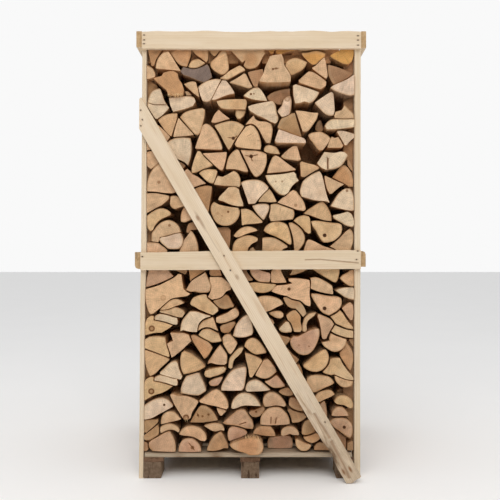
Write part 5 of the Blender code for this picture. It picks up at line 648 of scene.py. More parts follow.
def build_object(name, verts, faces, materials, face_materials=None, smooth_angle=None, attributes=None):
    """A mesh object at the origin with its materials and attributes."""
    mesh = bpy.data.meshes.new(name)
    mesh.from_pydata([tuple(v) for v in verts], [], faces)
    for material in materials:
        mesh.materials.append(material)
    if face_materials is not None:
        mesh.polygons.foreach_set("material_index", np.asarray(face_materials, dtype=np.int32))
    for key, (kind, values) in (attributes or {}).items():
        attribute = mesh.attributes.new(key, kind, "POINT")
        field_name = {"FLOAT": "value", "FLOAT_VECTOR": "vector", "FLOAT_COLOR": "color"}[kind]
        attribute.data.foreach_set(field_name, np.asarray(values, dtype=np.float32).ravel())
    item = bpy.data.objects.new(name, mesh)
    bpy.context.scene.collection.objects.link(item)
    if smooth_angle is not None:
        mesh.shade_smooth()
        mesh.set_sharp_from_angle(angle=smooth_angle)
    mesh.update()
    return item


def face_outward(item):
    """Recalculate the faces of closed shells so that they all point outward."""
    work = bmesh.new()
    work.from_mesh(item.data)
    bmesh.ops.recalc_face_normals(work, faces=work.faces[:])
    work.to_mesh(item.data)
    work.free()


def finish_piece(item, slot_name, *nodes):
    """The piece rides on the crate and stands for its solids, which it hides."""
    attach(item, "root")
    if nodes:
        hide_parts(*nodes)


def along_line(u, points):
    """Piecewise straight values through given (position, value) points."""
    xs = [p[0] for p in points]
    ys = [p[1] for p in points]
    return np.interp(u, xs, ys)


def wobble(u, seed, wave, size):
    """A smooth seeded waver of a sawn edge along u."""
    return size * field.noise(Vector((u / wave, seed * 7.31, 0.5)))


# ---------------------------------------------------------------------------
# Boards
# ---------------------------------------------------------------------------

SOFT = 0.29             # how far the middle of a softened edge stays from the board's corner


class Board:
    """A sawn board as a closed sleeve of cross-sections.

    u runs along the board, v across its width and t through its thickness from the outer face.
    place turns (u, v, t) into a point; low, high, start and end give its edges and cut ends.
    """

    def __init__(self, name, place, low, high, start, end, thickness, seed):
        self.name = name
        self.place = place
        self.low = low
        self.high = high
        self.start = start
        self.end = end
        self.thickness = thickness
        self.seed = seed
        self.step = 0.008
        self.rows = 9
        self.edge = 0.0016
        self.knots = []
        self.cracks = []
        self.wanes = []
        self.dirt_and_shade = lambda u, v, t: 0.0

    def wane(self, u, side):
        """Extra rounding of an outer edge where the board still has the tree's own edge."""
        extra = 0.0
        for at, reach, depth, which in self.wanes:
            if which == side and abs(u - at) < reach:
                extra = max(extra, depth * math.cos((u - at) / reach * math.pi / 2) ** 2)
        return extra

    def relief(self, u, v):
        """Sinking of the outer face and its dark stain at a place."""
        sink = 0.0
        stain = 0.0
        for at_u, at_v, radius_u, radius_v, dark in self.knots:
            near = math.hypot((u - at_u) / radius_u, (v - at_v) / radius_v)
            if near < 1.6:
                sink -= 0.0006 * max(0.0, 1.0 - near)
                stain = max(stain, dark * max(0.0, min(1.0, 1.6 - near)))
        for points, width, depth, dark in self.cracks:
            for (u0, v0), (u1, v1) in zip(points, points[1:]):
                if not u0 - width <= u <= u1 + width:
                    continue
                share = min(1.0, max(0.0, (u - u0) / (u1 - u0)))
                off = abs(v - (v0 + share * (v1 - v0)))
                if off < width:
                    cut = 1.0 - off / width
                    sink = max(sink, depth * cut)
                    stain = max(stain, dark * cut)
        return sink, stain

    def build(self, faces_material, ends_material):
        """The board's mesh: its sleeve of cross-sections and its two cut ends."""
        drift = self.seed * 3.7
        u_low = self.start(0.0)
        u_high = self.end(0.0)
        count = max(2, int(round((u_high - u_low) / self.step)))
        verts = []
        grains = []
        stains = []
        dirt_and_shade_values = []
        loops = []
        for i in range(count + 1):
            share = i / count
            u_mid = u_low + share * (u_high - u_low)
            low = self.low(u_mid)
            high = self.high(u_mid)
            thick = self.thickness(u_mid)
            edge_low = self.edge + self.wane(u_mid, "low")
            edge_high = self.edge + self.wane(u_mid, "high")
            inner_low = low + edge_low
            inner_high = high - edge_high
            profile = [(low, edge_low), (low + SOFT * edge_low, SOFT * edge_low)]
            for k in range(self.rows + 1):
                profile.append((inner_low + (inner_high - inner_low) * k / self.rows, 0.0))
            profile.append((high - SOFT * edge_high, SOFT * edge_high))
            profile.append((high, edge_high))
            back = self.edge
            profile.append((high, thick - back))
            profile.append((high - SOFT * back, thick - SOFT * back))
            for k in range(3):
                profile.append((high - back + (low - high + 2 * back) * k / 2, thick))
            profile.append((low + SOFT * back, thick - SOFT * back))
            profile.append((low, thick - back))
            loop = []
            for v, t in profile:
                u = self.start(v) + share * (self.end(v) - self.start(v))
                sink, stain = self.relief(u, v) if t < thick * 0.3 else (0.0, 0.0)
                rough = 0.0003 * (1.0 + field.noise(Vector((u * 60.0, v * 260.0, t * 260.0 + drift))))
                loop.append(len(verts))
                verts.append(self.place(u, v, t + sink + rough))
                grains.append((u + drift, v + 0.37 * self.seed, t))
                stains.append(stain)
                dirt_and_shade_values.append(self.dirt_and_shade(u, v, t))
            loops.append(loop)
        faces = []
        kinds = []
        size = len(loops[0])
        for a, b in zip(loops, loops[1:]):
            for k in range(size):
                n = (k + 1) % size
                faces.append((a[k], a[n], b[n], b[k]))
                kinds.append(0)
        for loop, first in ((loops[0], True), (loops[-1], False)):
            middle = len(verts)
            for rows in (verts, grains):
                rows.append(tuple(np.mean([rows[i] for i in loop], axis=0)))
            stains.append(0.0)
            dirt_and_shade_values.append(0.0)
            for k in range(size):
                n = (k + 1) % size
                faces.append((loop[n], loop[k], middle) if first else (loop[k], loop[n], middle))
                kinds.append(1)
        attributes = {
            "grain": ("FLOAT_VECTOR", grains), "stain": ("FLOAT", stains), "dirt_and_shade": ("FLOAT", dirt_and_shade_values),
        }
        item = build_object(self.name, verts, faces, [faces_material, ends_material], kinds,
                            math.radians(38), attributes)
        face_outward(item)
        return item


def solid_box(node):
    """Lowest and highest corner of a solid as two tuples."""
    low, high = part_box(node)
    return tuple(low), tuple(high)


def straight_board(name, node, axis, outer, seed, waver=0.0008):
    """A board in a solid's box: axis is its length (0, 1 or 2), outer the face axis with its sign."""
    low, high = solid_box(node)
    face_axis, sign = outer
    width_axis = 3 - axis - face_axis

    def place(u, v, t):
        point = [0.0, 0.0, 0.0]
        point[axis] = u
        point[width_axis] = v
        point[face_axis] = high[face_axis] - t if sign > 0 else low[face_axis] + t
        return tuple(point)

    def sawn_off(u, first):
        """Slow and quick waver of a sawn edge, always inward."""
        return abs(wobble(u, first, 0.16, waver)) + abs(wobble(u, first + 2, 0.03, waver * 0.3))

    def low_edge(u):
        return low[width_axis] + sawn_off(u, seed)

    def high_edge(u):
        return high[width_axis] - sawn_off(u, seed + 1)

    thick = high[face_axis] - low[face_axis]
    return Board(name, place, low_edge, high_edge, lambda v: low[axis], lambda v: high[axis],
                 lambda u: thick, seed)


def deck_shade_and_dirt(u, v, t):
    """Painted shade on a deck board's top, where the logs overhang it, and two dirty knots on the front edge.
    """
    # The whole top is darkened: painted shade under the overhanging logs.
    if t < 0.001:
        return 0.45
    if v > -0.49:
        return 0.0
    return math.exp(-((u + 0.343) / 0.024) ** 2) + 1.3 * math.exp(-((u + 0.163) / 0.030) ** 2)


def build_pallet():
    """Blocks, stringers and deck boards, each in the box of its solid."""
    seed = 11
    for row in ("front", "middle", "back"):
        for column in ("left", "centre", "right"):
            seed += 1
            node = "block_" + row + "_" + column
            outer = (0, 1) if column == "right" else (0, -1)
            board = straight_board(node + "_sawn", node, 1, outer, seed, 0.0012)
            board.edge = 0.003
            board.step = 0.006
            board.rows = 8
            finish_piece(board.build(PINE_GREY, PINE_GREY_END), "pallet_block", node)
    for column in ("left", "centre", "right"):
        seed += 1
        node = "stringer_" + column
        board = straight_board(node + "_sawn", node, 1, (2, -1), seed, 0.002)
        board.edge = 0.002
        finish_piece(board.build(PINE_DARK, PINE_DARK_END), "pallet_stringer", node)
    for number in range(1, 8):
        seed += 1
        node = "deck_board_" + str(number)
        board = straight_board(node + "_sawn", node, 0, (2, 1), seed, 0.003)
        board.edge = 0.0022
        board.rows = 7
        board.dirt_and_shade = deck_shade_and_dirt
        finish_piece(board.build(PINE_DECK, PINE_END), "pallet_deck", node)


# Post faces across x in mm at heights in mm: (height, outer face, inner face).
LEFT_POST = ((0, -532, -511.5), (300, -529, -508), (850, -526, -503), (1090, -522, -496), (1500, -519, -496),
             (2123, -515, -496))
RIGHT_POST = ((0, 523, 494), (520, 523, 496), (1040, 524, 495.5), (2120, 526, 496))
MIDDLE_LEFT_POST = ((0, -531, -511.5), (1040, -522.5, -496), (2110, -516.5, -496))
MIDDLE_RIGHT_POST = ((0, 522, 496), (1040, 523.5, 496), (2110, 525, 496))


def post_board(name, node, profile, seed):
    """A post: u is height, v runs back from its front edge, t inward from its outer face."""
    low, high = solid_box(node)
    heights = [p[0] * MM for p in profile]
    outer = [p[1] * MM for p in profile]
    thickness = [abs(p[2] - p[1]) * MM for p in profile]
    inward = -1.0 if outer[0] > 0.0 else 1.0

    def place(u, v, t):
        return (np.interp(u, heights, outer) + inward * t, v, u)

    def low_edge(u):
        return low[1] + abs(wobble(u, seed, 0.25, 0.0012))

    def high_edge(u):
        return high[1] - abs(wobble(u, seed + 1, 0.25, 0.0012))

    board = Board(name, place, low_edge, high_edge, lambda v: low[2], lambda v: high[2],
                  lambda u: float(np.interp(u, heights, thickness)), seed)
    board.edge = 0.0018
    board.rows = 6
    board.step = 0.010
    return board


def build_posts():
    """Six posts; the corner posts' narrow edges face the front and the back."""
    posts = (
        ("post_front_left", LEFT_POST), ("post_front_right", RIGHT_POST),
        ("post_middle_left", MIDDLE_LEFT_POST), ("post_middle_right", MIDDLE_RIGHT_POST),
        ("post_back_left", LEFT_POST), ("post_back_right", RIGHT_POST),
    )
    for seed, (node, profile) in enumerate(posts, start=41):
        board = post_board(node + "_sawn", node, profile, seed)
        finish_piece(board.build(PINE_BOARD, PINE_END), "crate_post", node)


# Upper edges of the two front rails in mm: (x, z).
TOP_RAIL_UPPER = ((-514, 2121), (-440, 2124), (-330, 2122), (-200, 2126), (-120, 2120), (-20, 2119),
                  (90, 2124), (200, 2122), (300, 2126), (380, 2121), (460, 2124), (523, 2121))
TOP_RAIL_LOWER = ((-514, 2040), (-200, 2038), (0, 2038), (300, 2041), (523, 2041))
MID_RAIL_UPPER = ((-521, 1076), (-300, 1080), (-200, 1083), (60, 1084), (300, 1086), (522, 1088))
RAIL_THICKNESS = 0.022
MID_RAIL_LOWER = ((-521, 992), (-250, 993), (0, 995), (250, 996), (522, 998))


# The dark drying crack near the right end of the middle rail, in metres.
RAIL_CRACK = ((0.262, 1.041), (0.330, 1.043), (0.400, 1.036), (0.510, 1.026))


def rail_board(name, upper, lower, turned, seed):
    """A rail across the front, or turned half round across the back."""
    low, high = solid_box("rail_top_front")
    side = -1.0 if turned else 1.0
    top = [(x * MM, z * MM) for x, z in upper]
    bottom = [(x * MM, z * MM) for x, z in lower]

    def place(u, v, t):
        return (side * u, side * (low[1] + t), v)

    def low_edge(u):
        return along_line(u, bottom) + abs(wobble(u, seed, 0.05, 0.0008))

    def high_edge(u):
        return along_line(u, top) - abs(wobble(u, seed + 1, 0.05, 0.0022))

    thick = high[1] - low[1]
    board = Board(name, place, low_edge, high_edge, lambda v: top[0][0], lambda v: top[-1][0],
                  lambda u: thick, seed)
    board.step = 0.004
    board.rows = 34
    return board


def stain_nails(board):
    """Dark wet rings in the wood around the nails of a front or back rail."""
    share = (EYE_DISTANCE - RAIL_THICKNESS) / EYE_DISTANCE
    for x, z in RAIL_NAILS:
        u, v = from_eye(x, z, share)
        board.knots.append((u, v, 7 * MM, 3.4 * MM, 0.55))


def build_rails():
    """Top and middle rails on all four sides."""
    for turned, side in ((False, "front"), (True, "back")):
        board = rail_board("rail_top_" + side + "_sawn", TOP_RAIL_UPPER, TOP_RAIL_LOWER, turned, 61 + turned)
        stain_nails(board)
        finish_piece(board.build(PINE_BOARD, PINE_END), "crate_rail", "rail_top_" + side)
        board = rail_board("rail_mid_" + side + "_sawn", MID_RAIL_UPPER, MID_RAIL_LOWER, turned, 64 + turned)
        stain_nails(board)
        board.cracks.append((RAIL_CRACK, 0.0040, 0.0035, 0.75))
        finish_piece(board.build(PINE_BOARD, PINE_END), "crate_rail", "rail_mid_" + side)
    for seed, side in ((67, "left"), (70, "right")):
        sign = -1 if side == "left" else 1
        for level in ("top", "mid"):
            node = "rail_" + level + "_" + side
            board = straight_board(node + "_sawn", node, 1, (0, sign), seed, 0.0015)
            board.rows = 14
            if level == "mid":
                board.wanes.append((-0.5, 0.12, 0.014, "high" if side == "right" else "low"))
            finish_piece(board.build(PINE_BOARD, PINE_END), "crate_rail", node)
            seed += 1


# Brace, in its own frame: u down along it in mm, v up to the right across it in mm.
BRACE_HEEL = (-526.0, 1659.5)           # u = 0, v = 0
BRACE_WAY = (0.5040, -0.8637)
BRACE_ACROSS = (0.8637, 0.5040)
BRACE_START = ((0.0, 0.0), (72.1, -123.5), (84.7, -125.4))          # (v, u) of the sawn top end
BRACE_END = ((0.0, 1921.0), (4.1, 1921.5), (25.0, 1933.0), (78.7, 1929.7), (84.5, 1905.0))
BRACE_LOW = ((-130.0, 0.0), (0.0, 0.0), (900.0, 1.0), (1560.0, 2.0), (1640.0, 3.0), (1655.0, 6.0),
             (1700.0, 5.0), (1728.0, 9.0), (1750.0, 13.0), (1764.0, 10.0), (1788.0, 12.0), (1812.0, 6.0),
             (1850.0, 3.0), (1921.0, 4.0))
BRACE_HIGH = ((-130.0, 84.7), (500.0, 83.5), (1000.0, 82.0), (1500.0, 82.0), (1905.0, 81.0))
BRACE_THICKNESS = 0.0217
BRACE_NOTCH = 1.765     # how far down the brace its waney notch lies, in metres
BRACE_STAND_OFF = ((0.0, 48.0), (1080.0, 22.7), (1810.0, 0.3))      # (height, gap behind it) in mm


def brace_gap(z_mm):
    """How far in metres the brace stands off the posts' plane at a height."""
    return float(along_line(z_mm, BRACE_STAND_OFF)) * MM


def brace_board(name, turned, seed):
    """The diagonal board, bowed over the middle rail."""
    side = -1.0 if turned else 1.0
    lowest = solid_box("brace_front")[0][2]

    def place(u, v, t):
        x = BRACE_HEEL[0] * MM + BRACE_WAY[0] * u + BRACE_ACROSS[0] * v
        z = BRACE_HEEL[1] * MM + BRACE_WAY[1] * u + BRACE_ACROSS[1] * v
        y = FRONT_Y - brace_gap(z / MM) - BRACE_THICKNESS + t
        return (side * x, side * y, max(z, lowest))

    def low_edge(u):
        return along_line(u / MM, BRACE_LOW) * MM + abs(wobble(u, seed, 0.06, 0.0010))

    def high_edge(u):
        return along_line(u / MM, BRACE_HIGH) * MM - abs(wobble(u, seed + 1, 0.06, 0.0010))

    board = Board(name, place, low_edge, high_edge,
                  lambda v: float(along_line(v / MM, BRACE_START)) * MM,
                  lambda v: float(along_line(v / MM, BRACE_END)) * MM,
                  lambda u: BRACE_THICKNESS, seed)
    board.step = 0.004
    board.rows = 36

    def dirt_and_shade(u, v, _):
        """Splashed dirt towards the foot, and the dark broken wood in the notch."""
        low_part = max(0.0, min(0.55, u - 1.2))
        torn = math.exp(-((u - BRACE_NOTCH) / 0.050) ** 2 - ((v - 0.014) / 0.016) ** 2)
        return low_part + 1.4 * torn

    board.dirt_and_shade = dirt_and_shade
    return board


def brace_place(x_mm, z_mm):
    """(u, v) in metres on the brace of a point seen on the posts' plane in mm."""
    gap = brace_gap(z_mm) + BRACE_THICKNESS
    share = (EYE_DISTANCE - gap) / EYE_DISTANCE
    x = x_mm * MM * share - BRACE_HEEL[0] * MM
    z = EYE_HEIGHT + (z_mm * MM - EYE_HEIGHT) * share - BRACE_HEEL[1] * MM
    return (x * BRACE_WAY[0] + z * BRACE_WAY[1], x * BRACE_ACROSS[0] + z * BRACE_ACROSS[1])


def build_braces():
    """The front brace with its knots, cracks and waney notch, and its turned twin behind."""
    for turned, node in ((False, "brace_front"), (True, "brace_back")):
        board = brace_board(node + "_sawn", turned, 75 + turned)
        for x, z, ru, rv, dark in BRACE_KNOTS:
            u, v = brace_place(x, z)
            board.knots.append((u, v, ru * MM, rv * MM, dark))
        for points, width, depth, dark in BRACE_CRACKS:
            line = [brace_place(x, z) for x, z in points]
            board.cracks.append((line, width * MM, depth * MM, dark))
        for x, z in BRACE_NAILS:
            u, v = brace_place(x, z)
            board.knots.append((u, v, 6 * MM, 4 * MM, 0.5))
        board.wanes.append((BRACE_NOTCH, 0.075, 0.013, "low"))
        finish_piece(board.build(PINE_BRACE, PINE_END), "crate_brace", node)


# Knots: x, z seen on the posts' plane in mm, half length along and across in mm, darkness.
BRACE_KNOTS = (
    (-238, 1225, 42, 6, 0.50),
    (-250, 1240, 14, 7, 0.70),
    (-64, 959, 12, 7, 0.45),
    (278, 316, 12, 8, 0.35),
    (475, 43, 14, 5, 0.90),
    (443, 31, 14, 5, 0.85),
    (345, 165, 20, 8, 0.55),
    (362, 130, 16, 6, 0.50),
)
# Cracks: points seen on the posts' plane in mm from the top down, half width and depth in mm.
BRACE_CRACKS = (
    (((-210, 1180), (-170, 1110), (-150, 1080)), 2.5, 1.0, 0.4),
    (((222, 401), (242, 368), (277, 325), (290, 306)), 6.0, 2.0, 0.35),
    (((308, 300), (330, 262), (352, 232), (372, 200)), 11.0, 6.0, 0.55),
    (((322, 262), (342, 222), (356, 190), (364, 160)), 5.0, 3.0, 0.45),
    (((390, 168), (412, 122), (440, 70), (466, 10)), 11.0, 6.0, 0.55),
    (((446, 150), (478, 84)), 4.0, 2.0, 0.3),
    (((358, 212), (420, 140), (494, 61)), 3.0, 1.0, 0.18),
)


# ---------------------------------------------------------------------------
# Firewood
# ---------------------------------------------------------------------------

# The b tone is partly painted shade: it darkens the logs, fillers and masses that lie back in shadow.
TONES = {"p": "#DCC2A4", "t": "#D2AE88", "w": "#D0AB81", "o": "#C3956B", "b": "#AE8763", "r": "#C49D7E",
         "g": "#7D6A61", "h": "#CB9757"}

# Marks on log ends, seen on the posts' plane in mm: x, z, radius, darkness.  Knots, piths and holes.
END_MARKS = (
    (2, 1828, 5, 0.7), (16, 1830, 4, 0.5), (106, 1939, 5, 0.6), (120, 1942, 5, 0.5), (175, 1807, 12, 0.45),
    (-82, 1619, 7, 0.9), (3, 1533, 8, 0.9), (120, 1412, 4, 0.4), (150, 1413, 4, 0.45), (-436, 1410, 7, 0.45),
    (-155, 1262, 7, 0.25), (-135, 1250, 4, 0.3), (-106, 1269, 5, 0.65), (352, 1157, 8, 1.0),
    (352, 810, 8, 1.0), (-470, 714, 13, 0.75), (-472, 415, 13, 0.8), (230, 635, 5, 0.35), (278, 630, 4, 0.5),
    (183, 902, 7, 0.8), (-306, 292, 13, 0.8), (-250, 302, 5, 0.7), (-228, 297, 5, 0.6), (-200, 305, 5, 0.7),
    (-276, 148, 8, 0.6), (27, 315, 5, 0.7), (446, 245, 7, 0.95), (-411, 350, 5, 0.85), (-386, 1205, 6, 0.5),
    (458, 1369, 6, 0.5), (125, 1210, 10, 0.30), (215, 1300, 7, 0.4), (300, 325, 7, 0.45),
    (-415, 860, 12, 0.30),
)
# Drying checks across log ends, seen on the posts' plane in mm: points, half width, depth.
END_CHECKS = (
    (((-490, 1790), (-460, 1780), (-400, 1780)), 3.0, 5.0),
    (((368, 1522), (367, 1498), (368, 1473)), 6.0, 9.0),
    (((-20, 1536), (2, 1533), (30, 1540)), 3.5, 5.0),
    (((2, 1533), (8, 1512)), 3.5, 5.0),
    (((-100, 1622), (-82, 1619), (-66, 1629)), 3.5, 5.0),
    (((173, 863), (200, 852)), 4.0, 5.0),
    (((415, 486), (440, 474)), 4.0, 5.0),
    (((-50, 260), (-22, 269)), 4.0, 5.0),
    (((98, 292), (97, 262)), 3.5, 5.0),
    (((122, 287), (119, 262)), 3.5, 5.0),
    (((-254, 312), (-246, 292)), 3.5, 3.0),
    (((-290, 165), (-268, 138)), 4.0, 3.0),
    (((102, 1940), (128, 1942)), 3.5, 4.0),
)


def seen_share(depth):
    """How much smaller a thing is that stands out by depth, against what is seen on the plane."""
    return (EYE_DISTANCE - DEPTH_SHARE * depth) / EYE_DISTANCE


def from_eye(x_mm, z_mm, share):
    """A place seen on the posts' plane, with the view's perspective taken out."""
    return (x_mm * MM * share, EYE_HEIGHT + (z_mm * MM - EYE_HEIGHT) * share)


def round_flank(points):
    """Give a log that lies against the posts a rounded flank in place of a flat one."""
    out = []
    for k, (x, z) in enumerate(points):
        x_next, z_next = points[(k + 1) % len(points)]
        x_last, z_last = points[k - 1]
        rise = z_next - z
        flat = abs(x) > SIDE_LIMIT - 1e-6 and x == x_next and abs(rise) > 0.012
        after_flat = abs(x) > SIDE_LIMIT - 1e-6 and x == x_last and abs(z - z_last) > 0.012
        side = math.copysign(1.0, x)
        if flat or after_flat:
            pull = min(0.007, 0.14 * abs(rise if flat else z - z_last))
            out.append((x - side * pull, z))
        else:
            out.append((x, z))
        if flat:
            out.append((x, z + 0.28 * rise))
            out.append((x, z + 0.72 * rise))
    return out


def read_ends():
    """Tone, depth in metres and outline in metres of every traced log end."""
    lines = []
    for line in LOG_ENDS.strip("\n").split("\n"):
        if line.startswith("  "):
            lines[-1] += line[1:]
        else:
            lines.append(line)
    ends = []
    for line in lines:
        words = line.split()
        depth = int(words[1]) * MM
        share = seen_share(depth)
        steps = np.array([int(word) for word in words[2:]]).reshape(-1, 2)
        points = [from_eye(x, z, share) for x, z in steps.cumsum(axis=0).tolist()]
        points = [(max(-SIDE_LIMIT, min(SIDE_LIMIT, x)), max(DECK_TOP, z)) for x, z in points]
        area = sum(x0 * z1 - x1 * z0 for (x0, z0), (x1, z1) in zip(points, points[1:] + points[:1]))
        if area < 0.0:
            points.reverse()
        ends.append((words[0], depth, round_flank(points)))
    return ends


def turning(before, at, after):
    """Angle in radians by which an outline turns at a corner, positive to the left."""
    ax, az = at[0] - before[0], at[1] - before[1]
    bx, bz = after[0] - at[0], after[1] - at[1]
    return math.atan2(ax * bz - az * bx, ax * bx + az * bz)


def spline(points, spacing):
    """Evenly spaced points along a soft curve through the given ones, without the last."""
    out = []
    for i in range(len(points) - 1):
        p1 = np.array(points[i])
        p2 = np.array(points[i + 1])
        p0 = np.array(points[i - 1]) if i > 0 else 2 * p1 - p2
        p3 = np.array(points[i + 2]) if i + 2 < len(points) else 2 * p2 - p1
        count = max(1, int(round(np.linalg.norm(p2 - p1) / spacing)))
        for k in range(count):
            s = k / count
            out.append(0.5 * (2 * p1 + (p2 - p0) * s + (2 * p0 - 5 * p1 + 4 * p2 - p3) * s * s
                              + (3 * p1 - p0 - 3 * p2 + p3) * s ** 3))
    return out


def fitted_circle(points):
    """Centre and radius of the circle that lies nearest to the points."""
    p = np.array(points)
    a = np.column_stack((2 * p, np.ones(len(p))))
    solution = np.linalg.lstsq(a, (p ** 2).sum(axis=1), rcond=None)[0]
    centre = solution[:2]
    return centre, math.sqrt(max(1e-6, solution[2] + centre @ centre))


CORNER_TURN = math.radians(34)          # an outline that turns more than this has a corner there
BARK_BEND = math.radians(24)            # a side that bends more than this is the tree's own round
BARK_BEND_AT_FLANK = math.radians(44)
CORNER_CHOP = 0.0012                    # how much of a side a softened corner takes up


def log_section(points, spacing, rng):
    """Sampled outline, whether each stretch is bark, and pith and girth of a log."""
    count = len(points)
    turns = [turning(points[i - 1], points[i], points[(i + 1) % count]) for i in range(count)]
    corners = [i for i in range(count) if abs(turns[i]) > CORNER_TURN]
    if len(corners) < 2:
        corners = [0]
    samples = []
    bark = []
    rounds = []
    for n, first in enumerate(corners):
        last = corners[(n + 1) % len(corners)]
        length = (last - first) % count or count
        run = [points[(first + k) % count] for k in range(length + 1)]
        bent = sum(turns[(first + k) % count] for k in range(1, length))
        at_flank = any(abs(x) > SIDE_LIMIT - 0.001 for x, _ in run)
        is_bark = bent > (BARK_BEND_AT_FLANK if at_flank else BARK_BEND)
        curve = spline(run, spacing)
        if len(corners) > 1 and len(curve) > 1:
            ahead = curve[1] - curve[0]
            reach = max(1e-6, np.linalg.norm(ahead))
            curve[0] = curve[0] + ahead * min(0.4, CORNER_CHOP / reach)
            end = np.array(run[-1])
            back = curve[-1] - end
            reach = max(1e-6, np.linalg.norm(back))
            curve.append(end + back * min(0.4, CORNER_CHOP / reach))
        samples.extend(curve)
        bark.extend([is_bark] * len(curve))
        if is_bark:
            rounds.append((bent, curve))
    middle = np.mean(samples, axis=0)
    girth = 1.0
    if rounds:
        bent, curve = max(rounds, key=lambda r: r[0] * len(r[1]))
        pith, girth = fitted_circle(curve)
        if not 0.02 < girth < 0.17 or np.linalg.norm(pith - middle) > 0.16:
            girth = 1.0
    if girth == 1.0:
        way = rng.uniform(0, 2 * math.pi)
        pith = middle + rng.uniform(0.05, 0.13) * np.array((math.cos(way), math.sin(way)))
    samples = np.array(samples)
    return samples + FAT * outward_normals(samples), bark, pith, girth


def outward_normals(outline):
    """Unit normals of an anticlockwise outline in the x and z plane, pointing out."""
    ahead = np.roll(outline, -1, axis=0) - np.roll(outline, 1, axis=0)
    normals = np.column_stack((ahead[:, 1], -ahead[:, 0]))
    return normals / np.maximum(1e-9, np.linalg.norm(normals, axis=1))[:, None]


def inside(point, outline):
    """Whether a point lies within an outline."""
    x, z = point
    x0, z0 = outline[:, 0], outline[:, 1]
    x1, z1 = np.roll(x0, -1), np.roll(z0, -1)
    cross = (z0 > z) != (z1 > z)
    with np.errstate(divide="ignore", invalid="ignore"):
        at = x0 + (z - z0) / (z1 - z0) * (x1 - x0)
    return bool(np.count_nonzero(cross & (x < at)) % 2)


def rim_distances(points, outline, chosen=None):
    """Distance of each point from the nearest side of the outline, or from the chosen sides."""
    a = outline
    b = np.roll(outline, -1, axis=0)
    if chosen is not None:
        a = a[chosen]
        b = b[chosen]
    if not len(a):
        return np.full(len(points), 0.05)
    ab = b - a
    length = np.maximum(1e-12, (ab ** 2).sum(axis=1))
    ap = points[:, None, :] - a[None]
    share = np.clip((ap * ab[None]).sum(axis=2) / length[None], 0.0, 1.0)
    off = ap - share[..., None] * ab[None]
    return np.sqrt((off ** 2).sum(axis=2)).min(axis=1)


# How the points of an end face lie: a ring inside its rim, nothing nearer to the rim, and how close
# two points may come, in metres.
END_INNER_RING = 0.004
END_CLEAR_RIM = 0.0028
END_CLOSEST = 0.0016


def end_face(outline, bark, marks, checks, spacing):
    """Points and triangles over a log's end, with sinking and darkness at marks and checks."""
    extra = []
    normals = outward_normals(outline)
    extra.extend(outline - END_INNER_RING * normals)
    low = outline.min(axis=0)
    high = outline.max(axis=0)
    for i, x in enumerate(np.arange(low[0], high[0], spacing)):
        for z in np.arange(low[1] + (i % 2) * spacing / 2, high[1], spacing):
            extra.append(np.array((x, z)))
    for x, z, radius, dark in marks:
        extra.append(np.array((x, z)))
        for ring, count in ((0.45, 6), (0.95, 12), (1.35, 14)):
            for k in range(count):
                way = 2 * math.pi * k / count
                extra.append(np.array((x + ring * radius * math.cos(way), z + ring * radius * math.sin(way))))
    for line, width, depth in checks:
        for (x0, z0), (x1, z1) in zip(line, line[1:]):
            length = math.hypot(x1 - x0, z1 - z0)
            side = np.array((-(z1 - z0), x1 - x0)) / length
            for k in range(int(length / 0.005) + 2):
                s = min(1.0, k * 0.005 / length)
                at = np.array((x0 + s * (x1 - x0), z0 + s * (z1 - z0)))
                extra.append(at)
                for off in (width, -width, 2.2 * width, -2.2 * width):
                    extra.append(at + side * off)
    extra = np.array(extra)
    keep = np.array([inside(p, outline) for p in extra])
    extra = extra[keep]
    extra = extra[rim_distances(extra, outline) > END_CLEAR_RIM]
    if len(extra):
        cells = {}
        for p in extra:
            cells.setdefault((round(p[0] / END_CLOSEST), round(p[1] / END_CLOSEST)), p)
        extra = np.array(list(cells.values()))
        points = np.vstack((outline, extra))
    else:
        points = outline
    loop = [list(range(len(outline)))]
    flat, _, triangles, owners, _, _ = delaunay_2d_cdt([Vector(p) for p in points], [], loop, 1, 1e-7)
    first = {}
    for new, old in enumerate(owners):
        if old:
            first[new] = old[0]
    points = np.array([(p[0], p[1]) for p in flat])
    rim = rim_distances(points, outline, np.array(bark))
    sink = np.zeros(len(points))
    dark = np.zeros(len(points))
    for x, z, radius, darkness in marks:
        near = np.hypot(points[:, 0] - x, points[:, 1] - z) / radius
        edge = np.clip((1.30 - near) / 0.35, 0.0, 1.0)
        body = 0.5 + 0.5 * np.exp(-((near - 0.95) / 0.22) ** 2) if radius > 0.0085 else 1.0
        dark = np.maximum(dark, edge * body * darkness)
        if darkness > 0.95:
            sink = np.maximum(sink, 0.006 * np.clip(1.2 - near, 0.0, 1.0))
    for line, width, depth in checks:
        for (x0, z0), (x1, z1) in zip(line, line[1:]):
            a = np.array((x0, z0))
            ab = np.array((x1, z1)) - a
            share = np.clip(((points - a) @ ab) / (ab @ ab), 0.0, 1.0)
            off = np.linalg.norm(points - a - share[:, None] * ab, axis=1)
            cut = np.clip(1.0 - off / width, 0.0, 1.0)
            sink = np.maximum(sink, depth * cut)
            dark = np.maximum(dark, 0.7 * cut)
    return points, triangles, first, rim, sink, dark


LOG_REACH = 0.0399      # the furthest that a log stands out of the posts' plane
RAIL_HEIGHTS = ((2.036, 2.130), (0.990, 1.090))


def front_limit(outline):
    """How far a log may stand out where a rail or the brace passes in front of it."""
    limit = LOG_REACH
    for x, z in outline:
        if any(low < z < high for low, high in RAIL_HEIGHTS):
            limit = min(limit, -0.0015)
        bx = x - BRACE_HEEL[0] * MM
        bz = z - BRACE_HEEL[1] * MM
        across = bx * BRACE_ACROSS[0] + bz * BRACE_ACROSS[1]
        if -0.004 < across < 0.090 and z < 1.82:
            limit = min(limit, brace_gap(z / MM) - 0.002)
    return limit


BARK_RELIEF = 0.0022
SPLIT_RELIEF = 0.0016
FLANK_HEIGHT = 1.86     # of the chips between the outer logs and the posts
FLANK_WIDTH = 0.042
SPREAD_FROM = -0.43     # left of this, low logs spread towards the leaning post
SAW_BEVEL = 0.0009      # the worn edge about a log's end


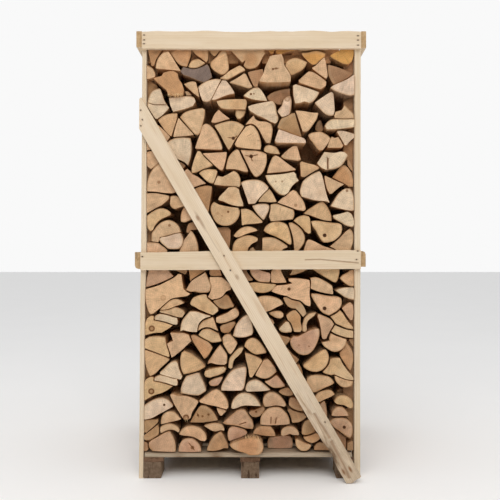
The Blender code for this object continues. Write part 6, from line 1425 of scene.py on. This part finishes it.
class Rank:
    """All logs of one rank, gathered into one mesh."""

    def __init__(self, name, front_y, back_y, sign, batch):
        self.name = name
        self.batch = batch
        self.front_y = front_y
        self.back_y = back_y
        self.sign = sign
        self.verts = []
        self.faces = []
        self.kinds = []
        self.colours = []
        self.piths = []
        self.rims = []
        self.girths = []
        self.marks = []

    def add(self, points, y, colour, pith, girth, seed, rim, mark):
        """Add points of one log with what its material needs; returns the number of the first."""
        start = len(self.verts)
        for (x, z), yy, r, m in zip(points, y, rim, mark):
            self.verts.append((x, yy, z))
            self.colours.append(colour)
            self.piths.append((x - pith[0], yy * self.sign + seed * 0.731, z - pith[1]))
            self.rims.append(r)
            self.girths.append(girth)
            self.marks.append(m)
        return start

    def add_log(self, number, tone, depth, points, detailed, marks, checks):
        """One log: its sawn end, its sides in rings and its far end."""
        rng = np.random.default_rng(1000 + number + 5000 * self.batch)
        spacing = 0.010 if detailed else 0.018
        outline, bark, pith, girth = log_section(points, spacing, rng)
        outline[:, 0] = np.clip(outline[:, 0], -SIDE_LIMIT, SIDE_LIMIT)
        outline[:, 1] = np.maximum(outline[:, 1], DECK_TOP)
        outline = np.array([self.reach_post(x, z) for x, z in outline])
        normals = outward_normals(outline)
        colour = np.array(linear(TONES[tone]))
        colour[:3] *= rng.uniform(0.93, 1.06)
        colour[:3] *= 1.0 + rng.uniform(-0.03, 0.03, 3)
        seed = number * 0.37 + rng.uniform(0, 1)
        sign = self.sign
        slope = rng.uniform(-0.03, 0.03, 2)
        middle = outline.mean(axis=0)
        limit = front_limit(outline)

        def stand_out(p):
            return depth + (p - middle) @ slope

        over = max(0.0, float(stand_out(outline).max()) - limit)
        # The end face
        inset = outline - SAW_BEVEL * normals
        if detailed:
            face, triangles, first, rim, sink, dark = end_face(inset, bark, marks, checks, 0.014)
            y = self.front_y - sign * (stand_out(face) - over - sink)
            start = self.add(face, y, colour, pith, girth, seed, rim, dark)
            ring_of = {old: start + new for new, old in first.items()}
            edge = [ring_of[k] for k in range(len(outline))]
            for a, b, c in triangles:
                self.faces.append((start + a, start + b, start + c))
                self.kinds.append(0)
        else:
            y = self.front_y - sign * (stand_out(inset) - over)
            start = self.add(inset, y, colour, pith, girth, seed, [0.01] * len(inset), [0.0] * len(inset))
            edge = list(range(start, start + len(inset)))
            self.faces.append(tuple(edge))
            self.kinds.append(0)
        # The sides
        length = abs(self.back_y - self.front_y) - rng.uniform(0.0005, 0.007)
        stations = (0.0014, 0.010, 0.040, 0.100, 0.175, 1.0) if detailed else (0.0014, 0.080, 0.160, 1.0)
        arc = np.concatenate(([0.0], np.cumsum(np.linalg.norm(np.diff(outline, axis=0), axis=1))))
        front = stand_out(outline) - over
        rings = [edge]
        for station in stations:
            last = station == 1.0
            ring = outline
            if station > 0.005:
                depth_in = np.array([
                    (BARK_RELIEF if rough else SPLIT_RELIEF)
                    * (0.5 + field.noise(Vector((at * 90.0, station * 7.0, seed * 9.0))))
                    for at, rough in zip(arc, bark)
                ])
                ring = outline - np.clip(depth_in, 0.0, 0.004)[:, None] * normals
            if last:
                y = np.full(len(ring), self.front_y + sign * length)
            else:
                y = self.front_y - sign * (front - station)
            start = self.add(ring, y, colour, pith, girth, seed, [0.0] * len(ring), [0.0] * len(ring))
            rings.append(list(range(start, start + len(ring))))
        size = len(outline)
        for a, b in zip(rings, rings[1:]):
            for k in range(size):
                n = (k + 1) % size
                self.faces.append((a[k], b[k], b[n], a[n]))
                self.kinds.append(2 if bark[k] and bark[n] else 1)
        self.faces.append(tuple(rings[-1]))
        self.kinds.append(0)

    def add_shade_filler(self, outline, near, far):
        """A dark mass in the bark's material between two depths, put in as painted shade."""
        outline = [self.reach_post(x, z) for x, z in outline]
        colour = linear(TONES["b"])
        count = len(outline)
        rings = []
        for y in (near, far):
            start = self.add(outline, [y] * count, colour, (0.0, 1.0), 1.0, 0.5, [0.01] * count,
                             [0.0] * count)
            rings.append(list(range(start, start + count)))
        a, b = rings
        for k in range(count):
            n = (k + 1) % count
            self.faces.append((a[k], b[k], b[n], a[n]))
            self.kinds.append(2)
        self.faces.append(tuple(a))
        self.faces.append(tuple(reversed(b)))
        self.kinds.extend((2, 2))

    def add_middle_shade_filler(self, half_width, top, set_back):
        """A dark mass in the middle of the rank: painted shade that closes the gaps between the logs and
        stops light through them.
        """
        low = DECK_TOP + 0.012
        outline = []
        for k in range(24):
            outline.append((half_width * (1 - 2 * k / 23), top + 0.006 * math.sin(k * 2.4)))
        for k in range(48):
            outline.append((-half_width + 0.003 * (1 + math.sin(k * 1.7)), top + (low - top) * k / 47))
        for k in range(48):
            outline.append((half_width - 0.003 * (1 + math.sin(k * 2.1)), low + (top - low) * k / 47))
        self.add_shade_filler(outline, self.front_y + self.sign * set_back, self.back_y - self.sign * 0.012)

    def add_flank_shade_filler(self, near, far):
        """A dark mass between the outer logs and the corner posts: painted shade in the gaps there, which
        also stops light through them.
        """
        for side in (-1.0, 1.0):
            outline = []
            for k in range(40):
                z = DECK_TOP + 0.01 + FLANK_HEIGHT * k / 39
                outline.append((side * (SIDE_LIMIT - 0.0005), z))
            for k in range(40):
                z = DECK_TOP + 0.01 + FLANK_HEIGHT * (1 - k / 39)
                outline.append((side * (SIDE_LIMIT - FLANK_WIDTH - 0.004 * math.sin(k * 1.9)), z))
            if side < 0.0:
                outline.reverse()
            self.add_shade_filler(outline, self.front_y + self.sign * near, self.front_y + self.sign * far)

    def reach_post(self, x, z):
        """Low on the left the front logs spread as far as the leaning corner post."""
        if self.sign < 0.0 or x > SPREAD_FROM or self.front_y != FRONT_Y:
            return (x, z)
        inner = -float(along_line(z / MM, [(h, i) for h, _, i in LEFT_POST])) * MM
        spread = max(0.0, inner - 0.0015 - SIDE_LIMIT)
        return (x - spread * min(1.0, (SPREAD_FROM - x) / (SIDE_LIMIT + SPREAD_FROM)), z)

    def build(self):
        """The rank's mesh, with what the materials read from it."""
        attributes = {
            "log_colour": ("FLOAT_COLOR", self.colours),
            "pith": ("FLOAT_VECTOR", self.piths),
            "rim": ("FLOAT", self.rims),
            "girth": ("FLOAT", self.girths),
            "mark": ("FLOAT", self.marks),
        }
        item = build_object(self.name, self.verts, self.faces, [OAK_END, OAK_SPLIT, OAK_BARK], self.kinds,
                            math.radians(40), attributes)
        face_outward(item)
        return item


def open_stretches(first, length, filled):
    """Stretches (low, high) of a line, tried every 2 mm, at which nothing is found."""
    gaps = []
    start = None
    for step in range(int(length / 0.002)):
        at = first + step * 0.002
        full = filled(at)
        if not full and start is None:
            start = at
        if full and start is not None:
            gaps.append((start, at))
            start = None
    return gaps


def flank_gaps(outlines):
    """Heights (low, high, side) where no log of the front rank lies against the posts."""
    gaps = []
    for side in (-1.0, 1.0):
        def filled(z):
            return all(any(inside((side * (SIDE_LIMIT - inward), z), outline) for outline in outlines)
                       for inward in (0.010, 0.020))

        for low, high in open_stretches(DECK_TOP + 0.004, 2.02 - DECK_TOP, filled):
            if high - low > 0.008:
                gaps.append((low, high, side))
    return gaps


def top_gaps(outlines, level):
    """Stretches (low, high) of x with no log of the front rank at a height."""
    def filled(x):
        return any(inside((x - 0.002, level), outline) and inside((x + 0.002, level), outline)
                   for outline in outlines)

    gaps = open_stretches(-SIDE_LIMIT + 0.001, 2 * SIDE_LIMIT, filled)
    return [(low - 0.002, high + 0.002) for low, high in gaps]


# Layers of thin sticks under the top rails: the height looked at for gaps, and their heights.
STICK_LAYERS = ((2.012, 1.990, 2.0295), (2.037, 2.0305, 2.0775))
FILLER_BACK = -0.040    # how far fillers lie behind the posts' plane
STICK_BACK = -0.045
INNER_BACK = -0.004


def build_firewood():
    """Four ranks of logs, one behind the other, each in place of its solid."""
    ends = read_ends()
    lowest = min(z for _, _, points in ends for _, z in points)
    highest = max(z for _, _, points in ends for _, z in points)
    marks = []
    for x, z, radius, dark in END_MARKS:
        marks.append((*from_eye(x, z, 1.0), radius * MM, dark))
    checks = []
    for line, width, depth in END_CHECKS:
        checks.append((tuple(from_eye(x, z, 1.0) for x, z in line), width * MM, depth * MM))
    front = Rank("firewood_rank_front_logs", FRONT_Y, -RANK_LENGTH - RANK_GAP, 1.0, 1)
    back = Rank("firewood_rank_back_logs", -FRONT_Y, RANK_LENGTH + RANK_GAP, -1.0, 0)
    second = Rank("firewood_rank_second_logs", -RANK_LENGTH + RANK_GAP, -RANK_GAP, 1.0, 0)
    third = Rank("firewood_rank_third_logs", RANK_GAP, RANK_LENGTH - RANK_GAP, 1.0, 1)
    for number, (tone, depth, points) in enumerate(ends):
        outline = np.array(points)
        own_marks = [m for m in marks if inside(m[:2], outline)]
        own_checks = [c for c in checks if inside(c[0][0], outline) or inside(c[0][-1], outline)]
        front.add_log(number, tone, depth, points, True, own_marks, own_checks)
        over = [(-x, lowest + highest - z) for x, z in points]
        back.add_log(number, tone, depth, over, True, [], [])
        mirrored = [(-x, lowest + (z - lowest) * INNER_RISE) for x, z in reversed(points)]
        second.add_log(number, tone, INNER_BACK, mirrored, False, [], [])
        upturned = [(x, lowest + (highest - z) * INNER_RISE) for x, z in reversed(points)]
        third.add_log(number, tone, INNER_BACK, upturned, False, [], [])
    outlines = [np.array(points) for _, _, points in ends]
    for number, (z_low, z_high, side) in enumerate(flank_gaps(outlines), start=300):
        wide = min(0.045, 0.9 * (z_high - z_low))
        inner = side * (SIDE_LIMIT - wide)
        wedge = [(side * SIDE_LIMIT, z_low - 0.002), (side * SIDE_LIMIT, z_high + 0.002),
                 (inner, z_low + 0.72 * (z_high - z_low)), (inner, z_low + 0.3 * (z_high - z_low))]
        if side < 0.0:
            wedge.reverse()
        front.add_log(number, "b", FILLER_BACK, wedge, True, [], [])
        over = [(-x, lowest + highest - z) for x, z in wedge]
        back.add_log(number, "b", FILLER_BACK, over, False, [], [])
    # Thin sticks that close the heap just under the top rails.
    number = 400
    for level, z_low, z_high in STICK_LAYERS:
        for x_low, x_high in top_gaps(outlines, level):
            number += 1
            stick = [(x_low - 0.002, z_low), (x_high + 0.002, z_low + 0.001), (x_high + 0.003, z_high),
                     (x_low - 0.003, z_high - 0.001)]
            front.add_log(number, "o", STICK_BACK, stick, True, [], [])
            over = [(-x, z) for x, z in reversed(stick)]
            back.add_log(number, "o", STICK_BACK, over, False, [], [])
    # Dark masses of bark behind the logs: painted shade deep in the gaps.
    for rank in (front, back):
        rank.add_middle_shade_filler(0.466, 1.985, 0.170)
        rank.add_flank_shade_filler(0.055, 0.078)
    for rank in (second, third):
        rank.add_middle_shade_filler(0.460, 2.070, 0.015)
    for rank in (front, second, third, back):
        finish_piece(rank.build(), "oak_firewood", rank.name.removesuffix("_logs"))


# ---------------------------------------------------------------------------
# Nails
# ---------------------------------------------------------------------------

# Nail heads on the front rails, seen on the posts' plane in mm.
RAIL_NAILS = ((-507, 2111), (-507, 2088), (-507, 2070), (512, 2108), (512, 2087), (512, 2063),
              (-515, 1056), (511, 1083), (505, 1042))
# Nail heads on the brace, seen on the posts' plane in mm.
BRACE_NAILS = ((-523, 1753), (-515, 1708), (-522, 1679), (-126, 1060), (-96, 991), (355, 268))


# Nail heads of the side rails and of the deck, in metres, and how deep they are driven.
SIDE_NAILS_Y = (-0.468, -0.432, -0.02, 0.022, 0.436, 0.470)
DECK_NAILS_X = (-0.484, -0.018, 0.462)
NAIL_SINK = 0.0012


def nail_places():
    """Place and outward direction of every nail head."""
    places = []
    rail_front = solid_box("rail_top_front")[0][1]
    for x, z in RAIL_NAILS:
        share = (EYE_DISTANCE - (FRONT_Y - rail_front)) / EYE_DISTANCE
        px, pz = from_eye(x, z, share)
        for side in (1.0, -1.0):
            places.append(((side * px, side * rail_front, pz), (0.0, -side, 0.0)))
    for x, z in BRACE_NAILS:
        gap = brace_gap(z) + BRACE_THICKNESS
        px, pz = from_eye(x, z, (EYE_DISTANCE - gap) / EYE_DISTANCE)
        y = FRONT_Y - gap
        for side in (1.0, -1.0):
            places.append(((side * px, side * y, pz), (0.0, -side, 0.02)))
    for side, node in ((-1.0, "left"), (1.0, "right")):
        for level in ("top", "mid"):
            low, high = solid_box("rail_" + level + "_" + node)
            face = low[0] if side < 0.0 else high[0]
            for y in SIDE_NAILS_Y:
                for k, share in enumerate((0.28, 0.72)):
                    z = low[2] + share * (high[2] - low[2])
                    places.append(((face - side * NAIL_SINK, y + 0.012 * k, z), (side, 0.0, 0.0)))
    for number in range(1, 8):
        low, high = solid_box("deck_board_" + str(number))
        for x in DECK_NAILS_X:
            for share in (0.25, 0.75):
                y = low[1] + share * (high[1] - low[1])
                places.append(((x, y, high[2] - NAIL_SINK), (0.0, 0.0, 1.0)))
    return places


def new_geometry_tree(name, sizes):
    """A geometry node group with its named inputs; returns it and the outputs of its input node."""
    tree = bpy.data.node_groups.new(name, "GeometryNodeTree")
    for label, kind in (("Geometry", "Geometry"), *sizes):
        tree.interface.new_socket(label, in_out="INPUT", socket_type="NodeSocket" + kind)
    tree.interface.new_socket("Geometry", in_out="OUTPUT", socket_type="NodeSocketGeometry")
    return tree, add_node(tree, "NodeGroupInput").outputs


def plant_on_points(tree, given, shape, way, size):
    """Set the shape on every given point, turned and sized, as a real mesh in its material."""
    turned = add_node(tree, "FunctionNodeAlignRotationToVector", {"Vector": way}, axis="Z")
    points = add_node(tree, "GeometryNodeMeshToPoints", {"Mesh": given["Geometry"]})
    placed = add_node(tree, "GeometryNodeInstanceOnPoints", {
        "Points": points, "Instance": shape, "Rotation": turned, "Scale": size,
    })
    real = add_node(tree, "GeometryNodeRealizeInstances", {0: placed})
    dressed = add_node(tree, "GeometryNodeSetMaterial", {"Geometry": real, "Material": given["Material"]})
    add_node(tree, "NodeGroupOutput", {0: dressed})


def nail_head_tree():
    """Geometry nodes: a shallow round nail head on every point, turned to its direction."""
    tree, given = new_geometry_tree("nail_heads", (
        ("Head Radius", "Float"), ("Head Height", "Float"), ("Spread", "Float"), ("Seed", "Int"),
        ("Material", "Material"),
    ))
    top = add_node(tree, "ShaderNodeMath", {0: given["Head Radius"], 1: 0.82}, operation="MULTIPLY")
    head = add_node(tree, "GeometryNodeMeshCone", {
        "Vertices": 10, "Side Segments": 2, "Radius Top": top, "Radius Bottom": given["Head Radius"],
        "Depth": given["Head Height"],
    }, fill_type="NGON")
    facing = add_node(tree, "GeometryNodeInputNamedAttribute", {"Name": "facing"}, data_type="FLOAT_VECTOR")
    least = add_node(tree, "ShaderNodeMath", {0: 1.0, 1: given["Spread"]}, operation="SUBTRACT")
    size = add_node(tree, "FunctionNodeRandomValue", {2: least, 3: 1.0, "Seed": given["Seed"]},
                    data_type="FLOAT")
    plant_on_points(tree, given, head, facing, size)
    return tree


def made_by_nodes(name, item, tree, values):
    """Run a node tree on a mesh object and keep the result as a plain mesh."""
    modifier = item.modifiers.new(tree.name, "NODES")
    modifier.node_group = tree
    for socket in tree.interface.items_tree:
        if socket.in_out == "INPUT" and socket.name in values:
            modifier[socket.identifier] = values[socket.name]
    bpy.context.view_layer.update()
    solved = item.evaluated_get(bpy.context.evaluated_depsgraph_get())
    mesh = bpy.data.meshes.new_from_object(solved)
    item.modifiers.clear()
    old = item.data
    item.data = mesh
    mesh.name = name
    bpy.data.meshes.remove(old)
    return item


def build_nails():
    """Every nail head of the crate as one piece."""
    places = nail_places()
    seeds = build_object("nail_heads", [p for p, d in places], [], [NAIL_STEEL], None, None,
                         {"facing": ("FLOAT_VECTOR", [d for p, d in places])})
    item = made_by_nodes("nail_heads", seeds, nail_head_tree(), {
        "Head Radius": 0.0036, "Head Height": 0.0009, "Spread": 0.15, "Seed": 5, "Material": NAIL_STEEL,
    })
    finish_piece(item, "crate_rail")


# Torn fibres on ragged log ends, seen on the posts' plane in mm: x and z of an edge's two ends,
# how many fibres it has, how far the log stands out in mm, and whether they hang (-1) or stand (1).
TORN_EDGES = (
    (-394, 1832, -322, 1830, 30, 23, -1.0), (-318, 290, -302, 290, 6, 11, -1.0),
    (-24, 194, 50, 187, 24, 41, 1.0),
)


def torn_fibre_tree():
    """Geometry nodes: a thin tapering splinter on every point, leaning at random."""
    tree, given = new_geometry_tree("torn_fibres", (
        ("Thickness", "Float"), ("Length", "Float"), ("Spread", "Float"), ("Seed", "Int"),
        ("Material", "Material"),
    ))
    sliver = add_node(tree, "GeometryNodeMeshCone", {
        "Vertices": 5, "Side Segments": 3, "Radius Top": 0.0003, "Radius Bottom": given["Thickness"],
        "Depth": given["Length"],
    }, fill_type="NGON")
    spread = {"Scale": given["Spread"]}
    least = add_node(tree, "ShaderNodeVectorMath", {0: (-1.0, -1.0, -1.0), **spread}, operation="SCALE")
    most = add_node(tree, "ShaderNodeVectorMath", {0: (1.0, 1.0, 1.0), **spread}, operation="SCALE")
    lean = add_node(tree, "FunctionNodeRandomValue", {0: least, 1: most, "Seed": given["Seed"]},
                    data_type="FLOAT_VECTOR")
    facing = add_node(tree, "GeometryNodeInputNamedAttribute", {"Name": "facing"}, data_type="FLOAT_VECTOR")
    way = add_node(tree, "ShaderNodeVectorMath", {0: facing, 1: lean}, operation="ADD")
    size = add_node(tree, "FunctionNodeRandomValue", {2: 0.45, 3: 1.0, "Seed": given["Seed"]},
                    data_type="FLOAT")
    plant_on_points(tree, given, sliver, way, size)
    return tree


def build_torn_fibres():
    """Splinters along the ragged edges of a few log ends."""
    places = []
    ways = []
    for x0, z0, x1, z1, count, depth, way in TORN_EDGES:
        ways.extend([(0.0, -0.45, way)] * count)
        for k in range(count):
            share = (k + 0.5) / count
            x, z = from_eye(x0 + share * (x1 - x0), z0 + share * (z1 - z0), seen_share(depth * MM))
            places.append((x, FRONT_Y - depth * MM + 0.004, z))
    seeds = build_object("torn_fibres", places, [], [OAK_SPLINTER], None, None,
                         {"facing": ("FLOAT_VECTOR", ways)})
    item = made_by_nodes("torn_fibres", seeds, torn_fibre_tree(), {
        "Thickness": 0.0024, "Length": 0.028, "Spread": 0.6, "Seed": 9, "Material": OAK_SPLINTER,
    })
    finish_piece(item, "oak_firewood")


# ---------------------------------------------------------------------------
# Floor, light and camera
# ---------------------------------------------------------------------------

# Lamps of the studio: name, place and width in metres, power in watts, and colour.
LAMPS = (
    ("key_softbox", (-1.0, -4.4, 5.0), 3.2, 70.0, "#FFFCF8"),
    ("front_softbox", (0.6, -5.0, 4.1), 2.2, 68.0, "#FFFBF6"),
)
LAMP_AIM = (0.0, -0.5, 1.0)
# How bright the ceiling of light is at the sine of each height above the horizon.
DOME = ((0.0, 0.0), (0.36, 0.04), (0.58, 0.66), (0.9, 1.2))
FLOOR = ((-60.0, -12.0, 0.0), (60.0, -12.0, 0.0), (60.0, 27.0, 0.0), (-60.0, 27.0, 0.0))


def build_studio():
    """A pale floor and bright, even daylight from the front and above."""
    floor = build_object("studio_floor", FLOOR, [(0, 1, 2, 3)], [make_floor_paint()])
    world = bpy.data.worlds.new("studio_daylight")
    bpy.context.scene.world = world
    world.use_nodes = True
    tree = world.node_tree
    tree.nodes.clear()
    # The camera sees a plain pale wall; the crate is lit from overhead, as under a large soft ceiling.
    wall = add_node(tree, "ShaderNodeBackground", {"Color": linear("#F9F9F9"), "Strength": 1.0})
    way = add_node(tree, "ShaderNodeTexCoord").outputs["Generated"]
    height = add_node(tree, "ShaderNodeSeparateXYZ", {0: way}).outputs["Z"]
    light = add_node(tree, "ShaderNodeValToRGB", {0: height}, DOME)
    dome = add_node(tree, "ShaderNodeBackground", {"Color": light, "Strength": 1.0})
    seen = add_node(tree, "ShaderNodeLightPath").outputs["Is Camera Ray"]
    both = add_node(tree, "ShaderNodeMixShader", {0: seen, 1: dome, 2: wall})
    add_node(tree, "ShaderNodeOutputWorld", {0: both})
    for name, place, wide, power, colour in LAMPS:
        data = bpy.data.lights.new(name, "AREA")
        data.shape = "SQUARE"
        data.size = wide
        data.energy = power
        data.color = linear(colour)[:3]
        lamp = bpy.data.objects.new(name, data)
        lamp.location = place
        aim = Vector(LAMP_AIM) - Vector(place)
        lamp.rotation_euler = aim.to_track_quat("-Z", "Y").to_euler()
        bpy.context.scene.collection.objects.link(lamp)
    bpy.context.scene.view_settings.view_transform = "Standard"


def build_camera():
    """The photograph's eye: level, straight on, at the height of the middle rail."""
    data = bpy.data.cameras.new("photograph_eye")
    data.sensor_width = 36.0
    data.lens = FOCAL_PX / PICTURE_PX * data.sensor_width
    data.shift_x = (PICTURE_PX / 2 - CENTRE_X_PX) / PICTURE_PX
    data.shift_y = (HORIZON_PX - PICTURE_PX / 2) / PICTURE_PX
    eye = bpy.data.objects.new("photograph_eye", data)
    eye.location = (0.0, FRONT_Y - EYE_DISTANCE, EYE_HEIGHT)
    eye.rotation_euler = (math.radians(90.0), 0.0, 0.0)
    bpy.context.scene.collection.objects.link(eye)
    bpy.context.scene.camera = eye


build_pallet()
build_posts()
build_rails()
build_braces()
build_firewood()
build_nails()
build_torn_fibres()
build_studio()
build_camera()
